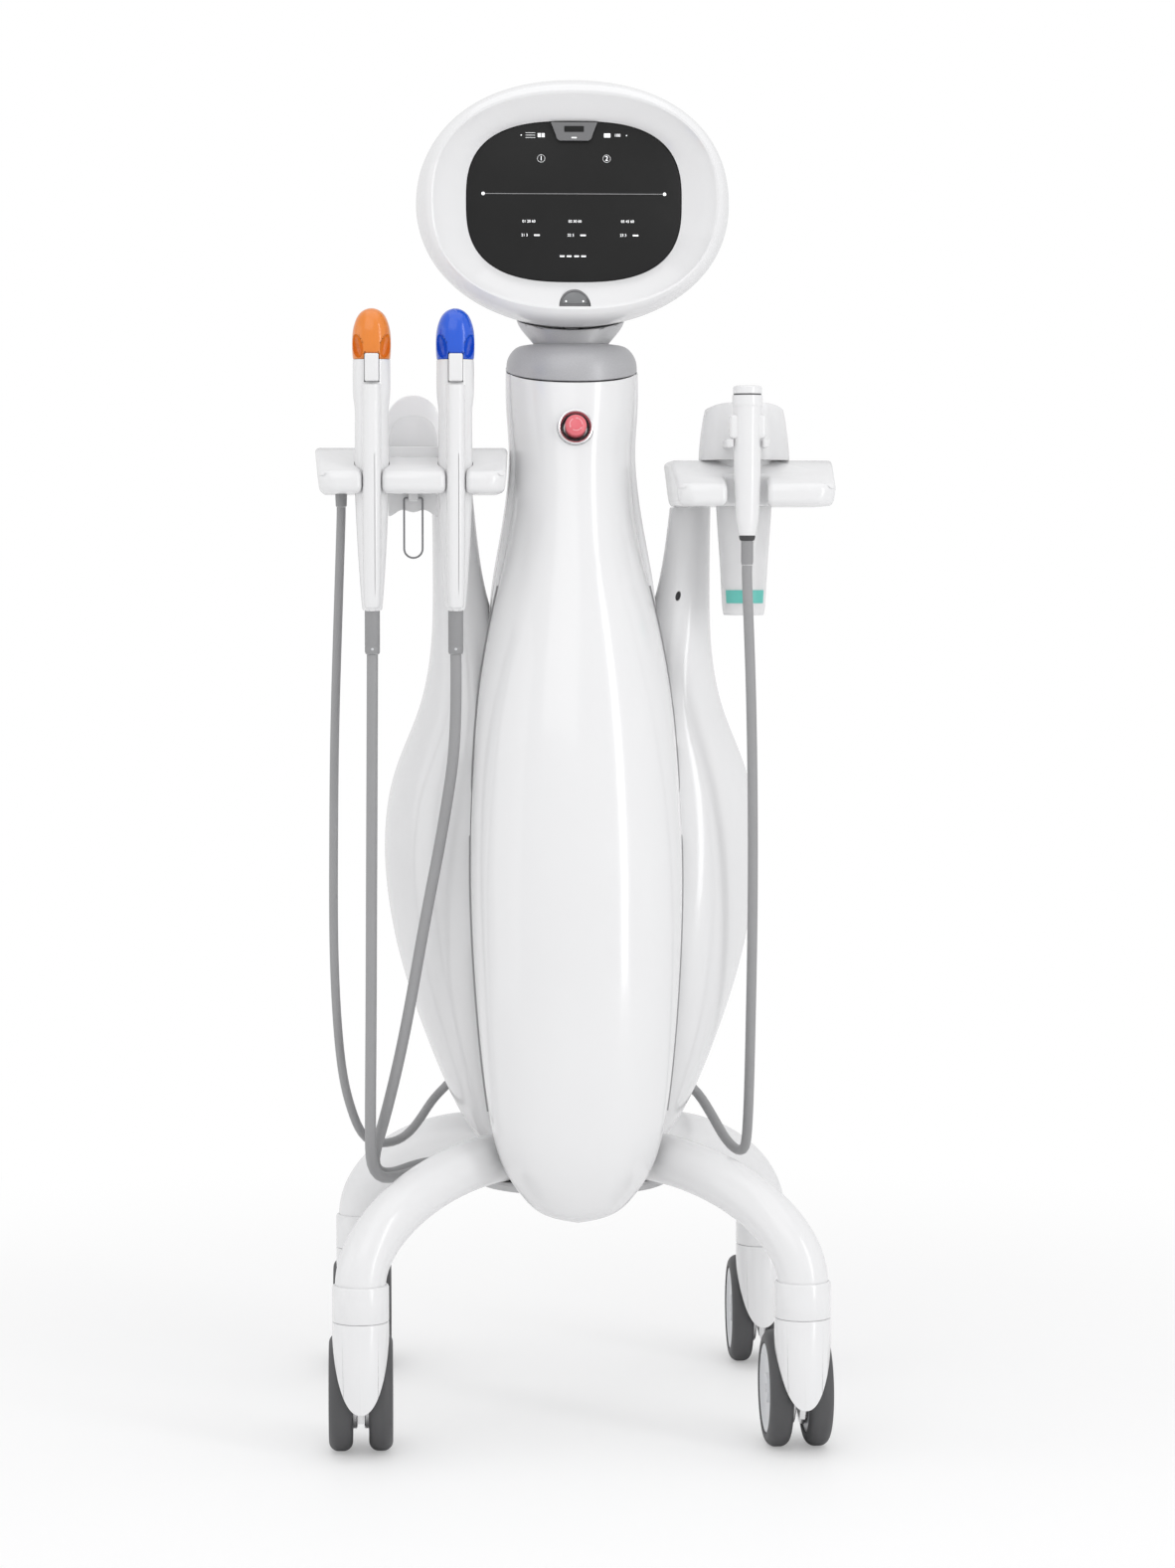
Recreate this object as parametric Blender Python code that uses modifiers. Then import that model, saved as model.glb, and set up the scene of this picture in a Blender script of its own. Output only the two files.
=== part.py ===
"""Focused ultrasound machine: an egg-shaped body on four arched legs, with a head and two trays.

Metres, +Z up, and the screen looks along -Y. The origin lies on the floor, under the middle of the
machine's outline. Places are written about the centre of the four caster stems, which the empty
"machine" carries to its place. Every piece is one named object.
"""
import bpy
import bmesh
from math import asin, atan2, copysign, cos, pi, radians, sin, sqrt
from mathutils import Matrix, Vector

# Clearances and cutting
SEAT = 0.0003
SEAM = 0.0006
RUNNING = 0.0005
SHELL = 0.003
OVERRUN = 0.006
MERGE = 0.00001

# Casters
STEM_SPACING = 0.374
CASTER_TRAIL = 0.042
CASTER_TURN = radians(2)
WHEEL_RADIUS = 0.050
WHEEL_DROP = 0.007
WHEEL_OUTSIDE = 0.0273
WHEEL_INSIDE = 0.0068
WHEEL_EDGE = 0.005
WHEEL_DISC_RADIUS = 0.0355
WHEEL_DISC_STEP = 0.0012
FLANGE_RADIUS = 0.031
FLANGE_INSIDE = 0.0030
WHEEL_STEPS = 18
AXLE_RADIUS = 0.0040
HOOD_RADIUS = 0.024
HOOD_TOP = 0.1117
HOOD_TIP = 0.0357
HOOD_WHEEL_GAP = 0.0016
WEB_HALF = 0.0025
AXLE_BOSS_RADIUS = 0.012
STEM_RADIUS = 0.0055
STEM_LENGTH = 0.020

# Legs and base plate
LEG_RADIUS = 0.0215
LEG_INNER_END = 0.050
LEG_STRAIGHT = 0.090
LEG_CREST = 0.232
LEG_POWER = 1.85
COLLAR_BOTTOM = 0.1120
COLLAR_HEIGHT = 0.031
COLLAR_EDGE = 0.0015
PLATE_RADIUS = 0.092
PLATE_THICKNESS = 0.010
OUTLET_DEPTH = 0.026
OUTLET_HALF_WIDTH = 0.024
OUTLET_HEIGHT = 0.012
OUTLET_REACH = 0.1125

# Body covers
COVER_TOP = 0.917
POD_DROP = 0.0495
POD_FOOT = LEG_CREST - POD_DROP
POD_HALF_WIDTH = 0.0915
POD_REACH = 0.182
POD_POWER = 2.2
COLUMN_REACH = 0.125
COLUMN_TURN_SHARE = 0.25
CAP_SLOPE_SHARE = 0.198
CAP_SLOPE_START_SHARE = 0.90
PETAL_TOP = 0.8082
PETAL_REACH = 0.165
PETAL_DEPTH = 0.098
LEG_HOLE_GAP = 0.0012

# Level, then half width, front, rim and lap of the pod. Levels are shares of the way from POD_FOOT to
# COVER_TOP, widths of POD_HALF_WIDTH, front and rim of POD_REACH. The lap is how far before the
# widest line the rim lies.
POD_SHARES = (
    (0.000, 0.000, 0.659, 0.659, 0.00),
    (0.010, 0.328, 0.753, 0.632, -0.05),
    (0.034, 0.546, 0.830, 0.607, -0.10),
    (0.080, 0.749, 0.907, 0.580, -0.12),
    (0.160, 0.874, 0.967, 0.533, -0.12),
    (0.268, 0.956, 0.999, 0.470, -0.12),
    (0.397, 1.000, 0.986, 0.401, -0.12),
    (0.514, 0.976, 0.915, 0.341, -0.10),
    (0.623, 0.907, 0.802, 0.288, 0.00),
    (0.725, 0.760, 0.668, 0.236, 0.12),
    (0.806, 0.623, 0.541, 0.190, 0.22),
    (0.889, 0.568, 0.435, 0.146, 0.28),
    (0.950, 0.599, 0.378, 0.115, 0.30),
    (1.000, 0.612, 0.336, 0.096, 0.30),
)
# Half width and back of the column, at the pod's own levels from its fourth row up
COLUMN_SHARES = (
    (0.541, 0.760),
    (0.607, 0.864),
    (0.650, 0.976),
    (0.678, 1.000),
    (0.732, 0.920),
    (0.792, 0.780),
    (0.781, 0.608),
    (0.680, 0.508),
    (0.601, 0.466),
    (0.623, 0.462),
    (0.628, 0.466),
)
# Level, centre, half width, centre line and half depth of a petal, as shares of the way from
# LEG_CREST to PETAL_TOP, of PETAL_REACH for the two widths and of PETAL_DEPTH for the two depths
PETAL_SHARES = (
    (0.000, 0.339, 0.121, 0.000, 0.347),
    (0.066, 0.406, 0.215, 0.031, 0.582),
    (0.179, 0.482, 0.309, 0.102, 0.816),
    (0.308, 0.530, 0.403, 0.179, 0.959),
    (0.447, 0.545, 0.455, 0.204, 1.000),
    (0.569, 0.536, 0.418, 0.184, 0.903),
    (0.665, 0.524, 0.303, 0.138, 0.704),
    (0.760, 0.552, 0.203, 0.082, 0.449),
    (0.864, 0.603, 0.138, 0.046, 0.267),
    (1.000, 0.636, 0.109, 0.041, 0.199),
)

# Rear recess with the mains inlet, and the louvres
RECESS_HALF_WIDTH = 0.031
RECESS_RISE = 0.030
RECESS_BOTTOM = LEG_CREST + RECESS_RISE
RECESS_HEIGHT = 0.076
RECESS_TOP = RECESS_BOTTOM + RECESS_HEIGHT
RECESS_FLOOR = 0.084
INLET_HALF_WIDTH = 0.0235
INLET_HALF_HEIGHT = 0.0325
INLET_FLANGE = 0.0025
INLET_BODY_DEPTH = 0.026
INLET_BODY_INSET = 0.003
SOCKET_HALF_WIDTH = 0.0125
SOCKET_HALF_HEIGHT = 0.0085
SOCKET_DEPTH = 0.017
PIN_HALF_WIDTH = 0.001
SWITCH_HALF_WIDTH = 0.0105
SWITCH_HALF_HEIGHT = 0.0070
SWITCH_DEPTH = 0.0085
SWITCH_PROUD = 0.0022
LOUVRE_COUNT = 7
LOUVRE_PITCH = 0.011
LOUVRE_HALF_HEIGHT = 0.0022
LOUVRE_HALF_LENGTH = 0.030
LOUVRE_CENTRE = 0.445

# Inner pieces
NECK_Y = 0.010
SPINE_RADIUS = 0.026
SPINE_WALL = 0.0052
SPINE_TOP = 0.926
SPIGOT_RADIUS = SPINE_RADIUS - SPINE_WALL - SEAT
SPINE_FOOT_RADIUS = 0.038
SPINE_FOOT_HEIGHT = 0.006
SUPPLY_HALF_WIDTH = 0.046
SUPPLY_DEPTH = 0.062
SUPPLY_RISE = 0.053
SUPPLY_BOTTOM = LEG_CREST + SUPPLY_RISE
SUPPLY_HEIGHT = 0.140
SUPPLY_FIN = 0.003
BOARD_HALF_WIDTH = 0.052
BOARD_THICKNESS = 0.003
BOARD_GAP = 0.020
BOARD_BOTTOM = SUPPLY_BOTTOM + SUPPLY_HEIGHT + BOARD_GAP
BOARD_HEIGHT = 0.180
SINK_DEPTH = 0.032
SINK_HALF_WIDTH = 0.036
FAN_HALF = 0.030
FAN_DEPTH = 0.020
FAN_BORE = 0.0275
FAN_BLADE_REACH = 0.0262
FAN_HUB_RADIUS = 0.011
FAN_BLADES = 5
FAN_WEB = 0.003

# Neck cap and neck
CAP_HALF_WIDTH = 0.0573
CAP_HALF_DEPTH = 0.0597
CAP_CREST = 0.9405
CAP_CREST_RADIUS = 0.037
# Up the cap, half width, half depth, shift to the neck's centre and slope left, outside and inside
CAP_OUTER_SHARES = (
    (0.00, 1.000, 1.000, 0.0, 1.0),
    (0.35, 0.985, 0.985, 0.0, 0.7),
    (0.68, 0.910, 0.920, 0.2, 0.3),
    (0.88, 0.800, 0.800, 0.6, 0.1),
)
CAP_INNER_SHARE = (0.60, 0.860, 0.860, 0.2, 0.3)
CUP_HALF_WIDTH = 0.050
CUP_FRONT = 0.0215
CUP_BACK = 0.056
CUP_TOP = 0.990
CUP_GAP = 0.0022
SPIGOT_BOTTOM = 0.870
POST_HALF = 0.0055
EYE_HALF = 0.006
EYE_RADIUS = 0.011
PIN_RADIUS = 0.0040

# Head
HEAD_Z = 1.0615
HEAD_HALF_WIDTH = 0.1365
HEAD_HALF_HEIGHT = 0.1068
HEAD_PIVOT_Y = -0.005
HEAD_STRAIGHT = 0.018
BEZEL_DEPTH = 0.042
SCREEN_WIDTH_SHARE = 0.686
SCREEN_HEIGHT_SHARE = 0.650
SCREEN_GAP = 0.0005
SCREEN_HALF_WIDTH = HEAD_HALF_WIDTH * SCREEN_WIDTH_SHARE - SCREEN_GAP
SCREEN_HALF_HEIGHT = HEAD_HALF_HEIGHT * SCREEN_HEIGHT_SHARE - SCREEN_GAP
SCREEN_RECESS_SHARE = 0.50
SCREEN_THICKNESS = 0.010
SCREEN_POWER = 2.8
EAR_THICKNESS = 0.005
EAR_RADIUS = 0.010
TILT_BACK = radians(20)
TILT_DOWN = radians(8)
HEAD_STEPS = 28
CAMERA_TOP_WIDTH = 0.0405
CAMERA_HEIGHT = 0.0160
CAMERA_THICKNESS = 0.0032
CAMERA_CORNER = 0.0045
SENSOR_RADIUS = 0.0143
SENSOR_HEIGHT = 0.0148
SENSOR_DROP = 0.0895
SENSOR_FRONT = 0.0345
SENSOR_DEPTH = 0.018
# Up, half width, front and back of the neck's cup, as shares of its sizes
CUP_SHARES = (
    (0.00, 0.70, 1.00, 0.43),
    (0.18, 0.82, 0.99, 0.54),
    (0.40, 0.94, 0.97, 0.67),
    (0.70, 1.00, 0.96, 0.87),
    (1.00, 1.00, 0.95, 1.00),
)
# Forward share of the bezel's depth, width and height shares of the head's, and power of the oval
BEZEL_SHARES = (
    (0.00, 1.000, 1.000, 2.10),
    (0.45, 0.980, 0.974, 2.25),
    (0.80, 0.946, 0.926, 2.30),
    (1.00, 0.903, 0.862, 2.35),
    (0.97, 0.876, 0.826, 2.40),
    (0.80, 0.826, 0.768, 2.50),
    (0.64, 0.748, 0.694, 2.60),
    (0.52, SCREEN_WIDTH_SHARE, SCREEN_HEIGHT_SHARE, 2.80),
    (0.34, SCREEN_WIDTH_SHARE, SCREEN_HEIGHT_SHARE, 2.80),
    (0.50, 0.752, 0.700, 2.60),
    (0.70, 0.848, 0.796, 2.45),
    (0.66, 0.924, 0.896, 2.30),
    (0.36, 0.956, 0.944, 2.25),
    (0.00, 0.978, 0.972, 2.10),
)
# How far back of the pivot the rear cover's rings lie, as shares of the head's half height
BACK_SHARES = (0.233, 0.419, 0.577, 0.690)
BACK_END_SHARES = ((0.770, 0.580), (0.828, 0.370), (0.850, 0.150))
REAR_SLIT_COUNT = 4
REAR_SLIT_PITCH = 0.010
REAR_SLIT_HALF_LENGTH = 0.032
REAR_SLIT_HALF_HEIGHT = 0.0017
REAR_SLIT_RISE = 0.018

# Emergency stop
STOP_Z = 0.866
STOP_TILT = radians(13)
STOP_RADIUS = 0.0155
STOP_PROUD = 0.0035
STOP_DEPTH = 0.024
STOP_BORE = 0.0110
STOP_LIP = 0.0022
BUTTON_RADIUS = 0.0093
BUTTON_HEIGHT = 0.0085
BUTTON_STEM = 0.0060
BUTTON_TRAVEL = 0.004

# Trays
TRAY_OUTER = 0.225
TRAY_LEFT_INNER = 0.0575
TRAY_RIGHT_INNER = 0.0825
TRAY_LEVEL = 0.8485
TRAY_DROP = 0.0105
TRAY_FRONT = 0.118
TRAY_BACK = 0.026
TRAY_HEIGHT = 0.040
TRAY_END_INSET = 0.004
TRAY_END_LENGTH = 0.008
TRAY_END_SLANT = 0.005
HANDPIECE_OUTER_INSET = 0.0495
HANDPIECE_INNER_INSET = 0.0465
HANDPIECE_X = (HANDPIECE_OUTER_INSET - TRAY_OUTER, -TRAY_LEFT_INNER - HANDPIECE_INNER_INSET)
# Back from the front lip and down from the tray's level, as shares of its depth and its height
TRAY_OUTLINE_SHARES = (
    (0.010, 0.925),
    (0.000, 0.900),
    (0.000, 0.725),
    (0.040, 0.640),
    (0.400, 0.060),
    (0.450, 0.000),
    (0.955, 0.000),
    (1.000, 0.150),
    (1.000, 0.620),
    (0.960, 1.000),
    (0.090, 1.000),
)
SKIRT_HALF_WIDTH = 0.0215
SKIRT_X = sum(HANDPIECE_X) / 2
SKIRT_HEIGHT = 0.019
SKIRT_WAVE = 0.0035
SKIRT_FRONT = 0.046
SKIRT_THICKNESS = 0.005
LUG_HALF_WIDTH = 0.0042
LUG_HEIGHT = 0.0060
LUG_DEPTH = 0.006
LUG_BORE = 0.0013
LEDGE_HALF_WIDTH = 0.0235
LEDGE_FRONT = 0.0775
LEDGE_RISE = 0.0008
LEDGE_HEIGHT = 0.014
TRAY_GLAND_INSET = 0.0230
TRAY_GLAND_X = TRAY_GLAND_INSET - TRAY_OUTER
TRAY_GLAND_Y = -0.070
TRAY_GLAND_LENGTH = 0.011
BAIL_LEG_X = 0.0080
BAIL_WIRE = 0.00085
BAIL_LENGTH = 0.052
BAIL_PIN = 0.0070
CUP_REST_HALF_WIDTH = 0.0229
CUP_REST_HEIGHT = 0.0445
CUP_REST_THICKNESS = 0.005
CUP_REST_BACK = 0.045
DOME_HALF_WIDTH = 0.0212
DOME_HEIGHT = 0.027
DOME_DEPTH = 0.0245
DOME_WALL = 0.002

# Large handpieces
HANDPIECE_Y = -0.094
HANDPIECE_TOP = 0.9225
HANDPIECE_LENGTH = 0.216
HANDPIECE_HALF_WIDTH = 0.0160
HANDPIECE_HALF_DEPTH = 0.0176
HANDPIECE_POWER = 2.3
POCKET_GAP = 0.0005
KEEL_HALF_WIDTH = 0.0082
KEEL_FRONT = 0.0275
KEEL_TOP_DROP = 0.0195
KEEL_POWER = 2.8
RELIEF_RADIUS = 0.0065
RELIEF_TIP_RADIUS = 0.0057
RELIEF_LENGTH = 0.0352
TRIGGER_HALF_WIDTH = 0.0060
TRIGGER_RISE = 0.0048
TRIGGER_FRONT = 0.0240
TRIGGER_DEPTH = 0.0120
TRIGGER_TRAVEL = 0.0015
TRIGGER_GAP = 0.0005
CARTRIDGE_HEIGHT = 0.0435
CARTRIDGE_HALF_WIDTH = 0.0165
CARTRIDGE_HALF_DEPTH = 0.0182
PLUG_RADIUS = 0.0085
PLUG_LENGTH = 0.009
HOLLOW_HALF_SPACING = 0.0113
HOLLOW_RISE = 0.0128
HOLLOW_HALF_WIDTH = 0.0031
HOLLOW_HALF_DEPTH = 0.0135
HOLLOW_HALF_HEIGHT = 0.0078
HOLLOW_FORWARD = 0.0070
# Down from the body's top, half width and half depth, as shares of the handpiece's sizes
HANDPIECE_SHARES = (
    (1.000, 0.250, 0.240),
    (0.985, 0.460, 0.440),
    (0.950, 0.575, 0.560),
    (0.720, 0.790, 0.770),
    (0.500, 0.910, 0.825),
    (0.360, 0.912, 0.870),
    (0.270, 0.905, 0.955),
    (0.190, 0.915, 0.990),
    (0.130, 1.000, 1.000),
    (0.000, 1.000, 1.000),
)
# Down from the body's top, half width share of the keel's, front share of KEEL_FRONT
KEEL_SHARES = (
    (0.985, 0.760, 0.330),
    (0.960, 0.900, 0.470),
    (0.880, 0.960, 0.690),
    (0.720, 1.000, 0.880),
    (0.500, 1.000, 0.985),
    (0.300, 1.000, 1.000),
    (0.100, 1.000, 0.950),
)
# Up from the cartridge's foot, half width and half depth
CARTRIDGE_SHARES = (
    (0.000, 0.960, 0.960),
    (0.170, 1.000, 1.000),
    (0.480, 0.990, 0.985),
    (0.700, 0.880, 0.880),
    (0.860, 0.690, 0.690),
    (0.960, 0.410, 0.410),
    (1.000, 0.130, 0.130),
)

# Slim handpiece and gel holster
SLIM_INSET = 0.0795
SLIM_X = TRAY_OUTER - SLIM_INSET
SLIM_Y = -0.108
SLIM_BOTTOM = 0.7728
SLIM_LENGTH = 0.1197
SLIM_RADIUS = 0.0130
SLIM_RELIEF_RADIUS = 0.0052
SLIM_RELIEF_LENGTH = 0.0250
WING_REACH = 0.0155
WING_HALF_DEPTH = 0.0075
WING_BOTTOM = 0.8553
WING_HEIGHT = 0.0205
SLIM_CAP_HEIGHT = 0.0070
SLIM_CAP_STEM = 0.006
SLIM_CAP_STEM_LENGTH = 0.006
SLIM_GROOVE = 0.0012
# Up from the foot and radius of the slim handpiece
SLIM_SHARES = (
    (0.000, 0.540),
    (0.060, 0.650),
    (0.135, 0.755),
    (0.310, 0.845),
    (0.520, 0.890),
    (0.730, 0.908),
    (0.900, 0.940),
    (0.930, 1.000),
    (1.000, 1.000),
)
SLOT_HALF_WIDTH = 0.0175
SLOT_BACK = 0.090
HOLSTER_INSET = 0.0770
HOLSTER_X = TRAY_OUTER - HOLSTER_INSET
HOLSTER_Y = -0.047
HOLSTER_BOTTOM = 0.705
HOLSTER_HEIGHT = 0.183
HOLSTER_HALF_WIDTH = 0.0395
HOLSTER_HALF_DEPTH = 0.030
HOLSTER_WALL = 0.0025
HOLSTER_FLOOR = 0.004
PRONG_REACH = 0.044
PRONG_HALF_GAP = 0.0126
PRONG_THICKNESS = 0.0060
PRONG_HEIGHT = 0.0070
# Up from the foot, half width and half depth of the holster above its flange
HOLSTER_LOWER_SHARES = (
    (0.000, 0.400, 0.490),
    (0.025, 0.470, 0.590),
    (0.250, 0.530, 0.690),
    (0.500, 0.608, 0.790),
    (0.7275, 0.612, 0.800),
)
HOLSTER_UPPER_SHARES = (
    (0.7285, 1.000, 1.000),
    (0.790, 0.980, 0.975),
    (0.900, 0.900, 0.895),
    (0.980, 0.825, 0.810),
    (1.000, 0.800, 0.785),
)

# Cables: thickness and route from the strain relief to the gland
CABLE = 0.0098
TRAY_CABLE = 0.0078
SLIM_CABLE = 0.0088
CABLE_STEP = 2.9
GLAND_RADIUS = 0.0085
GLAND_LENGTH = 0.014
GLAND_RISE = 0.0655
GLAND_ROOT = (0.0935, 0.0640, LEG_CREST + GLAND_RISE)
GLAND_AXIS = (0.5515, 0.4513, -0.7015)
ORANGE_ROUTE = (
    (-0.1755, -0.0940, 0.6710), (-0.1756, -0.0940, 0.6500), (-0.1762, -0.0936, 0.5600),
    (-0.1769, -0.0922, 0.4600), (-0.1776, -0.0886, 0.3600), (-0.1783, -0.0822, 0.2850),
    (-0.1784, -0.0760, 0.2470), (-0.1768, -0.0690, 0.2270), (-0.1705, -0.0590, 0.2155),
    (-0.1610, -0.0460, 0.2118), (-0.1480, -0.0310, 0.2120), (-0.1340, -0.0175, 0.2148),
    (-0.1230, -0.0122, 0.2164), (-0.1152, -0.0120, 0.2165),
)
BLUE_ROUTE = (
    (-0.1040, -0.0940, 0.6710), (-0.1038, -0.0942, 0.6500), (-0.1052, -0.0950, 0.5970),
    (-0.1110, -0.0955, 0.5490), (-0.1195, -0.0950, 0.5000), (-0.1310, -0.0920, 0.4400),
    (-0.1430, -0.0860, 0.3730), (-0.1545, -0.0760, 0.3150), (-0.1665, -0.0620, 0.2650),
    (-0.1738, -0.0500, 0.2370), (-0.1745, -0.0390, 0.2215), (-0.1680, -0.0245, 0.2130),
    (-0.1560, -0.0085, 0.2110), (-0.1410, 0.0060, 0.2138), (-0.1250, 0.0118, 0.2164),
    (-0.1152, 0.0120, 0.2165),
)
TRAY_ROUTE = (
    (-0.2020, -0.0700, 0.7972), (-0.2024, -0.0700, 0.7800), (-0.2052, -0.0660, 0.7000),
    (-0.2084, -0.0560, 0.6000), (-0.2098, -0.0450, 0.5000), (-0.2096, -0.0340, 0.4000),
    (-0.2046, -0.0200, 0.3150), (-0.1962, -0.0080, 0.2700), (-0.1840, 0.0040, 0.2415),
    (-0.1660, 0.0180, 0.2330), (-0.1490, 0.0330, 0.2365), (-0.1360, 0.0530, 0.2470),
    (-0.1265, 0.0700, 0.2585), (-0.1190, 0.0788, 0.2670), (-0.1125, 0.0793, 0.2736),
    (-0.1073, 0.0753, 0.2800), (-0.1019, 0.0708, 0.2869),
)
SLIM_ROUTE = (
    (0.1455, -0.1080, 0.7472), (0.1457, -0.1080, 0.7300), (0.1490, -0.1050, 0.6500),
    (0.1518, -0.0960, 0.5500), (0.1532, -0.0830, 0.4500), (0.1536, -0.0650, 0.3600),
    (0.1540, -0.0440, 0.2880), (0.1538, -0.0280, 0.2480), (0.1525, -0.0130, 0.2310),
    (0.1475, 0.0050, 0.2270), (0.1395, 0.0280, 0.2335), (0.1320, 0.0520, 0.2460),
    (0.1250, 0.0700, 0.2580), (0.1187, 0.0788, 0.2670), (0.1125, 0.0793, 0.2736),
    (0.1073, 0.0753, 0.2800), (0.1019, 0.0708, 0.2869),
)

FRAME_SHIFT = (HOOD_RADIUS - CASTER_TRAIL - WHEEL_RADIUS) / 2
WHEEL_LEVEL = WHEEL_RADIUS - WHEEL_DROP
PLATE_TOP = LEG_CREST - LEG_RADIUS - SEAT
SPINE_BOTTOM = PLATE_TOP + SEAT
HEAD_WIDEST_Y = HEAD_PIVOT_Y - HEAD_STRAIGHT
SCREEN_Y = HEAD_WIDEST_Y - BEZEL_DEPTH * SCREEN_RECESS_SHARE
CARTRIDGE_FOOT = HANDPIECE_TOP + SEAT

for leftover in list(bpy.data.objects):
    bpy.data.objects.remove(leftover, do_unlink=True)

PARTS = bpy.data.collections.new("Focused ultrasound machine")
CUTTERS = bpy.data.collections.new("Cutters")
bpy.context.scene.collection.children.link(PARTS)
bpy.context.scene.collection.children.link(CUTTERS)
MACHINE = bpy.data.objects.new("machine", None)
MACHINE.location = (0, FRAME_SHIFT, WHEEL_DROP)
PARTS.objects.link(MACHINE)


def finish(name, colour, roughness, metallic=0.0):
    """A plain Principled material."""
    material = bpy.data.materials.new(name)
    material.use_nodes = True
    shader = material.node_tree.nodes["Principled BSDF"]
    shader.inputs["Base Color"].default_value = (*colour, 1.0)
    shader.inputs["Roughness"].default_value = roughness
    shader.inputs["Metallic"].default_value = metallic
    material.diffuse_color = (*colour, 1.0)
    return material


WHITE = finish("gloss white casing", (0.86, 0.87, 0.89), 0.18)
LEG_WHITE = finish("gloss white leg", (0.86, 0.87, 0.89), 0.22)
SATIN_GREY = finish("satin grey", (0.42, 0.42, 0.44), 0.35)
PLATE_GREY = finish("dark grey plate", (0.20, 0.20, 0.21), 0.55)
TYRE_GREY = finish("grey tyre", (0.11, 0.11, 0.12), 0.6)
STEEL = finish("bright steel", (0.62, 0.62, 0.64), 0.28, 1.0)
BLACK_GLASS = finish("black glass", (0.02, 0.02, 0.022), 0.06)
CLEAR_GREY = finish("clear grey plastic", (0.62, 0.64, 0.66), 0.12)
STOP_RED = finish("red button", (0.78, 0.02, 0.02), 0.3)
ORANGE = finish("orange cartridge", (0.90, 0.22, 0.02), 0.3)
BLUE = finish("blue cartridge", (0.03, 0.12, 0.62), 0.3)
BOARD_GREEN = finish("circuit board", (0.03, 0.16, 0.07), 0.5)
CABLE_GREY = finish("grey cable", (0.22, 0.22, 0.23), 0.5)
BLACK_PLASTIC = finish("black plastic", (0.03, 0.03, 0.03), 0.4)


def add_mesh(name, bm, material):
    """A bmesh made one named object under the machine's empty."""
    mesh = bpy.data.meshes.new(name)
    bm.to_mesh(mesh)
    bm.free()
    mesh.materials.append(material)
    mesh.shade_smooth()
    mesh.set_sharp_from_angle(angle=radians(35))
    obj = bpy.data.objects.new(name, mesh)
    obj.parent = MACHINE
    PARTS.objects.link(obj)
    return obj


def hide(obj):
    """Turn an object into a cutter."""
    if obj.name in PARTS.objects:
        PARTS.objects.unlink(obj)
        CUTTERS.objects.link(obj)
    obj.hide_render = True
    obj.display_type = "WIRE"


def combine(obj, other, operation):
    modifier = obj.modifiers.new(operation.lower(), "BOOLEAN")
    modifier.operation = operation
    modifier.object = other
    hide(other)


def cut(obj, *cutters):
    for cutter in cutters:
        combine(obj, cutter, "DIFFERENCE")


def join(obj, *others):
    for other in others:
        combine(obj, other, "UNION")


def set_origin(obj, point):
    """Move an object's origin to a point, with its mesh left where it is."""
    offset = Vector(point)
    obj.data.transform(Matrix.Translation(-offset))
    obj.location = offset


def smooth(rows, steps):
    """Rows read at even steps on a Catmull-Rom curve through the given rows."""
    last = len(rows) - 1
    result = []
    for span in range(last):
        around = (rows[max(span - 1, 0)], rows[span], rows[span + 1], rows[min(span + 2, last)])
        for step in range(steps):
            t = step / steps
            result.append(tuple(
                b + ((c - a) * t + (2 * a - 5 * b + 4 * c - d) * t**2 + (3 * b - a - 3 * c + d) * t**3) / 2
                for a, b, c, d in zip(*around)
            ))
    result.append(tuple(rows[last]))
    return result


def oval_point(turn, half_x, half_y, power):
    """A point of a superellipse about the origin."""
    c, s = cos(turn), sin(turn)
    return half_x * copysign(abs(c) ** (2 / power), c), half_y * copysign(abs(s) ** (2 / power), s)


def flat_oval(x, y, level, half_x, half_y, power=2.0, count=18):
    """A level ring."""
    ring = []
    for step in range(count):
        across, along = oval_point(2 * pi * step / count, half_x, half_y, power)
        ring.append((x + across, y + along, level))
    return ring


def upright_oval(y, half_x, half_z, power=2.0, count=HEAD_STEPS):
    """A ring of the head, in a plane that faces the front."""
    ring = []
    for step in range(count):
        across, rise = oval_point(2 * pi * step / count, half_x, half_z, power)
        ring.append((across, y, HEAD_Z + rise))
    return ring


def loft(name, rings, material, closed=True, capped=True, looped=False):
    """Skin through rings of points. looped joins the last ring to the first."""
    bm = bmesh.new()
    rows = [[bm.verts.new(point) for point in ring] for ring in rings]
    pairs = list(zip(rows, rows[1:]))
    if looped:
        pairs.append((rows[-1], rows[0]))
    for lower, upper in pairs:
        count = len(lower)
        for step in range(count if closed else count - 1):
            after = (step + 1) % count
            bm.faces.new((lower[step], lower[after], upper[after], upper[step]))
    if capped and not looped:
        bm.faces.new(list(reversed(rows[0])))
        bm.faces.new(rows[-1])
    bmesh.ops.remove_doubles(bm, verts=bm.verts, dist=MERGE)
    bmesh.ops.recalc_face_normals(bm, faces=bm.faces)
    bmesh.ops.triangulate(bm, faces=bm.faces)
    return add_mesh(name, bm, material)


def block(name, low, high, material, bevel=0.0):
    """A box between two corners, with its edges rounded where a bevel is given."""
    bm = bmesh.new()
    bmesh.ops.create_cube(bm, size=1)
    size = [b - a for a, b in zip(low, high)]
    centre = [(a + b) / 2 for a, b in zip(low, high)]
    bmesh.ops.scale(bm, vec=size, verts=bm.verts)
    bmesh.ops.translate(bm, vec=centre, verts=bm.verts)
    if bevel:
        bmesh.ops.bevel(bm, geom=bm.edges, offset=bevel, segments=2, profile=0.5, affect="EDGES", material=-1)
    return add_mesh(name, bm, material)


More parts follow.
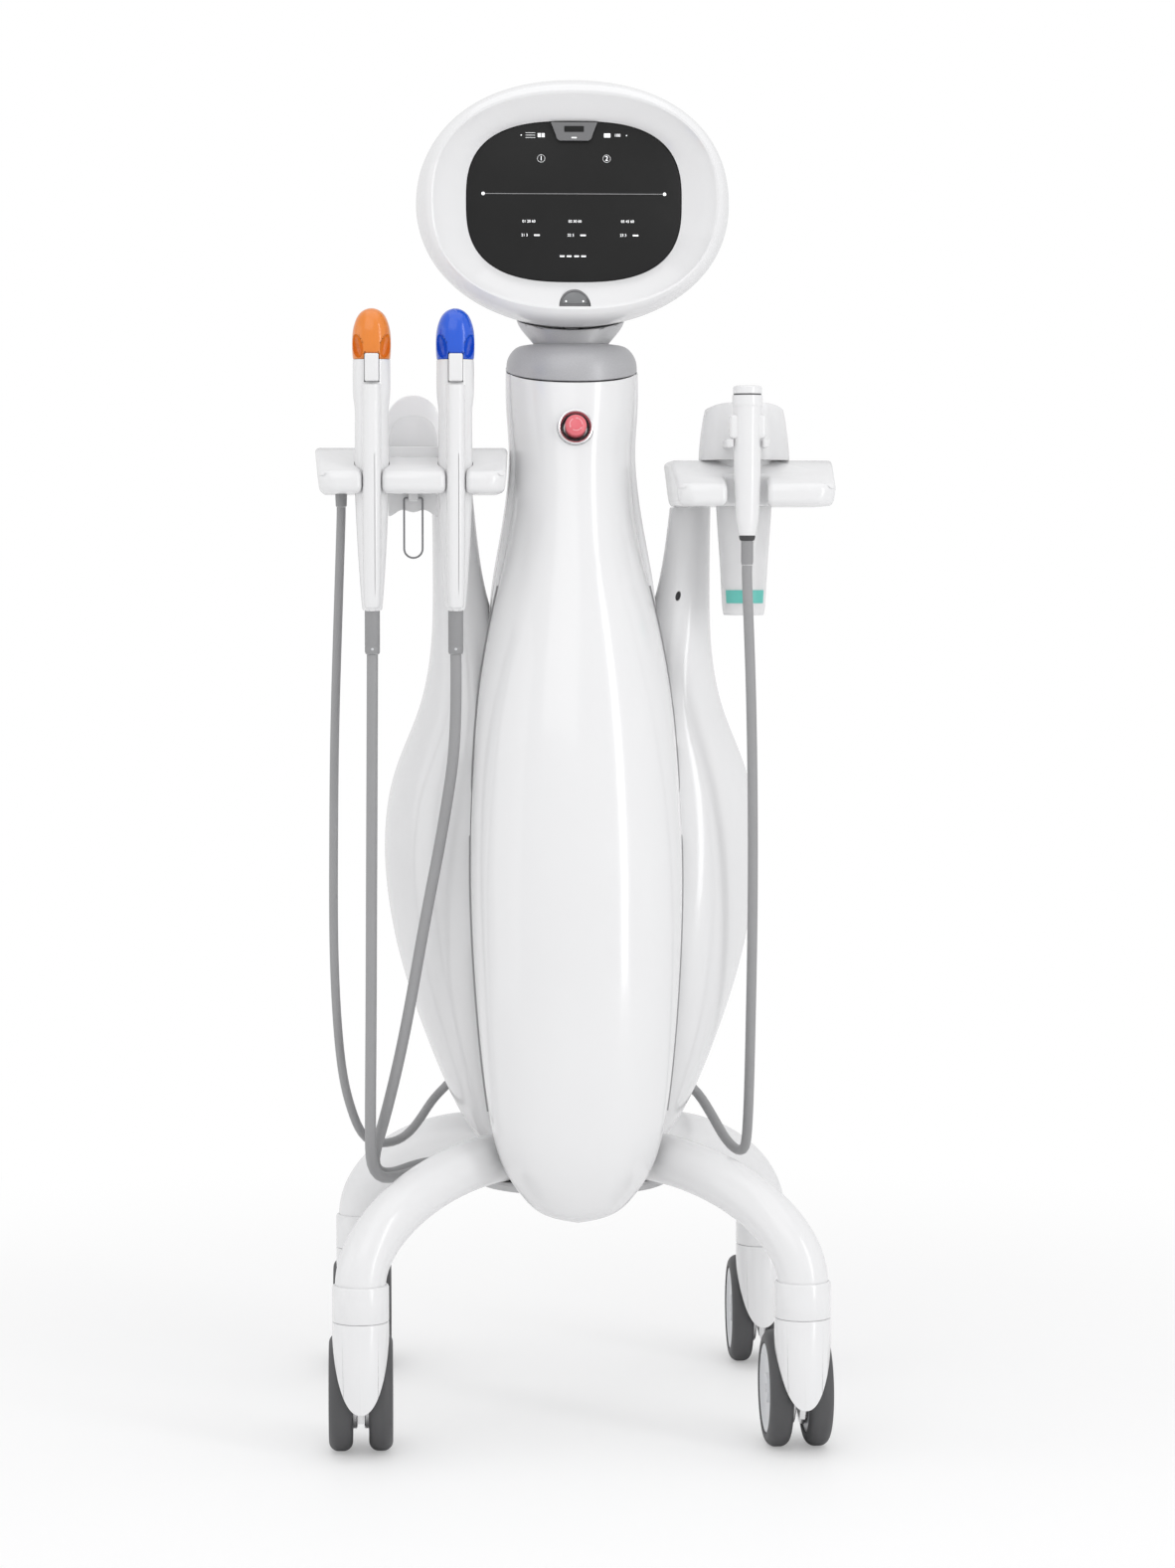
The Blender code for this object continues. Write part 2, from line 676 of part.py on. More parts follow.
def rod(name, start, end, radius, material, steps=20, end_radius=None):
    """A cylinder or cone between two points."""
    a, b = Vector(start), Vector(end)
    bm = bmesh.new()
    bmesh.ops.create_cone(
        bm, cap_ends=True, segments=steps, radius1=radius,
        radius2=radius if end_radius is None else end_radius, depth=(b - a).length,
    )
    turn = (b - a).to_track_quat("Z", "Y").to_matrix().to_4x4()
    bmesh.ops.transform(bm, matrix=Matrix.Translation((a + b) / 2) @ turn, verts=bm.verts)
    return add_mesh(name, bm, material)


def ball(name, centre, half_sizes, material, segments=24, rings=14):
    """An ellipsoid."""
    bm = bmesh.new()
    bmesh.ops.create_uvsphere(bm, u_segments=segments, v_segments=rings, radius=1)
    bmesh.ops.scale(bm, vec=half_sizes, verts=bm.verts)
    bmesh.ops.translate(bm, vec=centre, verts=bm.verts)
    return add_mesh(name, bm, material)


def prism(name, outline, start, end, material, axis="Y"):
    """A flat outline drawn out along an axis. The outline holds the other two coordinates in order."""
    places = {
        "X": lambda a, b, depth: (depth, a, b),
        "Y": lambda a, b, depth: (a, depth, b),
        "Z": lambda a, b, depth: (a, b, depth),
    }
    place = places[axis]
    rings = [[place(a, b, depth) for a, b in outline] for depth in (start, end)]
    return loft(name, rings, material)


def turned(name, profile, material, steps=24):
    """A closed profile of radius and height, spun round the Z axis with a Screw modifier."""
    bm = bmesh.new()
    verts = [bm.verts.new((radius, 0, height)) for radius, height in profile]
    for first, second in zip(verts, verts[1:] + verts[:1]):
        if first.co.x > 0 or second.co.x > 0:
            bm.edges.new((first, second))
    obj = add_mesh(name, bm, material)
    screw = obj.modifiers.new("turn", "SCREW")
    screw.steps = steps
    screw.render_steps = steps
    screw.use_merge_vertices = True
    screw.merge_threshold = MERGE
    return obj


def tube(name, points, radius, material, resolution=2):
    """A wire or hose: a curve with a round bevel and filled caps."""
    curve = bpy.data.curves.new(name, "CURVE")
    curve.dimensions = "3D"
    curve.bevel_depth = radius
    curve.bevel_resolution = resolution
    curve.use_fill_caps = True
    spline = curve.splines.new("POLY")
    spline.points.add(len(points) - 1)
    for target, point in zip(spline.points, points):
        target.co = (*point, 1)
    curve.materials.append(material)
    obj = bpy.data.objects.new(name, curve)
    obj.parent = MACHINE
    PARTS.objects.link(obj)
    return obj


def solid_tube(name, points, radius, material, resolution=2):
    """A tube made a mesh, so that it can be cut or joined."""
    curve_object = tube(name + " curve", points, radius, material, resolution)
    graph = bpy.context.evaluated_depsgraph_get()
    mesh = bpy.data.meshes.new_from_object(curve_object.evaluated_get(graph))
    bpy.data.objects.remove(curve_object, do_unlink=True)
    bm = bmesh.new()
    bm.from_mesh(mesh)
    bmesh.ops.remove_doubles(bm, verts=bm.verts, dist=MERGE)
    bmesh.ops.recalc_face_normals(bm, faces=bm.faces)
    bpy.data.meshes.remove(mesh)
    return add_mesh(name, bm, material)


def solidify(obj, thickness):
    """Give an open skin its wall, inwards."""
    wall = obj.modifiers.new("wall", "SOLIDIFY")
    wall.thickness = thickness
    wall.offset = -1
    wall.use_even_offset = True


def even_points(route, spacing):
    """Points at an even spacing along a smooth curve through a route."""
    fine = [Vector(point) for point in smooth(route, 12)]
    lengths = [0.0]
    for before, after in zip(fine, fine[1:]):
        lengths.append(lengths[-1] + (after - before).length)
    count = max(2, round(lengths[-1] / spacing))
    points = []
    index = 0
    for step in range(count + 1):
        wanted = lengths[-1] * step / count
        while index < len(fine) - 2 and lengths[index + 1] < wanted:
            index += 1
        share = (wanted - lengths[index]) / (lengths[index + 1] - lengths[index])
        points.append(fine[index].lerp(fine[index + 1], share))
    return points


# Legs and base

def leg_line():
    """The centre line of a leg: level from the hub, then a quarter of an oval down into the collar."""
    reach = STEM_SPACING / 2 * sqrt(2)
    foot = COLLAR_BOTTOM + COLLAR_HEIGHT
    points = [(LEG_INNER_END, LEG_CREST), (LEG_STRAIGHT, LEG_CREST)]
    turns = 7
    for step in range(1, turns + 1):
        turn = pi / 2 * (1 - step / turns)
        out, rise = oval_point(turn, reach - LEG_STRAIGHT, LEG_CREST - foot, LEG_POWER)
        points.append((LEG_STRAIGHT + out, foot + rise))
    points.append((reach, COLLAR_BOTTOM + STEM_LENGTH / 2))
    return points


def leg_points(side_x, side_y):
    return [(side_x * out / sqrt(2), side_y * out / sqrt(2), level) for out, level in leg_line()]


def stem_place(side_x, side_y):
    return side_x * STEM_SPACING / 2, side_y * STEM_SPACING / 2


def make_leg(name, side_x, side_y):
    leg = solid_tube(name, leg_points(side_x, side_y), LEG_RADIUS, LEG_WHITE, resolution=4)
    x, y = stem_place(side_x, side_y)
    collar_top = COLLAR_BOTTOM + COLLAR_HEIGHT
    socket = STEM_RADIUS + SEAT
    collar = turned(name + " collar", (
        (socket, COLLAR_BOTTOM),
        (socket, COLLAR_BOTTOM + STEM_LENGTH),
        (0, COLLAR_BOTTOM + STEM_LENGTH),
        (0, collar_top),
        (HOOD_RADIUS - COLLAR_EDGE, collar_top),
        (HOOD_RADIUS, collar_top - COLLAR_EDGE),
        (HOOD_RADIUS, COLLAR_BOTTOM),
    ), LEG_WHITE, steps=16)
    collar.location = (x, y, 0)
    socket_cut = rod(
        name + " socket", (x, y, COLLAR_BOTTOM - OVERRUN), (x, y, COLLAR_BOTTOM + STEM_LENGTH), socket,
        LEG_WHITE,
    )
    join(leg, collar)
    cut(leg, socket_cut)
    return leg


def leg_hole(side_x, side_y):
    """The room that a cover leaves round a leg."""
    points = leg_points(side_x, side_y)
    start = tuple(-OVERRUN * side / sqrt(2) for side in (side_x, side_y))
    points[0] = (start[0], start[1], LEG_CREST)
    return solid_tube("leg hole", points[:7], LEG_RADIUS + LEG_HOLE_GAP, WHITE, resolution=3)


def make_base_plate():
    foot = PLATE_TOP - PLATE_THICKNESS
    plate = rod("base_plate", (0, 0, foot), (0, 0, PLATE_TOP), PLATE_RADIUS, PLATE_GREY, steps=40)
    outlet = block(
        "outlet block",
        (-OUTLET_REACH, -OUTLET_HALF_WIDTH, PLATE_TOP - PLATE_THICKNESS / 2),
        (OUTLET_DEPTH - OUTLET_REACH, OUTLET_HALF_WIDTH, PLATE_TOP + OUTLET_HEIGHT),
        PLATE_GREY,
    )
    join(plate, outlet)
    return plate


def make_wheel(name, side, axle_place, turn):
    """One wheel: rounded tyre, stepped disc and the flange on its inner side."""
    bore = AXLE_RADIUS + RUNNING
    profile = (
        (bore, WHEEL_OUTSIDE - WHEEL_DISC_STEP),
        (bore, FLANGE_INSIDE),
        (FLANGE_RADIUS, FLANGE_INSIDE),
        (FLANGE_RADIUS, WHEEL_INSIDE),
        (WHEEL_RADIUS - WHEEL_EDGE, WHEEL_INSIDE),
        (WHEEL_RADIUS, WHEEL_INSIDE + WHEEL_EDGE),
        (WHEEL_RADIUS, WHEEL_OUTSIDE - WHEEL_EDGE),
        (WHEEL_RADIUS - WHEEL_EDGE, WHEEL_OUTSIDE),
        (WHEEL_DISC_RADIUS, WHEEL_OUTSIDE),
        (WHEEL_DISC_RADIUS - WHEEL_DISC_STEP, WHEEL_OUTSIDE - WHEEL_DISC_STEP),
    )
    wheel = turned(name, tuple(reversed(profile)), TYRE_GREY, steps=WHEEL_STEPS)
    wheel.location = axle_place
    wheel.rotation_euler = (0, side * pi / 2, turn)
    return wheel


def hood_outline():
    """Half widths of the hood's tongue, from its top to the tip."""
    rows = []
    steps = 6
    for step in range(steps + 1):
        share = step / steps
        rows.append((
            (HOOD_RADIUS + SEAT) * sin(pi / 2 * share) ** 0.8,
            HOOD_TIP + (HOOD_TOP - HOOD_TIP) * (1 - cos(pi / 2 * share)) ** 0.9,
        ))
    right = rows[1:]
    return [rows[0]] + right + [(-width, level) for width, level in reversed(right)]


def make_fork(name, place, turn):
    """The swivelling fork: stem, tongue-shaped hood, web and axle boss, all cast in one."""
    fork = rod(name, (0, 0, HOOD_TIP - OVERRUN), (0, 0, HOOD_TOP), HOOD_RADIUS, LEG_WHITE)
    tongue = prism("hood tongue", hood_outline(), -HOOD_RADIUS - OVERRUN, HOOD_RADIUS + OVERRUN, LEG_WHITE)
    combine(fork, tongue, "INTERSECT")
    helpers = [tongue]
    axle = (CASTER_TRAIL, WHEEL_LEVEL)
    for side in (-1, 1):
        wheel_room = rod(
            "wheel room", (side * (WHEEL_INSIDE - RUNNING), *axle), (side * (WHEEL_OUTSIDE + OVERRUN), *axle),
            WHEEL_RADIUS + HOOD_WHEEL_GAP, LEG_WHITE,
        )
        flange_room = rod(
            "flange room", (side * (WEB_HALF - RUNNING), *axle), (side * WHEEL_OUTSIDE, *axle),
            FLANGE_RADIUS + HOOD_WHEEL_GAP, LEG_WHITE, steps=16,
        )
        cut(fork, wheel_room, flange_room)
        helpers += [wheel_room, flange_room]
    web_outline = (
        (-HOOD_RADIUS / 2, HOOD_TOP - STEM_RADIUS),
        (-HOOD_RADIUS / 2, WHEEL_LEVEL),
        (CASTER_TRAIL, WHEEL_LEVEL - AXLE_BOSS_RADIUS + SHELL),
        (CASTER_TRAIL + AXLE_BOSS_RADIUS - SHELL, WHEEL_LEVEL),
        (HOOD_RADIUS - SHELL, HOOD_TOP - STEM_RADIUS),
    )
    web = prism("fork web", web_outline, -WEB_HALF, WEB_HALF, LEG_WHITE, axis="X")
    boss = rod("axle boss", (-WEB_HALF, *axle), (WEB_HALF, *axle), AXLE_BOSS_RADIUS, LEG_WHITE, steps=12)
    stem_top = HOOD_TOP + STEM_LENGTH - SHELL
    stem = rod("fork stem", (0, 0, HOOD_TOP - OVERRUN), (0, 0, stem_top), STEM_RADIUS, LEG_WHITE, steps=12)
    join(fork, web, boss, stem)
    bore = rod(
        "axle bore", (-WEB_HALF - OVERRUN, *axle), (WEB_HALF + OVERRUN, *axle), AXLE_RADIUS + SEAT, LEG_WHITE,
        steps=12,
    )
    cut(fork, bore)
    helpers += [web, boss, stem, bore]
    for obj in [fork] + helpers:
        obj.location = (*place, 0)
        obj.rotation_euler = (0, 0, turn)
    return fork


def make_caster(label, side_x, side_y, turn):
    place = stem_place(side_x, side_y)
    make_fork("caster_fork_" + label, place, turn)
    swing = Matrix.Rotation(turn, 3, "Z")
    centre = Vector((*place, WHEEL_LEVEL)) + swing @ Vector((0, CASTER_TRAIL, 0))
    along = swing @ Vector((1, 0, 0))
    end = along * (WHEEL_OUTSIDE - WHEEL_DISC_STEP)
    axle = rod("caster_axle_" + label, centre - end, centre + end, AXLE_RADIUS, STEEL, steps=12)
    set_origin(axle, centre)
    make_wheel("caster_wheel_" + label + "_outer", side_x, centre, turn)
    make_wheel("caster_wheel_" + label + "_inner", -side_x, centre, turn)


# Body covers

def seam_rise(y, level):
    """How far the slanted top seam lifts a point: nothing low down, the full slope at the top."""
    start = COVER_TOP * CAP_SLOPE_START_SHARE
    share = min(max((level - start) / (COVER_TOP - start), 0), 1)
    return CAP_SLOPE_SHARE * y * share * share


def cover_level(rise):
    return POD_FOOT + rise * (COVER_TOP - POD_FOOT)


def pod_row(shares):
    """Level, half width, widest line, depth, rim and lap of the pod in metres."""
    rise, width, reach, rim, lap = shares
    front, edge = reach * POD_REACH, rim * POD_REACH
    widest = (edge - lap * front) / (1 - lap)
    return cover_level(rise), width * POD_HALF_WIDTH, widest, front - widest, edge, lap


def pod_section(shares, grow=0.0, count=13, back=None):
    """The pod's outline at one level, from its left rim round the front to its right rim."""
    level, width, widest, depth, edge, lap = pod_row(shares)
    start = copysign(asin(min(abs(lap), 1) ** (POD_POWER / 2)), lap)
    points = []
    for step in range(count):
        turn = start + (pi - 2 * start) * step / (count - 1)
        across, forward = oval_point(turn, width + grow, depth + grow, POD_POWER)
        points.append((-across, -widest - forward))
    if back is not None:
        points.append((points[-1][0], -edge + back))
        points.insert(0, (points[0][0], -edge + back))
    return [(x, y, level + seam_rise(y, level)) for x, y in points]


def column_section(pod_shares, shares, grow=0.0, count=10, front=None):
    """The column's outline at one of the pod's levels: straight sides and a rounded back."""
    level = cover_level(pod_shares[0])
    width = shares[0] * POD_HALF_WIDTH + grow
    back = shares[1] * COLUMN_REACH + grow
    turn_y = shares[1] * COLUMN_REACH * COLUMN_TURN_SHARE
    rim = SEAM - pod_shares[3] * POD_REACH if front is None else front
    points = [(width, rim)]
    for step in range(count):
        across, along = oval_point(pi * step / (count - 1), width, back - turn_y, POD_POWER)
        points.append((across, turn_y + along))
    points.append((-width, rim))
    return [(x, y, level + seam_rise(y, level)) for x, y in points]


def pod_cutter():
    """The room inside the pod, closed at its rim, which the side covers keep clear of."""
    rows = smooth(POD_SHARES, 2)[1:]
    rings = [pod_section(row, grow=SEAM, back=SEAM) for row in rows]
    return loft("pod room", rings, WHITE)


def column_cutter():
    """The room of the column, which the side covers keep clear of."""
    pods = smooth(POD_SHARES[3:], 2)
    rows = smooth(COLUMN_SHARES, 2)
    rings = [
        column_section(pod, row, grow=SEAM, front=-pod[3] * POD_REACH - SHELL * 2)
        for pod, row in zip(pods, rows)
    ]
    low = [(x, y, z - OVERRUN * 4) for x, y, z in rings[0]]
    return loft("column room", [low] + rings, WHITE)


def make_front_cover(holes):
    rings = [pod_section(row) for row in smooth(POD_SHARES, 2)]
    cover = loft("front_cover", rings, WHITE, closed=False, capped=False)
    solidify(cover, SHELL)
    axis, face = stop_axis(), stop_face()
    stop_hole = rod(
        "stop hole", face + axis * OVERRUN, face - axis * OVERRUN * 2, STOP_RADIUS + RUNNING, WHITE, steps=24,
    )
    cut(cover, stop_hole, *holes)
    return cover


def make_rear_cover(holes):
    pods = smooth(POD_SHARES[3:], 2)
    rows = smooth(COLUMN_SHARES, 2)
    rings = [column_section(pod, row) for pod, row in zip(pods, rows)]
    cover = loft("rear_cover", rings, WHITE, closed=False, capped=False)
    solidify(cover, SHELL)
    middle = (RECESS_BOTTOM + RECESS_TOP) / 2
    half_height = (RECESS_TOP - RECESS_BOTTOM) / 2
    frame = block(
        "recess frame",
        (-RECESS_HALF_WIDTH - SHELL, RECESS_FLOOR - SHELL, RECESS_BOTTOM - SHELL),
        (RECESS_HALF_WIDTH + SHELL, COLUMN_REACH + OVERRUN, RECESS_TOP + SHELL), WHITE,
    )
    filled = loft("column outside", [column_section(pod, row) for pod, row in zip(pods, rows)], WHITE)
    combine(frame, filled, "INTERSECT")
    join(cover, frame)
    hollow = block(
        "recess hollow", (-RECESS_HALF_WIDTH, RECESS_FLOOR, RECESS_BOTTOM),
        (RECESS_HALF_WIDTH, COLUMN_REACH + OVERRUN, RECESS_TOP), WHITE,
    )
    hole_width = INLET_HALF_WIDTH - INLET_BODY_INSET + SEAT
    hole_height = INLET_HALF_HEIGHT - INLET_BODY_INSET + SEAT
    inlet_hole = block(
        "inlet hole", (-hole_width, RECESS_FLOOR - OVERRUN, middle - hole_height),
        (hole_width, RECESS_FLOOR + OVERRUN, middle + hole_height), WHITE,
    )
    cut(cover, hollow, inlet_hole)
    for step in range(LOUVRE_COUNT):
        level = LOUVRE_CENTRE + (step - (LOUVRE_COUNT - 1) / 2) * LOUVRE_PITCH
        slit = block(
            "louvre", (-LOUVRE_HALF_LENGTH, COLUMN_REACH / 2, level - LOUVRE_HALF_HEIGHT),
            (LOUVRE_HALF_LENGTH, COLUMN_REACH + OVERRUN, level + LOUVRE_HALF_HEIGHT), WHITE,
        )
        cut(cover, slit)
    cut(cover, *holes)
    return cover


def petal_rows(top, wall=0.0):
    """A petal's rows in metres, its neck ended at the given level."""
    height = PETAL_TOP - LEG_CREST
    end = ((top - LEG_CREST) / height, *PETAL_SHARES[-1][1:])
    return [
        (
            LEG_CREST + rise * height, centre * PETAL_REACH, width * PETAL_REACH - wall,
            centre_y * PETAL_DEPTH, depth * PETAL_DEPTH - wall,
        )
        for rise, centre, width, centre_y, depth in smooth(PETAL_SHARES[:-1] + (end,), 2)
    ]


def make_side_cover(name, side, top, rooms):
    """A petal: a hollow shell, open to the column, whose neck rises to a tray."""
    rings = [
        flat_oval(side * centre, centre_y, level, width, depth, count=18)
        for level, centre, width, centre_y, depth in petal_rows(top)
    ]
    cover = loft(name, rings, WHITE)
    inner_rows = petal_rows(top, SHELL)
    inner = inner_rows[1:-1:2] + [(top - SHELL * 2, *inner_rows[-1][1:])]
    hollow = loft(name + " hollow", [
        flat_oval(side * centre, centre_y, level, width, depth, count=14)
        for level, centre, width, centre_y, depth in inner
    ], WHITE)
    root = Vector((side * GLAND_ROOT[0], *GLAND_ROOT[1:]))
    axis = Vector((side * GLAND_AXIS[0], *GLAND_AXIS[1:]))
    gland = rod(
        name + " gland", root - axis * SHELL, root + axis * GLAND_LENGTH, GLAND_RADIUS, WHITE,
        steps=16, end_radius=GLAND_RADIUS * 0.8,
    )
    cut(cover, hollow)
    join(cover, gland)
    cut(cover, *rooms)
    return cover


# Inner pieces

def make_spine():
    foot = SPINE_BOTTOM + SPINE_FOOT_HEIGHT
    bore = SPINE_RADIUS - SPINE_WALL
    spine = turned("spine", (
        (SPINE_FOOT_RADIUS, foot),
        (SPINE_FOOT_RADIUS, SPINE_BOTTOM),
        (bore, SPINE_BOTTOM),
        (bore, SPINE_TOP),
        (SPINE_RADIUS, SPINE_TOP),
        (SPINE_RADIUS, foot),
    ), STEEL, steps=28)
    spine.location = (0, NECK_Y, 0)
    return spine


def make_power_supply():
    """A finned metal box on the front of the spine."""
    back = NECK_Y - SPINE_RADIUS - SEAT
    front = back - SUPPLY_DEPTH
    box = block(
        "power_supply", (-SUPPLY_HALF_WIDTH, front, SUPPLY_BOTTOM),
        (SUPPLY_HALF_WIDTH, back, SUPPLY_BOTTOM + SUPPLY_HEIGHT), STEEL,
    )
    slots = 7
    for step in range(slots):
        x = SUPPLY_HALF_WIDTH * ((step + 0.5) * 2 / slots - 1)
        groove = block(
            "supply groove", (x - SUPPLY_FIN, front - OVERRUN, SUPPLY_BOTTOM + SUPPLY_FIN * 2),
            (x + SUPPLY_FIN, front + SUPPLY_FIN * 2, SUPPLY_BOTTOM + SUPPLY_HEIGHT + OVERRUN), STEEL,
        )
        cut(box, groove)
    return box


def make_driver_board():
    """The transducer driver: a board on the spine with a finned heat sink."""
    back = NECK_Y - SPINE_RADIUS - SEAT
    face = back - BOARD_THICKNESS
    board = block(
        "driver_board", (-BOARD_HALF_WIDTH, face, BOARD_BOTTOM),
        (BOARD_HALF_WIDTH, back, BOARD_BOTTOM + BOARD_HEIGHT), BOARD_GREEN,
    )
    base = block(
        "sink base", (-SINK_HALF_WIDTH, face - BOARD_THICKNESS * 2, BOARD_BOTTOM + BOARD_THICKNESS * 3),
        (SINK_HALF_WIDTH, face + BOARD_THICKNESS / 2, BOARD_BOTTOM + BOARD_HEIGHT * 0.6), STEEL,
    )
    join(board, base)
    fins = 6
    for step in range(fins):
        x = SINK_HALF_WIDTH * ((step + 0.5) * 2 / fins - 1)
        fin = block(
            "sink fin", (x - BOARD_THICKNESS / 2, face - SINK_DEPTH, BOARD_BOTTOM + BOARD_THICKNESS * 4),
            (x + BOARD_THICKNESS / 2, face - BOARD_THICKNESS, BOARD_BOTTOM + BOARD_HEIGHT * 0.58), STEEL,
        )
        join(board, fin)
    return board


def make_fan():
    """The fan on the back of the spine: a square frame with three arms, and a bladed rotor."""
    front = NECK_Y + SPINE_RADIUS + SEAT
    back = front + FAN_DEPTH
    frame = block(
        "fan_frame", (-FAN_HALF, front, LOUVRE_CENTRE - FAN_HALF),
        (FAN_HALF, back, LOUVRE_CENTRE + FAN_HALF), BLACK_PLASTIC,
    )
    bore = rod(
        "fan bore", (0, front + FAN_WEB, LOUVRE_CENTRE), (0, back + OVERRUN, LOUVRE_CENTRE), FAN_BORE,
        BLACK_PLASTIC, steps=28,
    )
    cut(frame, bore)
    for step in range(3):
        turn = 2 * pi * (step + 0.5) / 3
        reach = (FAN_BORE + FAN_HUB_RADIUS) / 2
        window = rod(
            "fan window",
            (reach * sin(turn), front - OVERRUN, LOUVRE_CENTRE + reach * cos(turn)),
            (reach * sin(turn), front + FAN_DEPTH / 2, LOUVRE_CENTRE + reach * cos(turn)),
            (FAN_BORE - FAN_HUB_RADIUS - SHELL) / 2, BLACK_PLASTIC, steps=12,
        )
        cut(frame, window)
    hub_front, hub_back = front + FAN_WEB + SEAT, back - FAN_WEB
    centre = Vector((0, (hub_front + hub_back) / 2, LOUVRE_CENTRE))
    half_hub = Vector((0, (hub_back - hub_front) / 2, 0))
    rotor = rod("fan_rotor", centre - half_hub, centre + half_hub, FAN_HUB_RADIUS, BLACK_PLASTIC)
    for step in range(FAN_BLADES):
        blade = block(
            "fan blade",
            (FAN_HUB_RADIUS - SHELL, -FAN_WEB / 4, -FAN_HUB_RADIUS * 0.7),
            (FAN_BLADE_REACH, FAN_WEB / 4, FAN_HUB_RADIUS * 0.7), BLACK_PLASTIC,
        )
        spin = Matrix.Rotation(2 * pi * step / FAN_BLADES, 4, "Y")
        pitch = Matrix.Rotation(radians(32), 4, "X")
        blade.data.transform(Matrix.Translation(centre) @ spin @ pitch)
        join(rotor, blade)
    set_origin(rotor, centre)


def make_inlet():
    """The mains inlet with its rocker switch above, on the floor of the rear recess."""
    middle = (RECESS_BOTTOM + RECESS_TOP) / 2
    face = RECESS_FLOOR + SEAT + INLET_FLANGE
    body_width = INLET_HALF_WIDTH - INLET_BODY_INSET
    body_height = INLET_HALF_HEIGHT - INLET_BODY_INSET
    inlet = block(
        "power_inlet", (-INLET_HALF_WIDTH, RECESS_FLOOR + SEAT, middle - INLET_HALF_HEIGHT),
        (INLET_HALF_WIDTH, face, middle + INLET_HALF_HEIGHT), BLACK_PLASTIC,
    )
    body = block(
        "inlet body", (-body_width, RECESS_FLOOR - INLET_BODY_DEPTH, middle - body_height),
        (body_width, face - INLET_FLANGE / 2, middle + body_height), BLACK_PLASTIC,
    )
    join(inlet, body)
    socket_z = middle - INLET_HALF_HEIGHT / 2
    socket = block(
        "inlet socket", (-SOCKET_HALF_WIDTH, face - SOCKET_DEPTH, socket_z - SOCKET_HALF_HEIGHT),
        (SOCKET_HALF_WIDTH, face + OVERRUN, socket_z + SOCKET_HALF_HEIGHT), BLACK_PLASTIC,
    )
    switch_z = middle + INLET_HALF_HEIGHT / 2
    room_width = SWITCH_HALF_WIDTH + RUNNING
    room_height = SWITCH_HALF_HEIGHT + RUNNING * 2
    switch_room = block(
        "switch room", (-room_width, face - SWITCH_DEPTH - RUNNING * 2, switch_z - room_height),
        (room_width, face + OVERRUN, switch_z + room_height), BLACK_PLASTIC,
    )
    cut(inlet, socket, switch_room)
    for step in (-1, 0, 1):
        x = step * SOCKET_HALF_WIDTH / 2
        pin = block(
            "inlet pin", (x - PIN_HALF_WIDTH, face - SOCKET_DEPTH - RUNNING, socket_z - PIN_HALF_WIDTH * 2),
            (x + PIN_HALF_WIDTH, face - SOCKET_DEPTH / 3, socket_z + PIN_HALF_WIDTH * 2), STEEL,
        )
        join(inlet, pin)
    rocker_outline = (
        (face - SWITCH_DEPTH, switch_z - SWITCH_HALF_HEIGHT + SHELL),
        (face, switch_z - SWITCH_HALF_HEIGHT),
        (face + SWITCH_PROUD, switch_z - SWITCH_HALF_HEIGHT),
        (face, switch_z),
        (face + SWITCH_PROUD, switch_z + SWITCH_HALF_HEIGHT),
        (face, switch_z + SWITCH_HALF_HEIGHT),
        (face - SWITCH_DEPTH, switch_z + SWITCH_HALF_HEIGHT - SHELL),
    )
    rocker = prism(
        "power_switch", rocker_outline, -SWITCH_HALF_WIDTH, SWITCH_HALF_WIDTH, BLACK_PLASTIC, axis="X",
    )
    set_origin(rocker, (0, face - RUNNING * 4, switch_z))


# Neck and head

def make_neck_cap():
    """The grey cap: the column's outline at the slanted seam, closing to a level crest with a hole."""
    hole = SPIGOT_RADIUS + RUNNING
    low = COVER_TOP + SEAM + SHELL * CAP_SLOPE_SHARE
    height = CAP_CREST - COVER_TOP
    inner_top = CAP_CREST - SHELL

    def ring(level, half_x, half_y, y=NECK_Y, sloped=0.0):
        points = flat_oval(0, y, level, half_x, half_y, power=2.1, count=24)
        return [(px, py, pz + sloped * CAP_SLOPE_SHARE * py) for px, py, pz in points]

    def share_ring(rise, width, depth, shift, sloped):
        level = low + height * rise
        return ring(level, width * CAP_HALF_WIDTH, depth * CAP_HALF_DEPTH, shift * NECK_Y, sloped)

    rings = [share_ring(*row) for row in CAP_OUTER_SHARES] + [
        ring(CAP_CREST, CAP_CREST_RADIUS, CAP_CREST_RADIUS),
        ring(CAP_CREST, hole, hole),
        ring(inner_top, hole, hole),
        ring(inner_top, CAP_CREST_RADIUS, CAP_CREST_RADIUS),
        share_ring(*CAP_INNER_SHARE),
        ring(low, CAP_HALF_WIDTH - SHELL, CAP_HALF_DEPTH - SHELL, 0, 1),
    ]
    return loft("neck_cap", rings, SATIN_GREY, looped=True)


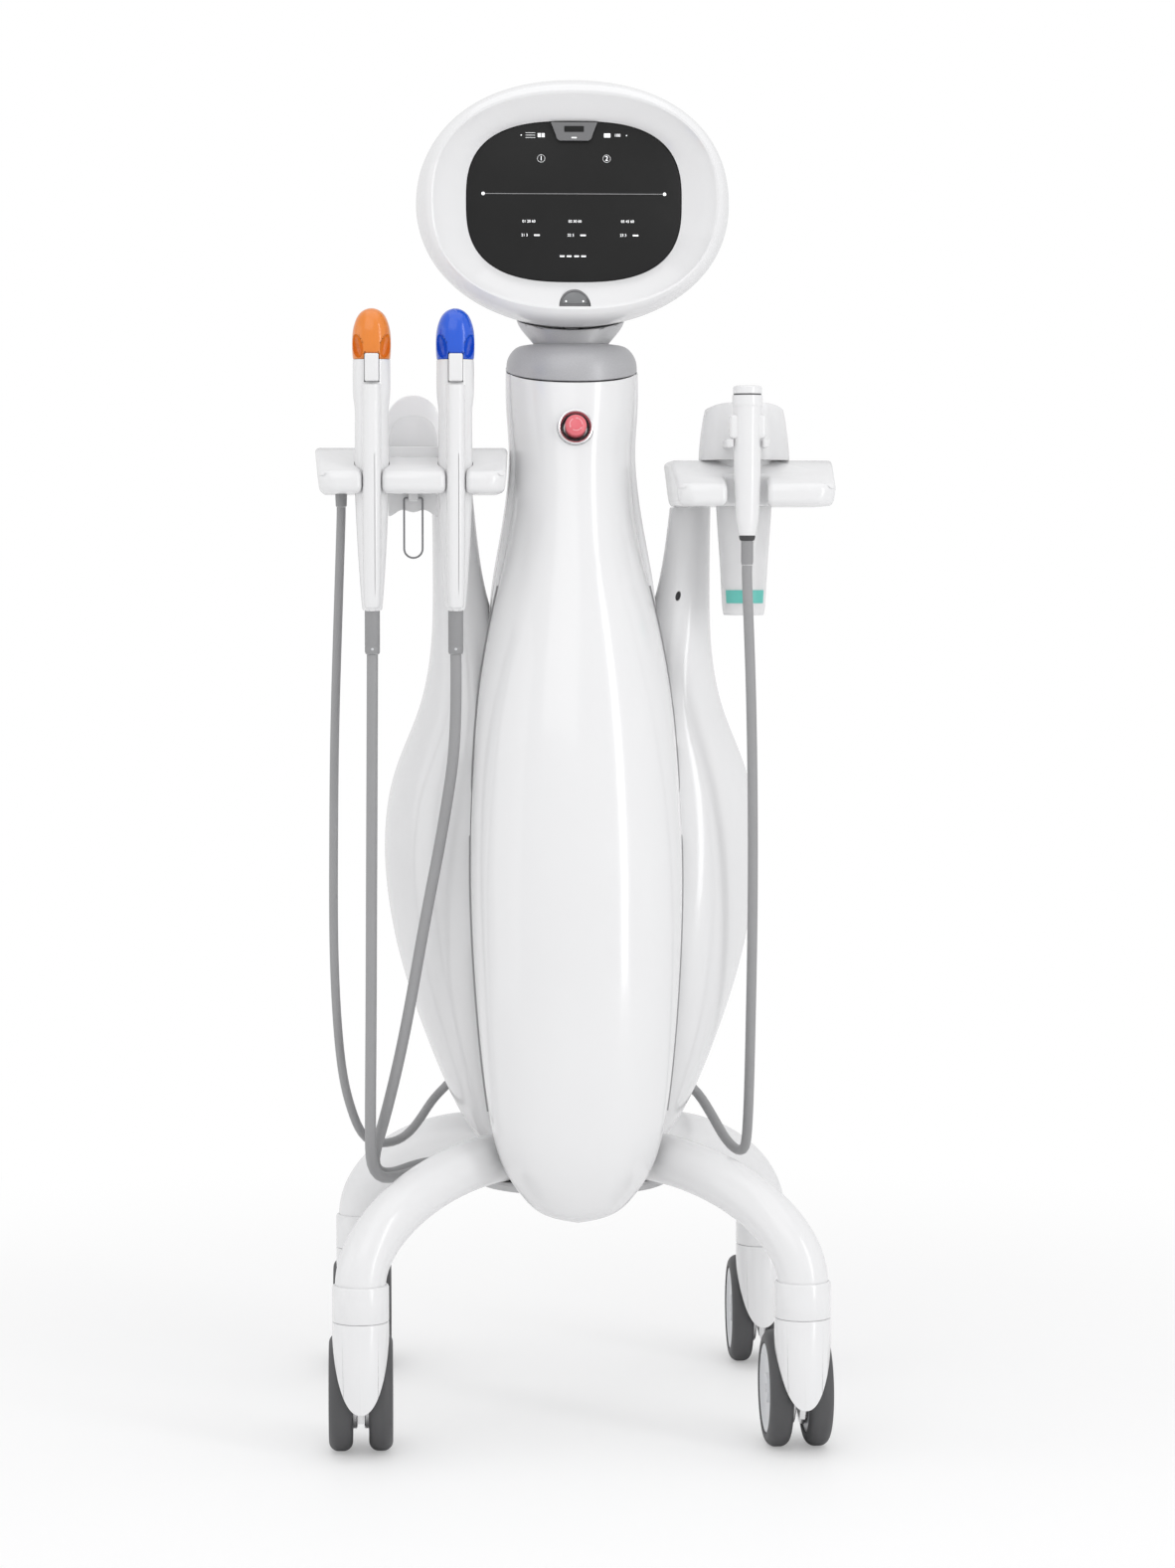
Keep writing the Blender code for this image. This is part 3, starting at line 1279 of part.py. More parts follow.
def make_neck():
    """The neck: a cup that follows the head's ball, a post with the hinge eye, and a spigot."""
    base = CAP_CREST + SEAT
    rings = [
        flat_oval(
            0, NECK_Y + (back * CUP_BACK - front * CUP_FRONT) / 2, base + (CUP_TOP - base) * rise,
            width * CUP_HALF_WIDTH, (back * CUP_BACK + front * CUP_FRONT) / 2, count=24,
        )
        for rise, width, front, back in CUP_SHARES
    ]
    neck = loft("neck", rings, SATIN_GREY)
    scale = (HEAD_HALF_HEIGHT + CUP_GAP) / HEAD_HALF_HEIGHT
    head_room = ball(
        "head room", (0, HEAD_PIVOT_Y, HEAD_Z),
        (HEAD_HALF_WIDTH * scale, HEAD_HALF_HEIGHT * scale, HEAD_HALF_HEIGHT * scale), SATIN_GREY, 40, 24,
    )
    cut(neck, head_room)
    foot = Vector((0, NECK_Y, CAP_CREST + SHELL * 3))
    pivot = Vector((0, HEAD_PIVOT_Y, HEAD_Z))
    lean = atan2(foot.y - pivot.y, pivot.z - foot.z)
    post = block(
        "neck post", (-POST_HALF, -POST_HALF, -(pivot - foot).length), (POST_HALF, POST_HALF, 0), SATIN_GREY,
    )
    post.data.transform(Matrix.Translation(pivot) @ Matrix.Rotation(lean, 4, "X"))
    eye_end, bore_end = Vector((EYE_HALF, 0, 0)), Vector((EYE_HALF + OVERRUN, 0, 0))
    eye = rod("neck eye", pivot - eye_end, pivot + eye_end, EYE_RADIUS, SATIN_GREY)
    spigot = rod(
        "neck spigot", (0, NECK_Y, SPIGOT_BOTTOM), (0, NECK_Y, base + SHELL), SPIGOT_RADIUS, SATIN_GREY,
    )
    join(neck, post, eye, spigot)
    bore = rod("neck bore", pivot - bore_end, pivot + bore_end, PIN_RADIUS + SEAT, SATIN_GREY, steps=16)
    cut(neck, bore)
    set_origin(neck, (0, NECK_Y, CAP_CREST))
    return lean


def head_ring(forward, width, height, power):
    return upright_oval(
        HEAD_WIDEST_Y - forward * BEZEL_DEPTH, width * HEAD_HALF_WIDTH, height * HEAD_HALF_HEIGHT, power,
    )


def sensor_outline(grow=0.0):
    """A half disc with its flat side down."""
    radius = SENSOR_RADIUS + grow
    bottom = HEAD_Z - SENSOR_DROP - grow
    steps = 12
    arc = [
        (radius * cos(pi * step / steps), bottom + (SENSOR_HEIGHT + 2 * grow) * sin(pi * step / steps))
        for step in range(steps + 1)
    ]
    return arc


def make_head(lean):
    bezel = loft("head_bezel", [head_ring(*row) for row in BEZEL_SHARES], WHITE, looped=True)
    front = HEAD_WIDEST_Y - SENSOR_FRONT
    sensor = prism("sensor_window", sensor_outline(), front, front + SENSOR_DEPTH, BLACK_PLASTIC)
    sensor_room = prism(
        "sensor room", sensor_outline(SEAT), front - OVERRUN * 3, front + SENSOR_DEPTH + OVERRUN, WHITE,
    )
    cut(bezel, sensor_room)

    rear_start = HEAD_WIDEST_Y + SEAM
    rings = [
        upright_oval(rear_start, HEAD_HALF_WIDTH, HEAD_HALF_HEIGHT),
        upright_oval(HEAD_PIVOT_Y, HEAD_HALF_WIDTH, HEAD_HALF_HEIGHT),
    ]
    for share in BACK_SHARES:
        height = sqrt(1 - share**2)
        rings.append(upright_oval(
            HEAD_PIVOT_Y + share * HEAD_HALF_HEIGHT, HEAD_HALF_WIDTH * height, HEAD_HALF_HEIGHT * height,
        ))
    for share, height in BACK_END_SHARES:
        rings.append(upright_oval(
            HEAD_PIVOT_Y + share * HEAD_HALF_HEIGHT, HEAD_HALF_WIDTH * height, HEAD_HALF_HEIGHT * height,
        ))
    rear = loft("head_rear_cover", rings, WHITE, capped=False)
    close_end(rear)
    solidify(rear, SHELL)
    margin = asin((POST_HALF + SHELL / 2) / (HEAD_HALF_HEIGHT - SHELL))
    low, high = lean - TILT_DOWN - margin, lean + TILT_BACK + margin
    steps = 6
    angles = [low + (high - low) * step / steps for step in range(steps + 1)]
    near, far = HEAD_HALF_HEIGHT * 0.9, HEAD_HALF_HEIGHT * 1.1
    fan = [(HEAD_PIVOT_Y + near * sin(angle), HEAD_Z - near * cos(angle)) for angle in angles]
    fan += [(HEAD_PIVOT_Y + far * sin(angle), HEAD_Z - far * cos(angle)) for angle in reversed(angles)]
    slot = prism("post slot", fan, -POST_HALF - SHELL / 2, POST_HALF + SHELL / 2, WHITE, axis="X")
    cut(rear, slot)
    slit_front, slit_back = HEAD_PIVOT_Y + HEAD_HALF_HEIGHT / 2, HEAD_PIVOT_Y + HEAD_HALF_HEIGHT + OVERRUN
    for step in range(REAR_SLIT_COUNT):
        level = HEAD_Z + REAR_SLIT_RISE + step * REAR_SLIT_PITCH
        slit = block(
            "rear slit", (-REAR_SLIT_HALF_LENGTH, slit_front, level - REAR_SLIT_HALF_HEIGHT),
            (REAR_SLIT_HALF_LENGTH, slit_back, level + REAR_SLIT_HALF_HEIGHT), WHITE,
        )
        cut(rear, slit)

    back = SCREEN_Y + SCREEN_THICKNESS
    display = loft("display_module", [
        upright_oval(SCREEN_Y, SCREEN_HALF_WIDTH, SCREEN_HALF_HEIGHT, SCREEN_POWER),
        upright_oval(back, SCREEN_HALF_WIDTH, SCREEN_HALF_HEIGHT, SCREEN_POWER),
    ], BLACK_GLASS)
    for side in (-1, 1):
        inner = side * (EYE_HALF + RUNNING)
        outer = side * (EYE_HALF + RUNNING + EAR_THICKNESS)
        steps = 10
        turns = [pi * (step / steps - 0.5) for step in range(steps + 1)]
        outline = [(HEAD_PIVOT_Y + EAR_RADIUS * cos(turn), HEAD_Z + EAR_RADIUS * sin(turn)) for turn in turns]
        outline += [(back - SHELL, HEAD_Z + EAR_RADIUS), (back - SHELL, HEAD_Z - EAR_RADIUS)]
        ear = prism("display ear", outline, inner, outer, BLACK_PLASTIC, axis="X")
        join(display, ear)
    pin_half = EYE_HALF + RUNNING * 3 + EAR_THICKNESS
    bore = rod(
        "ear bore", (-pin_half - OVERRUN, HEAD_PIVOT_Y, HEAD_Z), (pin_half + OVERRUN, HEAD_PIVOT_Y, HEAD_Z),
        PIN_RADIUS + SEAT, BLACK_PLASTIC, steps=16,
    )
    cut(display, bore)
    pin = rod(
        "tilt_pin", (-pin_half, HEAD_PIVOT_Y, HEAD_Z), (pin_half, HEAD_PIVOT_Y, HEAD_Z), PIN_RADIUS, STEEL,
        steps=16,
    )

    top = HEAD_Z + SCREEN_HALF_HEIGHT - SEAT * 2
    half_top = CAMERA_TOP_WIDTH / 2
    half_low = half_top - CAMERA_CORNER
    camera_outline = (
        (half_top, top),
        (half_low + CAMERA_CORNER / 3, top - CAMERA_HEIGHT + CAMERA_CORNER),
        (half_low - CAMERA_CORNER / 2, top - CAMERA_HEIGHT),
        (-half_low + CAMERA_CORNER / 2, top - CAMERA_HEIGHT),
        (-half_low - CAMERA_CORNER / 3, top - CAMERA_HEIGHT + CAMERA_CORNER),
        (-half_top, top),
    )
    camera = prism(
        "camera_module", camera_outline, SCREEN_Y - SEAT - CAMERA_THICKNESS, SCREEN_Y - SEAT, CLEAR_GREY,
    )
    for obj in (bezel, rear, display, sensor, camera, pin):
        set_origin(obj, (0, HEAD_PIVOT_Y, HEAD_Z))


def close_end(obj):
    """Close the small end of a dome, the ring with the highest y."""
    bm = bmesh.new()
    bm.from_mesh(obj.data)
    far = max(vert.co.y for vert in bm.verts) - MERGE
    ring = [edge for edge in bm.edges if edge.is_boundary and all(vert.co.y > far for vert in edge.verts)]
    bmesh.ops.contextual_create(bm, geom=ring)
    bmesh.ops.recalc_face_normals(bm, faces=bm.faces)
    bm.to_mesh(obj.data)
    bm.free()


# Emergency stop

def stop_axis():
    """The way that the button faces: to the front and a little up."""
    return Vector((0, -cos(STOP_TILT), sin(STOP_TILT)))


def stop_face():
    """Where the button's axis meets the front cover."""
    rows = smooth(POD_SHARES, 8)
    below, above = next(pair for pair in zip(rows, rows[1:]) if cover_level(pair[1][0]) >= STOP_Z)
    low, high = cover_level(below[0]), cover_level(above[0])
    reach = below[2] + (above[2] - below[2]) * (STOP_Z - low) / (high - low)
    return Vector((0, -reach * POD_REACH, STOP_Z))


def aim(obj, place, axis):
    obj.location = place
    obj.rotation_euler = axis.to_track_quat("Z", "Y").to_euler()


def make_stop():
    axis, face = stop_axis(), stop_face()
    collar = turned("stop_collar", (
        (BUTTON_STEM + RUNNING, -STOP_DEPTH),
        (STOP_RADIUS, -STOP_DEPTH),
        (STOP_RADIUS, STOP_PROUD - STOP_LIP / 2),
        (STOP_RADIUS - STOP_LIP / 2, STOP_PROUD),
        (STOP_RADIUS - STOP_LIP, STOP_PROUD),
        (STOP_BORE, STOP_PROUD - STOP_LIP * 2),
        (STOP_BORE, -BUTTON_TRAVEL - STOP_LIP),
        (BUTTON_STEM + RUNNING, -BUTTON_TRAVEL - STOP_LIP),
    )[::-1], STEEL, steps=24)
    aim(collar, face, axis)
    top = STOP_PROUD + BUTTON_HEIGHT / 2
    under = top - BUTTON_HEIGHT
    button = turned("stop_button", (
        (0, top + STOP_LIP / 2),
        (BUTTON_RADIUS * 0.6, top + STOP_LIP / 3),
        (BUTTON_RADIUS * 0.93, top - STOP_LIP / 2),
        (BUTTON_RADIUS, top - STOP_LIP),
        (BUTTON_RADIUS, under),
        (BUTTON_STEM, under),
        (BUTTON_STEM, -STOP_DEPTH + BUTTON_TRAVEL),
        (0, -STOP_DEPTH + BUTTON_TRAVEL),
    ), STOP_RED, steps=20)
    aim(button, face, axis)


# Trays and what stands on them

def tray_outline(level):
    """The tray's side view: front lip, sloped top, level back, flat underside."""
    depth = TRAY_FRONT + TRAY_BACK
    return [(-TRAY_FRONT + back * depth, level - drop * TRAY_HEIGHT) for back, drop in TRAY_OUTLINE_SHARES]


def drawn_in(value, middle, pull):
    """A value moved towards the middle, at most as far as the middle."""
    return value - copysign(min(pull, abs(value - middle)), value - middle)


def tray_bar(name, start, end, level):
    """The bar of a tray: its side view drawn along X, drawn in at both ends, which lean inward."""
    outline = tray_outline(level)
    middle_y = sum(y for y, z in outline) / len(outline)
    middle_z = level - TRAY_HEIGHT / 2
    rings = []
    for x, inset, side in (
        (start, 1, 1), (start + TRAY_END_LENGTH / 4, 0.4, 1), (start + TRAY_END_LENGTH, 0, 1),
        (end - TRAY_END_LENGTH, 0, -1), (end - TRAY_END_LENGTH / 4, 0.4, -1), (end, 1, -1),
    ):
        pull = inset * TRAY_END_INSET
        lean = side * TRAY_END_SLANT / TRAY_HEIGHT
        ring = [(drawn_in(y, middle_y, pull), drawn_in(z, middle_z, pull)) for y, z in outline]
        rings.append([(x + lean * (level - z), y, z) for y, z in ring])
    return loft(name, rings, WHITE)


def handpiece_ring(shares, x, grow=0.0):
    drop, width, depth = shares
    return flat_oval(
        x, HANDPIECE_Y, HANDPIECE_TOP - drop * HANDPIECE_LENGTH, width * HANDPIECE_HALF_WIDTH + grow,
        depth * HANDPIECE_HALF_DEPTH + grow, HANDPIECE_POWER,
    )


def keel_ring(shares, x):
    drop, width, reach = shares
    front = reach * KEEL_FRONT
    back = -HANDPIECE_HALF_DEPTH * 0.2
    return flat_oval(
        x, HANDPIECE_Y - (front + back) / 2, HANDPIECE_TOP - drop * HANDPIECE_LENGTH,
        width * KEEL_HALF_WIDTH, (front - back) / 2, KEEL_POWER, count=14,
    )


def make_left_tray():
    level = TRAY_LEVEL
    under = level - TRAY_HEIGHT
    tray = tray_bar("tray_left", -TRAY_OUTER, -TRAY_LEFT_INNER, level)
    ledge_top = level + LEDGE_RISE
    ledge = block(
        "tray ledge", (SKIRT_X - LEDGE_HALF_WIDTH, -LEDGE_FRONT, ledge_top - LEDGE_HEIGHT),
        (SKIRT_X + LEDGE_HALF_WIDTH, SEAM - CUP_REST_BACK, ledge_top), WHITE,
    )
    left, right = SKIRT_X - SKIRT_HALF_WIDTH, SKIRT_X + SKIRT_HALF_WIDTH
    steps = 12
    wave = []
    for step in range(steps + 1):
        turn = pi * step / steps
        rise = SKIRT_WAVE * ((1 - cos(4 * turn)) / 2 + sin(turn) ** 2)
        wave.append((left + (right - left) * step / steps, under - SKIRT_HEIGHT + rise))
    skirt_outline = wave + [(right, under + SHELL), (left, under + SHELL)]
    skirt = prism("tray skirt", skirt_outline, -SKIRT_FRONT, SKIRT_THICKNESS - SKIRT_FRONT, WHITE)
    lug = block(
        "bail lug", (SKIRT_X - LUG_HALF_WIDTH, -SKIRT_FRONT - LUG_DEPTH, under - LUG_HEIGHT),
        (SKIRT_X + LUG_HALF_WIDTH, -SKIRT_FRONT + SHELL, under + SHELL / 2), WHITE,
    )
    gland_place = (TRAY_GLAND_X, TRAY_GLAND_Y)
    gland = rod(
        "tray gland", (*gland_place, under + SHELL), (*gland_place, under - TRAY_GLAND_LENGTH),
        GLAND_RADIUS, WHITE, steps=16, end_radius=GLAND_RADIUS * 0.75,
    )
    join(tray, ledge, skirt, lug, gland)
    for x in HANDPIECE_X:
        pocket = loft("pocket", [handpiece_ring(row, x, POCKET_GAP) for row in HANDPIECE_SHARES[3:9]], WHITE)
        slot_half = KEEL_HALF_WIDTH + POCKET_GAP
        slot = block(
            "pocket slot", (x - slot_half, -TRAY_FRONT - OVERRUN, under - OVERRUN),
            (x + slot_half, HANDPIECE_Y, level + OVERRUN), WHITE,
        )
        cut(tray, pocket, slot)
    hole_end = LUG_HALF_WIDTH + OVERRUN
    lug_hole = rod(
        "lug hole", (SKIRT_X - hole_end, *bail_axis()), (SKIRT_X + hole_end, *bail_axis()), LUG_BORE, WHITE,
        steps=10,
    )
    cut(tray, lug_hole)
    return tray


def bail_axis():
    return -SKIRT_FRONT - LUG_DEPTH / 2, TRAY_LEVEL - TRAY_HEIGHT - LUG_HEIGHT / 2


def make_bail():
    """A wire loop whose two ends turn inwards into the lug."""
    y, z = bail_axis()
    pin_end = BAIL_LEG_X - BAIL_PIN
    corner = BAIL_WIRE * 2
    right = [(pin_end, 0), (BAIL_LEG_X - corner, 0), (BAIL_LEG_X, -corner)]
    drop = BAIL_LENGTH - BAIL_LEG_X
    steps = 8
    bow = [
        (BAIL_LEG_X * cos(pi * step / steps), -drop - BAIL_LEG_X * sin(pi * step / steps))
        for step in range(steps + 1)
    ]
    left = [(-x, rise) for x, rise in reversed(right)]
    points = [(SKIRT_X + x, y, z + rise) for x, rise in right + bow + left]
    bail = solid_tube("wire_bail", points, BAIL_WIRE, STEEL, resolution=1)
    set_origin(bail, (SKIRT_X, y, z))


def make_cup():
    """The white rest plate with the clear dome in front of it."""
    foot = TRAY_LEVEL + LEDGE_RISE + SEAT
    radius = CUP_REST_HALF_WIDTH
    shoulder = foot + CUP_REST_HEIGHT - radius
    turns = [pi * step / 12 for step in range(13)]
    arc = [(SKIRT_X + radius * cos(turn), shoulder + radius * sin(turn)) for turn in turns]
    outline = [(SKIRT_X - radius, foot), (SKIRT_X + radius, foot)] + arc
    front = -CUP_REST_BACK - CUP_REST_THICKNESS
    prism("cup_rest", outline, front, -CUP_REST_BACK, WHITE)
    back = front - SEAT
    centre = (SKIRT_X, back, foot)
    outside = Vector((DOME_HALF_WIDTH, DOME_DEPTH, DOME_HEIGHT))
    dome = ball("gel_dome", centre, outside, CLEAR_GREY, 24, 14)
    wall = Vector((DOME_WALL, DOME_WALL, DOME_WALL))
    inside = ball("dome inside", centre, outside - wall, CLEAR_GREY, 16, 10)
    keep = block(
        "dome quarter", (SKIRT_X - DOME_HALF_WIDTH * 2, back - DOME_DEPTH * 2, foot),
        (SKIRT_X + DOME_HALF_WIDTH * 2, back, foot + DOME_HEIGHT * 2), CLEAR_GREY,
    )
    cut(dome, inside)
    combine(dome, keep, "INTERSECT")


def make_handpiece(label, x, colour):
    """A large handpiece: oval body with a keel, trigger, strain relief and pull-off cartridge."""
    body = loft("handpiece_" + label, [handpiece_ring(row, x) for row in HANDPIECE_SHARES], WHITE)
    keel = loft("keel " + label, [keel_ring(row, x) for row in KEEL_SHARES], WHITE)
    foot = HANDPIECE_TOP - HANDPIECE_LENGTH
    socket_y = HANDPIECE_Y + SHELL
    relief = rod(
        "relief " + label, (x, HANDPIECE_Y, foot + RELIEF_RADIUS), (x, HANDPIECE_Y, foot - RELIEF_LENGTH),
        RELIEF_RADIUS, CABLE_GREY, steps=16, end_radius=RELIEF_TIP_RADIUS,
    )
    join(body, keel, relief)
    keel_top = HANDPIECE_TOP - KEEL_TOP_DROP
    trigger_front = HANDPIECE_Y - TRIGGER_FRONT
    trigger_back = trigger_front + TRIGGER_DEPTH
    room_half = TRIGGER_HALF_WIDTH + TRIGGER_GAP
    room_back = trigger_back + TRIGGER_TRAVEL + TRIGGER_GAP
    room = block(
        "trigger room " + label, (x - room_half, trigger_front - OVERRUN, keel_top),
        (x + room_half, room_back, HANDPIECE_TOP + OVERRUN), WHITE,
    )
    socket = rod(
        "plug socket " + label, (x, socket_y, HANDPIECE_TOP - PLUG_LENGTH - TRIGGER_GAP),
        (x, socket_y, HANDPIECE_TOP + OVERRUN), PLUG_RADIUS + SEAT, WHITE, steps=20,
    )
    cut(body, room, socket)
    set_origin(body, (x, HANDPIECE_Y, HANDPIECE_TOP))

    trigger = block(
        "trigger_" + label, (x - TRIGGER_HALF_WIDTH, trigger_front, keel_top + TRIGGER_GAP),
        (x + TRIGGER_HALF_WIDTH, trigger_back, HANDPIECE_TOP + TRIGGER_RISE), WHITE, bevel=SHELL / 2,
    )
    set_origin(trigger, (x, trigger_back, (keel_top + HANDPIECE_TOP) / 2))

    cartridge = loft("cartridge_" + label, [
        flat_oval(
            x, HANDPIECE_Y, CARTRIDGE_FOOT + rise * CARTRIDGE_HEIGHT,
            width * CARTRIDGE_HALF_WIDTH, depth * CARTRIDGE_HALF_DEPTH, HANDPIECE_POWER,
        )
        for rise, width, depth in CARTRIDGE_SHARES
    ], colour)
    plug = rod(
        "plug " + label, (x, socket_y, HANDPIECE_TOP - PLUG_LENGTH), (x, socket_y, CARTRIDGE_FOOT + OVERRUN),
        PLUG_RADIUS, colour, steps=20,
    )
    join(cartridge, plug)
    notch = block(
        "notch " + label,
        (x - room_half, HANDPIECE_Y - CARTRIDGE_HALF_DEPTH - OVERRUN, CARTRIDGE_FOOT - OVERRUN),
        (x + room_half, room_back, HANDPIECE_TOP + TRIGGER_RISE + TRIGGER_GAP), colour,
    )
    cut(cartridge, notch)
    hollow_y, hollow_z = HANDPIECE_Y - HOLLOW_FORWARD, CARTRIDGE_FOOT + HOLLOW_RISE
    for side in (-1, 1):
        hollow = ball(
            "hollow", (x + side * HOLLOW_HALF_SPACING, hollow_y, hollow_z),
            (HOLLOW_HALF_WIDTH, HOLLOW_HALF_DEPTH, HOLLOW_HALF_HEIGHT), colour, 12, 8,
        )
        cut(cartridge, hollow)
    set_origin(cartridge, (x, HANDPIECE_Y, CARTRIDGE_FOOT))


def make_slim_handpiece():
    place = (SLIM_X, SLIM_Y)
    body = loft("handpiece_slim", [
        flat_oval(*place, SLIM_BOTTOM + rise * SLIM_LENGTH, radius * SLIM_RADIUS, radius * SLIM_RADIUS)
        for rise, radius in SLIM_SHARES
    ], WHITE)
    wings = block(
        "slim wings", (SLIM_X - WING_REACH, SLIM_Y - WING_HALF_DEPTH, WING_BOTTOM),
        (SLIM_X + WING_REACH, SLIM_Y + WING_HALF_DEPTH, WING_BOTTOM + WING_HEIGHT), WHITE, bevel=SHELL,
    )
    relief = rod(
        "slim relief", (*place, SLIM_BOTTOM + SLIM_RELIEF_RADIUS), (*place, SLIM_BOTTOM - SLIM_RELIEF_LENGTH),
        SLIM_RELIEF_RADIUS, CABLE_GREY, steps=16, end_radius=SLIM_RELIEF_RADIUS * 0.92,
    )
    join(body, wings, relief)
    top = SLIM_BOTTOM + SLIM_LENGTH
    stem_room = rod(
        "slim socket", (*place, top - SLIM_CAP_STEM_LENGTH - RUNNING), (*place, top + OVERRUN),
        SLIM_CAP_STEM + SEAT, WHITE, steps=16,
    )
    cut(body, stem_room)
    set_origin(body, (*place, top))
    foot = SLIM_GROOVE
    radius = SLIM_RADIUS * 0.95
    tip = turned("slim_tip", (
        (0, foot + SLIM_CAP_HEIGHT),
        (radius * 0.82, foot + SLIM_CAP_HEIGHT),
        (radius, foot + SLIM_CAP_HEIGHT * 0.75),
        (radius, foot),
        (SLIM_CAP_STEM, foot),
        (SLIM_CAP_STEM, -SLIM_CAP_STEM_LENGTH),
        (0, -SLIM_CAP_STEM_LENGTH),
    ), WHITE, steps=20)
    tip.location = (*place, top)


def holster_ring(shares, wall=0.0):
    rise, width, depth = shares
    return flat_oval(
        HOLSTER_X, HOLSTER_Y, HOLSTER_BOTTOM + rise * HOLSTER_HEIGHT,
        width * HOLSTER_HALF_WIDTH - wall, depth * HOLSTER_HALF_DEPTH - wall, 2.2,
    )


def make_holster():
    """The clear gel holster: a cup through the tray, with a wide collar and two prongs in front."""
    rows = HOLSTER_LOWER_SHARES + HOLSTER_UPPER_SHARES
    holster = loft("gel_holster", [holster_ring(row) for row in rows], CLEAR_GREY)
    lower, upper = HOLSTER_LOWER_SHARES, HOLSTER_UPPER_SHARES
    floor_share = (HOLSTER_FLOOR / HOLSTER_HEIGHT, *lower[1][1:])
    rim_share = (1 + OVERRUN / HOLSTER_HEIGHT, *upper[-1][1:])
    flange_share = (upper[0][0] + HOLSTER_WALL / HOLSTER_HEIGHT, *upper[0][1:])
    inner_rows = (floor_share,) + lower[2:] + (flange_share,) + upper[1:] + (rim_share,)
    hollow = loft("holster hollow", [holster_ring(row, HOLSTER_WALL) for row in inner_rows], CLEAR_GREY)
    cut(holster, hollow)
    prong_top = WING_BOTTOM - SEAT
    prong_back = HOLSTER_Y - HOLSTER_HALF_DEPTH * 0.86
    for side in (-1, 1):
        near = SLIM_X + side * PRONG_HALF_GAP
        far = near + side * PRONG_THICKNESS
        prong = block(
            "holster prong", (min(near, far), prong_back - PRONG_REACH, prong_top - PRONG_HEIGHT),
            (max(near, far), prong_back, prong_top), CLEAR_GREY,
        )
        join(holster, prong)
    return holster


def make_right_tray():
    level = TRAY_LEVEL - TRAY_DROP
    tray = tray_bar("tray_right", TRAY_RIGHT_INNER, TRAY_OUTER, level)
    under = level - TRAY_HEIGHT
    neck = HOLSTER_LOWER_SHARES[-1]
    hole = loft("holster hole", [
        flat_oval(
            HOLSTER_X, HOLSTER_Y, height, neck[1] * HOLSTER_HALF_WIDTH + SEAT,
            neck[2] * HOLSTER_HALF_DEPTH + SEAT, 2.2,
        )
        for height in (under - OVERRUN, level + OVERRUN)
    ], WHITE)
    corner = SLOT_HALF_WIDTH / 3
    steps = 4
    slot_outline = [(SLIM_X + SLOT_HALF_WIDTH, -TRAY_FRONT - OVERRUN)]
    for side, turns in ((1, range(steps + 1)), (-1, range(steps, -1, -1))):
        for step in turns:
            turn = pi / 2 * step / steps
            slot_outline.append((
                SLIM_X + side * (SLOT_HALF_WIDTH - corner + corner * cos(turn)),
                -SLOT_BACK - corner + corner * sin(turn),
            ))
    slot_outline.append((SLIM_X - SLOT_HALF_WIDTH, -TRAY_FRONT - OVERRUN))
    slot = prism("tray slot", slot_outline, under - OVERRUN, level + OVERRUN, WHITE, axis="Z")
    cut(tray, hole, slot)
    return tray


def make_cable(name, route, thickness):
    points = even_points(route, thickness * CABLE_STEP)
    return tube(name, points, thickness / 2, CABLE_GREY, resolution=1)


def build():
    corners = (
        ("front_left", -1, -1, 0.0), ("front_right", 1, -1, CASTER_TURN),
        ("rear_left", -1, 1, 0.0), ("rear_right", 1, 1, 0.0),
    )
    for label, side_x, side_y, turn in corners:
        make_leg("leg_" + label, side_x, side_y)
        make_caster(label, side_x, side_y, turn)
    make_base_plate()

    leg_holes = [leg_hole(side_x, side_y) for _, side_x, side_y, _ in corners]
    rooms = [pod_cutter(), column_cutter()]
    make_front_cover(leg_holes[:2])
    make_rear_cover(leg_holes)
    make_side_cover("side_cover_left", -1, PETAL_TOP, rooms + [leg_holes[0], leg_holes[2]])
    make_side_cover("side_cover_right", 1, PETAL_TOP - TRAY_DROP, rooms + [leg_holes[1], leg_holes[3]])
    make_stop()

    make_spine()
    make_power_supply()
    make_driver_board()
    make_fan()
    make_inlet()

    make_neck_cap()
    lean = make_neck()
    make_head(lean)

    make_left_tray()
    make_right_tray()
    make_bail()
    make_cup()
    make_handpiece("orange", HANDPIECE_X[0], ORANGE)
    make_handpiece("blue", HANDPIECE_X[1], BLUE)
    make_slim_handpiece()
    make_holster()

    make_cable("cable_orange", ORANGE_ROUTE, CABLE)
    make_cable("cable_blue", BLUE_ROUTE, CABLE)
    make_cable("cable_tray", TRAY_ROUTE, TRAY_CABLE)
    make_cable("cable_slim", SLIM_ROUTE, SLIM_CABLE)


build()
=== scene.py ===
"""Looks of the focused ultrasound machine: its finishes, fine surfaces and cables.

Metres, +Z up, and the screen looks along -Y. Places are written about the centre of the four caster
stems, and each finished piece is moved by SHIFT into the frame.
"""

from math import asin, atan2, copysign, cos, pi, radians, sin, sqrt

import bmesh
import bpy
import numpy as np
from mathutils import Matrix, Vector


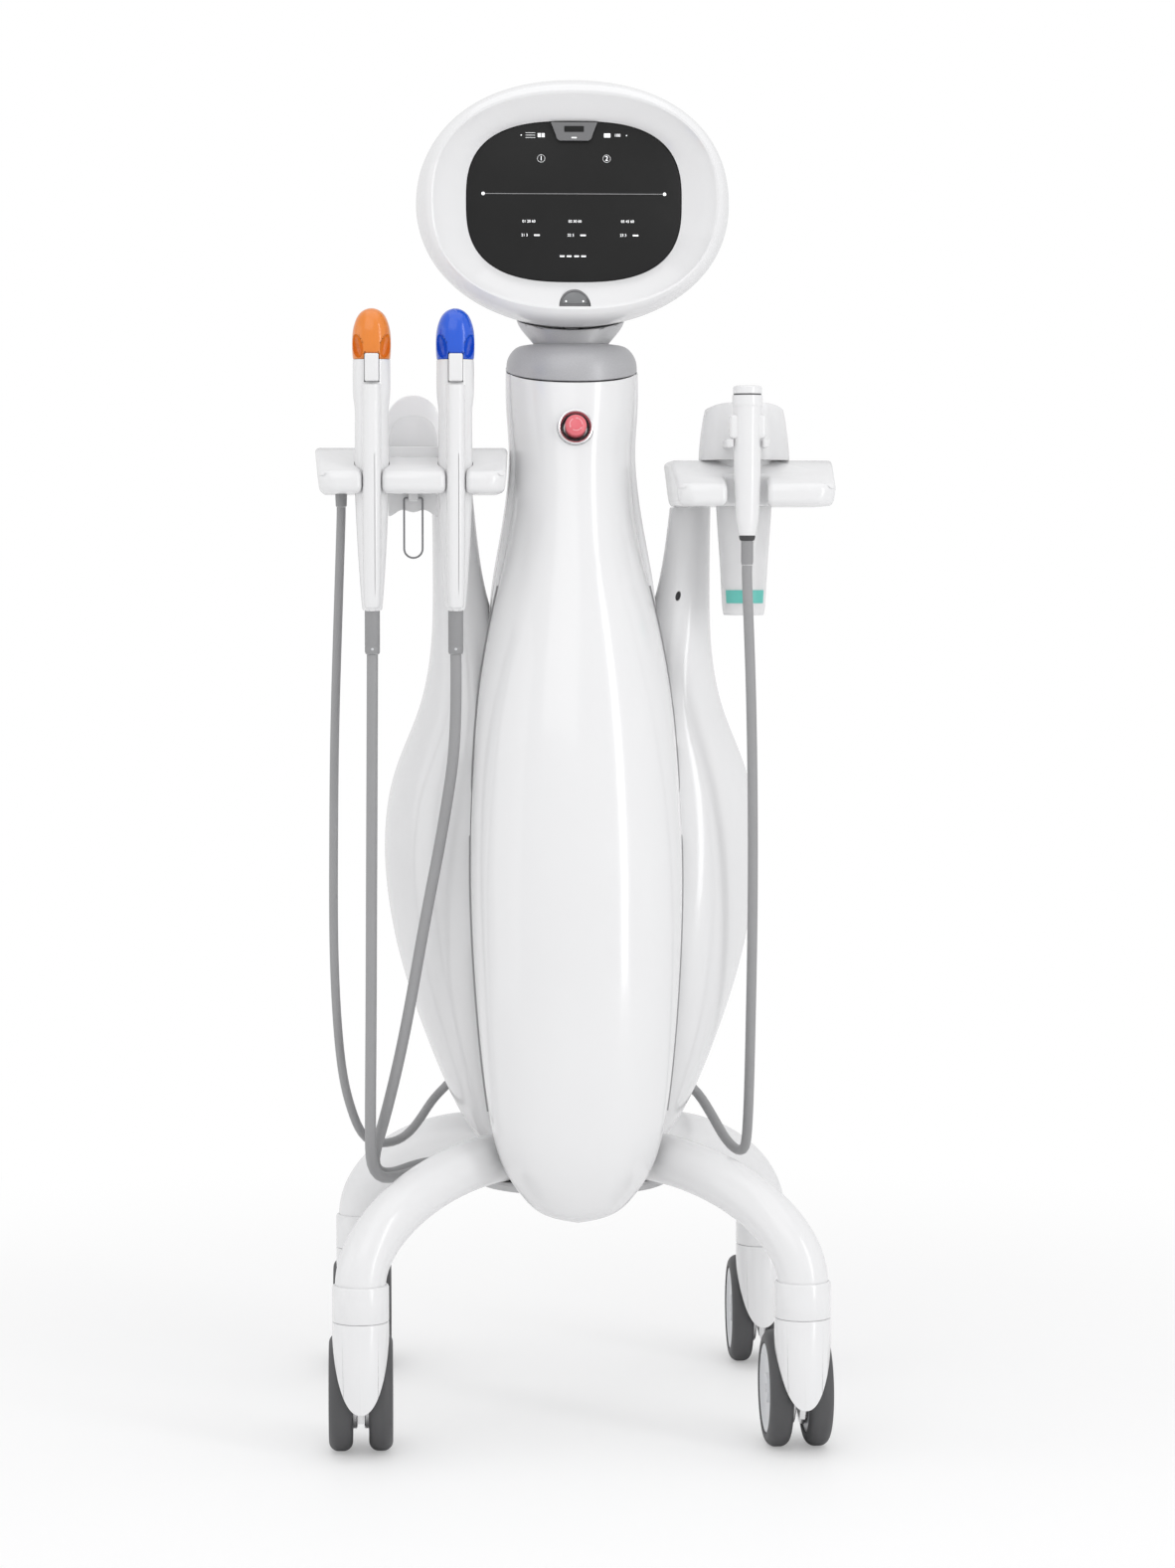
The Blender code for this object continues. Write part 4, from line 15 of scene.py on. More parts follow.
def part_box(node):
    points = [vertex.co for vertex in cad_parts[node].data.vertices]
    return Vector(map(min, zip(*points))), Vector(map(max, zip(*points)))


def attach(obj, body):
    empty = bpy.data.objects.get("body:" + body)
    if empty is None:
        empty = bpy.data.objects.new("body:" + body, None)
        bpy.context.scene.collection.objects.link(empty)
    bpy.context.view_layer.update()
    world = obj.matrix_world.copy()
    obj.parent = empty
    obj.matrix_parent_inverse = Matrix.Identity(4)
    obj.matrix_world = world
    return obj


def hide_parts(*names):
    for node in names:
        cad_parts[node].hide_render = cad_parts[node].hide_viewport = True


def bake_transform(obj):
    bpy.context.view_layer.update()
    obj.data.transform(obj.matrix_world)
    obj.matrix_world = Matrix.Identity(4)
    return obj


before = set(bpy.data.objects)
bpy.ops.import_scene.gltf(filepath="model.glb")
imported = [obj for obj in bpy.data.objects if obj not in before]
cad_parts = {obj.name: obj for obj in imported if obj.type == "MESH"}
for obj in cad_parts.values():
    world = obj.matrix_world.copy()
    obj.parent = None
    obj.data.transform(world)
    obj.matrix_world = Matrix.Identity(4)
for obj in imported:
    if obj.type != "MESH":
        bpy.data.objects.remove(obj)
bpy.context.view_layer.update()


def middle(node):
    low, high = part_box(node)
    return (low + high) / 2


# Fits and edges
WELD = 0.000002
SEAT = 0.0003
FIT = 0.0005
SEAM = 0.0006
SHELL = 0.003
OVER = 0.006
BORE_REACH = 0.02
EDGE = 0.0008
LIP = 0.004

# Camera
CAMERA_DISTANCE = 3.65
CAMERA_LEVEL = 0.7624
CAMERA_SIDE = radians(2.7)
CAMERA_TURN = radians(-2.92)
CAMERA_DROP = radians(3.271)
CAMERA_LENS = 94.95
CAMERA_SENSOR = 36

# Casters and legs
STEM_SPACING = 0.374
TRAIL = 0.042
WHEEL_RADIUS = 0.050
WHEEL_OUTSIDE = 0.0273
WHEEL_INSIDE = 0.0068
DISC_RADIUS = 0.0385
FLANGE_RADIUS = 0.031
HOOD_RADIUS = 0.024
HOOD_TOP = 0.1117
HOOD_TIP = 0.0357
WEB_HALF = 0.0025
BOSS_RADIUS = 0.012
AXLE_RADIUS = 0.004
STEM_RADIUS = 0.0055
LEG_RADIUS = 0.0215
LEG_ROOT = 0.050
LEG_HOLE_POINTS = 22
STEM_REACH = STEM_SPACING / 2 * sqrt(2)
TYRE_SHOULDER = 0.0084
AXLE_HALF = WHEEL_OUTSIDE - 0.0012
FLANGE_INSIDE = 0.0030
WHEEL_ROOM_SHARE = 0.93
FLANGE_ROOM_SHARE = 0.8
# Across the wheel's disc: radius, depth behind its outer face
DISC_FACE = (
    (AXLE_RADIUS + SEAT, 0.001), (0.0095, 0.001), (0.0105, 0.0004), (0.0120, 0.0004), (0.0130, 0.0022),
    (0.0300, 0.0022), (0.0325, 0.0006), (DISC_RADIUS - EDGE, 0), (DISC_RADIUS - SEAT, EDGE),
)
LEG_STRAIGHT = 0.090
LEG_CREST = 0.232
LEG_POWER = 1.85
COLLAR_FOOT = 0.1120
COLLAR_HEIGHT = 0.031
COLLAR_LIP = 0.0022
PLATE_RADIUS = 0.092
OUTLET_HEIGHT = 0.012
OUTLET_NEAR = -0.0865
OUTLET_FAR = -0.1125
OUTLET_HALF_DEPTH = 0.024
BUSH_Y = 0.012
BUSH_LEVEL = 0.2165
BUSH_LENGTH = 0.0023
BUSH_RADIUS = 0.0060
BUSH_TIP_RADIUS = 0.0054
PLATE_THICKNESS = 0.010
PLATE_TOP = LEG_CREST - LEG_RADIUS - SEAT
SHIFT = Vector((0, middle("base_plate").y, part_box("base_plate")[1].z - OUTLET_HEIGHT - PLATE_TOP))
WHEEL_LEVEL = WHEEL_RADIUS - SHIFT.z

# Covers
COVER_TOP = 0.917
POD_HALF_WIDTH = 0.0915
POD_REACH = 0.182
POD_POWER = 2.2
COLUMN_REACH = 0.125
COLUMN_TURN_SHARE = 0.25
SLOPE = 0.198
SLOPE_START_SHARE = 0.90
PETAL_TOP = 0.8082
PETAL_REACH = 0.165
PETAL_DEPTH = 0.098
POD_DROP = 0.0495
POD_FOOT = LEG_CREST - POD_DROP
# From the foot up: height, half width, reach of the front, reach of the rim, lap behind the rim
POD_SHARES = (
    (0.0, 0.0, 0.659, 0.659, 0.0), (0.01, 0.328, 0.753, 0.632, -0.05), (0.034, 0.546, 0.83, 0.607, -0.1),
    (0.08, 0.749, 0.907, 0.58, -0.12), (0.16, 0.874, 0.967, 0.533, -0.12),
    (0.268, 0.956, 0.999, 0.47, -0.12), (0.397, 1.0, 0.986, 0.401, -0.12),
    (0.514, 0.976, 0.915, 0.341, -0.1), (0.623, 0.907, 0.802, 0.288, 0.0),
    (0.725, 0.76, 0.668, 0.236, 0.12), (0.806, 0.623, 0.541, 0.19, 0.22),
    (0.889, 0.568, 0.435, 0.146, 0.28), (0.95, 0.599, 0.378, 0.115, 0.3), (1.0, 0.612, 0.336, 0.096, 0.3),
)
# Half width and reach of the back, from the pod's fourth row up
COLUMN_SHARES = (
    (0.541, 0.76), (0.607, 0.864), (0.65, 0.976), (0.678, 1.0), (0.732, 0.92), (0.792, 0.78),
    (0.781, 0.608), (0.68, 0.508), (0.601, 0.466), (0.623, 0.462), (0.628, 0.466),
)
# Height, middle across, half width, middle in depth, half depth
PETAL_SHARES = (
    (0.0, 0.339, 0.121, 0.0, 0.347), (0.066, 0.406, 0.215, 0.031, 0.582),
    (0.179, 0.482, 0.309, 0.102, 0.816), (0.308, 0.53, 0.403, 0.179, 0.959),
    (0.447, 0.545, 0.455, 0.204, 1.0), (0.569, 0.536, 0.418, 0.184, 0.903),
    (0.665, 0.524, 0.303, 0.138, 0.704), (0.76, 0.552, 0.203, 0.082, 0.449),
    (0.864, 0.603, 0.138, 0.046, 0.267), (1.0, 0.636, 0.109, 0.041, 0.199),
)
# Dark beads along the pod's seams, as painted shade of the seam gap: lowest and highest level, radius, how
# far they stand out
SEAM_SHADE_FOOT = 0.272
SEAM_SHADE_TOP = 0.732
SEAM_SHADE_RADIUS = 0.0009
SEAM_SHADE_PROUD = 0.0005
GLAND_ROOT = (0.0935, 0.0640, 0.2975)
GLAND_AXIS = (0.5515, 0.4513, -0.7015)
GLAND_RADIUS = 0.0085
GLAND_LENGTH = 0.014
RECESS_HALF_WIDTH = 0.031
RECESS_FOOT = 0.262
RECESS_TOP = 0.338
RECESS_FLOOR = 0.084
INLET_HALF_WIDTH = 0.0208
INLET_MARGIN = 0.008
LOUVRE_LEVELS = tuple(0.445 + (step - 3) * 0.011 for step in range(7))
LOUVRE_HALF_WIDTH = 0.030
LOUVRE_HALF_HEIGHT = 0.0022
LOUVRE_ROUND = 0.0018
SCREW_PLACE = (0.0925, 0, 0.720)
SCREW_TURN = radians(14)
SCREW_ENDS = (-0.0195, -0.0178)
SCREW_HOLE_ENDS = (-0.034, -0.018)
SCREW_RADIUS = 0.0040

# Neck and head
NECK_Y = 0.010
CAP_HALF_WIDTH = 0.0573
CAP_HALF_DEPTH = 0.0597
CAP_CREST = 0.9405
CAP_CREST_RADIUS = 0.037
SPIGOT_RADIUS = 0.0205
SPIGOT_FOOT = 0.870
CUP_HALF_WIDTH = 0.050
CUP_FRONT = 0.0215
CUP_BACK = 0.056
CUP_TOP = 0.990
CUP_GAP = 0.0019
CUP_FIT = 0.0012
# Height, half width, reach of the front, reach of the back
CUP_SHARES = (
    (0.0, 0.65, 1.0, 0.43), (0.18, 0.8, 0.99, 0.54), (0.4, 0.94, 0.97, 0.67), (0.7, 0.99, 0.96, 0.87),
    (1.0, 1.0, 0.95, 1.0),
)
POST_HALF = 0.0055
EYE_HALF = 0.006
EYE_RADIUS = 0.011
PIN_RADIUS = 0.004
PIN_HALF = EYE_HALF + 0.0065
EAR_RADIUS = 0.010
EAR_THICKNESS = 0.005
HEAD_Z = 1.0615
HEAD_HALF_WIDTH = 0.1365
HEAD_HALF_HEIGHT = 0.1068
PIVOT_Y = -0.005
WIDEST_Y = -0.023
BEZEL_DEPTH = 0.042
SCREEN_Y = -0.044
SCREEN_HALF_WIDTH = 0.09314
SCREEN_HALF_HEIGHT = 0.06892
SCREEN_THICKNESS = 0.010
SCREEN_POWER = 2.8
TILT_BACK = radians(20)
TILT_DOWN = radians(8)
BACK_TURN = radians(50)
# Back from the pivot and width, shares of the head's half height and size
BACK_END_SHARES = ((0.820, 0.480), (0.845, 0.290), (0.8515, 0.120), (0.852, 0.010))
SLIT_LEVELS = tuple(HEAD_Z + 0.018 + step * 0.010 for step in range(4))
SLIT_HALF_WIDTH = 0.032
SLIT_HALF_HEIGHT = 0.0017
SLIT_ROUND = 0.0014
# Forward, half width, half height, power of the oval
RING_SHARES = (
    (0.0, 1.0, 1.0, 2.1), (0.45, 0.984, 0.98, 2.2), (0.84, 0.952, 0.94, 2.28), (1.0, 0.912, 0.878, 2.33),
)
DISH_SHARES = (
    (0.99, 0.897, 0.858, 2.36), (0.84, 0.84, 0.786, 2.48), (0.66, 0.752, 0.7, 2.62),
    (0.52, 0.686, 0.65, 2.8),
)
UNDER_SHARES = (
    (0.34, 0.686, 0.65, 2.8), (0.5, 0.752, 0.7, 2.6), (0.7, 0.848, 0.796, 2.45), (0.66, 0.924, 0.896, 2.3),
    (0.36, 0.956, 0.944, 2.25), (0.0, 0.978, 0.972, 2.1),
)
SENSOR_RADIUS = 0.0134
SENSOR_HEIGHT = 0.0148
SENSOR_DROP = 0.0910
SENSOR_FRONT = 0.0345
SENSOR_DEPTH = 0.018
SENSOR_RIM = 0.0019
SENSOR_EYE_X = 0.0074
SENSOR_EYE_DROP = 0.0865
SENSOR_EYE_RADIUS = 0.0007
CAMERA_HALF_WIDTH = 0.02025
CAMERA_HEIGHT = 0.0160
CAMERA_CORNER = 0.0045
CAMERA_ROUND = 0.0007
CAMERA_FRONT = SCREEN_Y - SEAT - 0.0032
# Half width, low and high edge below the camera cover's top, how far it stands proud, round
LENS = (0.0088, 0.0088, 0.0032, SEAT, 0.0009)
DASH = (0.0022, 0.0139, 0.0130, SEAT / 2, 0.0001)

# Marks on the screen: in front of the glass, and places by shares of its half width and half height
MARK_BACK = 0.00005
MARK_MIDDLE = 0.0002
MARK_FRONT = 0.00025
MARK_HALF_DEPTH = 0.0001
DOT_FRONT = 0.00030
LINE_HALF = 0.00012
LINE_HALF_WIDTH = 0.0775
LINE_RISE = 0.100
LINE_END = 0.845
LINE_DOT = 0.0014
CIRCLE_PLACE = (0.305, 0.540)
CIRCLE_RADIUS = 0.0031
CIRCLE_LINE = 0.00018
CIRCLE_FIGURE = 0.0056
BAR_RISE = 0.830
BAR_END = 0.49
BAR_DOT = 0.0005
MENU_PLACES = ((-0.405, BAR_RISE - 0.030), (-0.405, BAR_RISE), (-0.405, BAR_RISE + 0.030))
MENU_HALF_WIDTH = 0.0042
TILE_X = (-0.323, -0.287)
TILE_RISES = (BAR_RISE - 0.014, BAR_RISE + 0.014)
TILE_HALF_SIZES = (0.0013, 0.0007)
CHARGE_X = 0.31
CHARGE_HALF_SIZES = (0.0027, 0.0017)
CHARGE_FIGURE_X = 0.405
CHARGE_FIGURE = 0.0036
READING_ROWS = ((-0.42, "01 20 60", "21 3"), (0.01, "02 30 60", "22 3"), (0.50, "03 45 60", "23 3"))
READING_SIZE = 0.0032
READING_RISES = (-0.245, -0.418)
READING_SHIFT = -0.04
UNIT_SHIFT = 0.075
UNIT_HALF_SIZES = (0.0024, 0.0006)
STATE_PLACES = ((-0.11, -0.680), (-0.045, -0.680), (0.025, -0.680), (0.09, -0.680))
STATE_HALF_SIZES = (0.0020, 0.0006)

# Emergency stop
STOP_Z = 0.866
STOP_TILT = radians(13)
STOP_RADIUS = 0.0155
STOP_PROUD = 0.0035
STOP_DEPTH = 0.024
STOP_BORE = 0.0110
STOP_LIP = 0.0022
STOP_FLOOR = -0.0062
WELL_FOOT = -0.0055
WELL_GAP = 0.0002
WELL_WALL = 0.0004
BUTTON_RADIUS = 0.0093
BUTTON_HEIGHT = 0.0085
BUTTON_STEM = 0.0060
BUTTON_FOOT = -STOP_DEPTH + 0.004
ARROW_RADIUS = BUTTON_RADIUS * 0.58
ARROW_ARC = radians(75)
ARROW_LINE = 0.0004
ARROW_HEAD = 0.002
ARROW_HEAD_RADII = (0.0010, 0.00005)

# Trays
TRAY_OUTER = 0.225
TRAY_LEFT_INNER = 0.0575
TRAY_RIGHT_INNER = 0.0825
TRAY_LEVEL = 0.8485
TRAY_DROP = 0.0105
TRAY_FRONT = 0.118
TRAY_BACK = 0.026
TRAY_HEIGHT = 0.040
# Back from the front edge, down from the top
TRAY_SHARES = (
    (0.006, 0.94), (0.0, 0.62), (0.03, 0.52), (0.4, 0.06), (0.45, 0.0), (0.98, 0.0), (1.0, 0.1), (1.0, 0.7),
    (0.96, 1.0), (0.06, 1.0),
)
TRAY_FACET = 0.005
TRAY_END_SLANT = 0.005
TRAY_ROUND = 0.0046
KEEL_ROOM = 0.0004
LUG_HOLE = 0.0013
SKIRT_X = -0.13975
SKIRT_HALF_WIDTH = 0.0215
SKIRT_HEIGHT = 0.019
SKIRT_WAVE = 0.0035
SKIRT_FRONT = 0.046
SKIRT_THICKNESS = 0.005
LUG_HALF_WIDTH = 0.0042
LUG_HEIGHT = 0.0060
LUG_DEPTH = 0.006
LEDGE_HALF_WIDTH = 0.0235
LEDGE_FRONT = 0.0775
LEDGE_RISE = 0.0008
LEDGE_HEIGHT = 0.014
TRAY_GLAND = (-0.2020, -0.070)
TRAY_GLAND_LENGTH = 0.011
BAIL_LEG_X = 0.0080
BAIL_WIRE = 0.00085
BAIL_LENGTH = 0.052
BAIL_PIN = 0.0070
REST_HALF_WIDTH = 0.0229
REST_HEIGHT = 0.0445
REST_THICKNESS = 0.005
REST_BACK = 0.045
DOME_HALF_WIDTH = 0.0212
DOME_HEIGHT = 0.027
DOME_DEPTH = 0.0245
DOME_WALL = 0.0014
DOME_POWER = 2.6
# Half width, depth and height of the room that the dome's quarter is kept in
QUARTER_SIZES = (0.05, 0.05, 0.06)

# Large handpieces
HANDPIECE_X = {"orange": -0.1755, "blue": -0.1040}
HANDPIECE_Y = -0.094
HANDPIECE_TOP = 0.9225
HANDPIECE_LENGTH = 0.216
HANDPIECE_HALF_WIDTH = 0.0160
HANDPIECE_HALF_DEPTH = 0.0176
HANDPIECE_POWER = 2.3
KEEL_HALF_WIDTH = 0.0082
KEEL_FRONT = 0.0275
KEEL_TOP_DROP = 0.0195
KEEL_POWER = 2.8
SEAM_NEAR = 0.0022
SEAM_FAR = 0.0026
SEAM_LOW = 0.722
SEAM_HIGH = 0.842
STUD_HALF_SIZES = (0.0012, 0.0005, 0.0012)
RELIEF_RADIUS = 0.0065
RELIEF_TIP_RADIUS = 0.0057
RELIEF_LENGTH = 0.0352
TRIGGER_HALF_WIDTH = 0.0060
TRIGGER_RISE = 0.0048
TRIGGER_FRONT = 0.0240
TRIGGER_DEPTH = 0.0120
TRIGGER_ROOM = 0.0020
TRIGGER_GAP = 0.0005
CARTRIDGE_HEIGHT = 0.0435
CARTRIDGE_HALF_WIDTH = 0.0165
CARTRIDGE_HALF_DEPTH = 0.0182
PLUG_RADIUS = 0.0085
PLUG_LENGTH = 0.009
HOLLOW_HALF_SIZES = (0.0052, 0.0088, 0.0102)
HOLLOW_PLACE = (0.0125, -0.0130, 0.0112)
HOLLOW_TURN = radians(15)
# Down from the top, half width, half depth or reach
HANDPIECE_SHARES = (
    (1.0, 0.3, 0.28), (0.988, 0.47, 0.45), (0.95, 0.585, 0.57), (0.72, 0.79, 0.77), (0.5, 0.91, 0.825),
    (0.36, 0.912, 0.87), (0.27, 0.905, 0.955), (0.19, 0.915, 0.99), (0.13, 1.0, 1.0), (0.0, 1.0, 1.0),
)
KEEL_SHARES = (
    (0.993, 0.3, 0.33), (0.978, 0.68, 0.43), (0.94, 0.88, 0.54), (0.72, 1.0, 0.88), (0.5, 1.0, 0.985),
    (0.3, 1.0, 1.0), (0.1, 1.0, 0.95),
)
# Up from the foot, half width, half depth
CARTRIDGE_SHARES = (
    (0.0, 0.96, 0.96), (0.17, 1.0, 1.0), (0.48, 0.99, 0.985), (0.7, 0.88, 0.88), (0.86, 0.69, 0.69),
    (0.96, 0.41, 0.41), (1.0, 0.13, 0.13),
)

# Slim handpiece and gel holster
SLIM_X = 0.1455
SLIM_Y = -0.108
SLIM_FOOT = 0.7728
SLIM_LENGTH = 0.1197
SLIM_RADIUS = 0.0130
SLIM_RELIEF_RADIUS = 0.0052
SLIM_RELIEF_LENGTH = 0.0250
WING_REACH = 0.0155
WING_HALF_DEPTH = 0.0075
WING_FOOT = 0.8553
WING_HEIGHT = 0.0205
# Shares of the strain relief's radius, and heights above the body's foot
SLIM_COLLAR = ((1.12, 0), (1.12, -0.0015), (1, -0.003))
SLIM_SOCKET = ((1, 0.0002), (1.3, 0.0002), (1.35, -0.0012), (1.2, -0.0040), (1, -0.0046))
TIP_HEIGHT = 0.0070
TIP_STEM = 0.006
TIP_SOCKET = 0.0065
TIP_GROOVE = 0.0012
# Up from the foot, radius
SLIM_SHARES = (
    (0.0, 0.54), (0.06, 0.65), (0.135, 0.755), (0.31, 0.845), (0.52, 0.89), (0.73, 0.908), (0.9, 0.94),
    (0.93, 1.0), (1.0, 1.0),
)
SLOT_HALF_WIDTH = 0.0175
SLOT_BACK = 0.090
HOLSTER_X = 0.148
HOLSTER_Y = -0.047
HOLSTER_FOOT = 0.705
HOLSTER_HEIGHT = 0.183
HOLSTER_HALF_WIDTH = 0.0395
HOLSTER_HALF_DEPTH = 0.030
HOLSTER_WALL = 0.0025
HOLSTER_FLOOR = 0.004
HOLSTER_POWER = 2.2
HOLSTER_FALL = 0.0065
BAND_LOW = 0.7137
BAND_HIGH = 0.7267
BAND_REACH = 0.86
BAND_FACES = (0.0006, 0.0001)
PRONG_REACH = 0.044
PRONG_HALF_GAP = 0.0126
PRONG_THICKNESS = 0.0060
PRONG_HEIGHT = 0.0070
PRONG_ROUND = 0.0014
# Up from the foot, half width, half depth
HOLSTER_LOWER_SHARES = (
    (0.0, 0.4, 0.49), (0.025, 0.47, 0.59), (0.25, 0.53, 0.69), (0.5, 0.608, 0.79), (0.7275, 0.612, 0.8),
)
HOLSTER_UPPER_SHARES = (
    (0.7285, 1.0, 1.0), (0.79, 0.985, 0.975), (0.9, 0.93, 0.905), (0.98, 0.88, 0.835), (1.0, 0.865, 0.815),
)

# Cables: body that the top end rides on, thickness, real length and route
CABLES = {
    "orange": ("handpiece_orange", 0.0098, 0.540, (
        (-0.1755, -0.0940, 0.6710), (-0.1756, -0.0940, 0.6500), (-0.1762, -0.0936, 0.5600),
        (-0.1769, -0.0922, 0.4600), (-0.1776, -0.0886, 0.3600), (-0.1783, -0.0822, 0.2850),
        (-0.1784, -0.0760, 0.2470), (-0.1768, -0.0690, 0.2270), (-0.1705, -0.0590, 0.2155),
        (-0.1610, -0.0460, 0.2118), (-0.1480, -0.0310, 0.2120), (-0.1340, -0.0175, 0.2148),
        (-0.1230, -0.0122, 0.2164), (-0.1152, -0.0120, 0.2165),
    )),
    "blue": ("handpiece_blue", 0.0098, 0.552, (
        (-0.1040, -0.0940, 0.6710), (-0.1038, -0.0942, 0.6500), (-0.1052, -0.0950, 0.5970),
        (-0.1110, -0.0955, 0.5490), (-0.1195, -0.0950, 0.5000), (-0.1310, -0.0920, 0.4400),
        (-0.1430, -0.0860, 0.3730), (-0.1545, -0.0760, 0.3150), (-0.1665, -0.0620, 0.2650),
        (-0.1738, -0.0500, 0.2370), (-0.1745, -0.0390, 0.2215), (-0.1680, -0.0245, 0.2130),
        (-0.1560, -0.0085, 0.2110), (-0.1410, 0.0060, 0.2138), (-0.1250, 0.0118, 0.2164),
        (-0.1152, 0.0120, 0.2165),
    )),
    "tray": ("frame", 0.0078, 0.706, (
        (-0.2020, -0.0700, 0.7972), (-0.2024, -0.0700, 0.7800), (-0.2052, -0.0660, 0.7000),
        (-0.2084, -0.0560, 0.6000), (-0.2098, -0.0450, 0.5000), (-0.2096, -0.0340, 0.4000),
        (-0.2046, -0.0200, 0.3150), (-0.1962, -0.0080, 0.2700), (-0.1840, 0.0040, 0.2415),
        (-0.1660, 0.0180, 0.2330), (-0.1490, 0.0330, 0.2365), (-0.1360, 0.0530, 0.2470),
        (-0.1265, 0.0700, 0.2585), (-0.1190, 0.0788, 0.2670), (-0.1125, 0.0793, 0.2736),
        (-0.1073, 0.0753, 0.2800), (-0.1019, 0.0708, 0.2869),
    )),
    "slim": ("handpiece_slim", 0.0088, 0.670, (
        (0.1455, -0.1080, 0.7472), (0.1457, -0.1080, 0.7300), (0.1490, -0.1050, 0.6500),
        (0.1518, -0.0960, 0.5500), (0.1532, -0.0830, 0.4500), (0.1536, -0.0650, 0.3600),
        (0.1540, -0.0440, 0.2880), (0.1538, -0.0280, 0.2480), (0.1525, -0.0130, 0.2310),
        (0.1475, 0.0050, 0.2270), (0.1395, 0.0280, 0.2335), (0.1320, 0.0520, 0.2460),
        (0.1250, 0.0700, 0.2580), (0.1187, 0.0788, 0.2670), (0.1125, 0.0793, 0.2736),
        (0.1073, 0.0753, 0.2800), (0.1019, 0.0708, 0.2869),
    )),
}


# Finishes

class Wire:
    """A socket of a finish. A sum or a product with it adds a Math node."""

    def __init__(self, finish, socket):
        self.finish, self.socket = finish, socket

    def math(self, operation, first, second):
        return self.finish.node("Math", {"operation": operation}, {0: first, 1: second})

    def __add__(self, other):
        return self.math("ADD", self, other)

    def __mul__(self, other):
        return self.math("MULTIPLY", self, other)


class Finish:
    """A procedural material on a Principled shader."""

    def __init__(self, name, **constants):
        self.material = bpy.data.materials.new(name)
        self.material.use_nodes = True
        self.tree = self.material.node_tree
        self.shader = self.tree.nodes["Principled BSDF"]
        self.place = self.node("TexCoord", output="Object")
        for key, value in constants.items():
            self.shader.inputs[key.replace("_", " ")].default_value = value

    def node(self, kind, settings=(), inputs=(), output=0):
        """A node with its settings, the values or wires of its inputs, and one output read."""
        made = self.tree.nodes.new("ShaderNode" + kind)
        for key, value in dict(settings).items():
            if key == "stops":
                for index, (place, tone) in enumerate(value):
                    stop = made.color_ramp.elements[index]
                    stop.position, stop.color = place, (tone, tone, tone, 1)
            else:
                setattr(made, key, value)
        self.feed(made, inputs)
        return Wire(self, made.outputs[output])

    def feed(self, node, inputs):
        for key, value in dict(inputs).items():
            if isinstance(value, Wire):
                self.tree.links.new(value.socket, node.inputs[key])
            else:
                node.inputs[key].default_value = value

    def noise(self, scale, detail, place=None):
        inputs = {"Vector": place or self.place, "Scale": scale, "Detail": detail}
        return self.node("TexNoise", inputs=inputs, output="Fac")

    def ramp(self, wire, low, high):
        return self.node("ValToRGB", {"stops": ((low, 0.0), (high, 1.0))}, {"Fac": wire}, "Color")

    def blend(self, share, first, second):
        return self.node("Mix", {"data_type": "RGBA"}, {0: share, 6: first, 7: second}, 2)

    def bump(self, height, distance, strength):
        inputs = {"Height": height, "Distance": distance, "Strength": strength}
        self.feed(self.shader, {"Normal": self.node("Bump", inputs=inputs, output="Normal")})

    def paint(self, **inputs):
        self.feed(self.shader, {key.replace("_", " "): value for key, value in inputs.items()})
        return self.material


def shade(colour, share):
    return (*(part * share for part in colour), 1)


def moulded(name, colour, roughness, peel=0.00002, **constants):
    """Glossy moulded plastic: faint cloud in its colour and a fine orange peel."""
    finish = Finish(name, **constants)
    cloud = finish.noise(14, 3)
    grain = finish.noise(900, 1)
    finish.bump(grain, peel, 0.5)
    return finish.paint(
        Base_Color=finish.blend(cloud, shade(colour, 0.97), shade(colour, 1.0)),
        Roughness=cloud * 0.05 + grain * 0.02 + (roughness - 0.035),
    )


def textured(name, colour, roughness, height, grain_scale, hollow_shade=0.75):
    """Rubber or textured plastic: a fine grain, its hollows darkened with painted shade and its tops
    lightened with painted light.
    """
    finish = Finish(name)
    grain = finish.noise(grain_scale, 3)
    cloud = finish.noise(25, 2)
    finish.bump(grain, height, 0.6)
    # Painted shade and light on the grain: darker where its bump is low, lighter where it is high.
    tone = finish.blend(grain, shade(colour, hollow_shade), shade(colour, 1.12))
    return finish.paint(
        Base_Color=finish.blend(cloud * 0.35, tone, shade(colour, 1.3)),
        Roughness=grain * 0.12 + cloud * 0.08 + (roughness - 0.1),
    )


def metal(name, colour, roughness):
    """Bare metal with fine lines across its Z axis."""
    finish = Finish(name, Metallic=1.0)
    drawn_out = finish.node("Mapping", inputs={"Vector": finish.place, "Scale": (4, 4, 900)}, output="Vector")
    lines = finish.noise(1, 2, drawn_out)
    cloud = finish.noise(60, 2)
    finish.bump(lines, 0.00001, 0.4)
    return finish.paint(
        Base_Color=finish.blend(lines, shade(colour, 0.85), shade(colour, 1.08)),
        Roughness=lines * 0.12 + cloud * 0.06 + (roughness - 0.09),
    )


def lacquer(name, colour, roughness):
    """Silver-grey lacquer with fine metal flake."""
    finish = Finish(name, Metallic=0.15, Coat_Weight=0.15, Coat_Roughness=0.15)
    flake = finish.node("TexVoronoi", {"feature": "F1"}, {"Vector": finish.place, "Scale": 2600.0}, "Color")
    cloud = finish.noise(18, 2)
    grain = finish.noise(1500, 1)
    finish.bump(grain, 0.00001, 0.4)
    tint = finish.blend(flake, shade(colour, 0.90), shade(colour, 1.10))
    return finish.paint(
        Base_Color=finish.blend(cloud * 0.3, tint, shade(colour, 0.92)),
        Roughness=grain * 0.10 + cloud * 0.05 + (roughness - 0.07),
    )


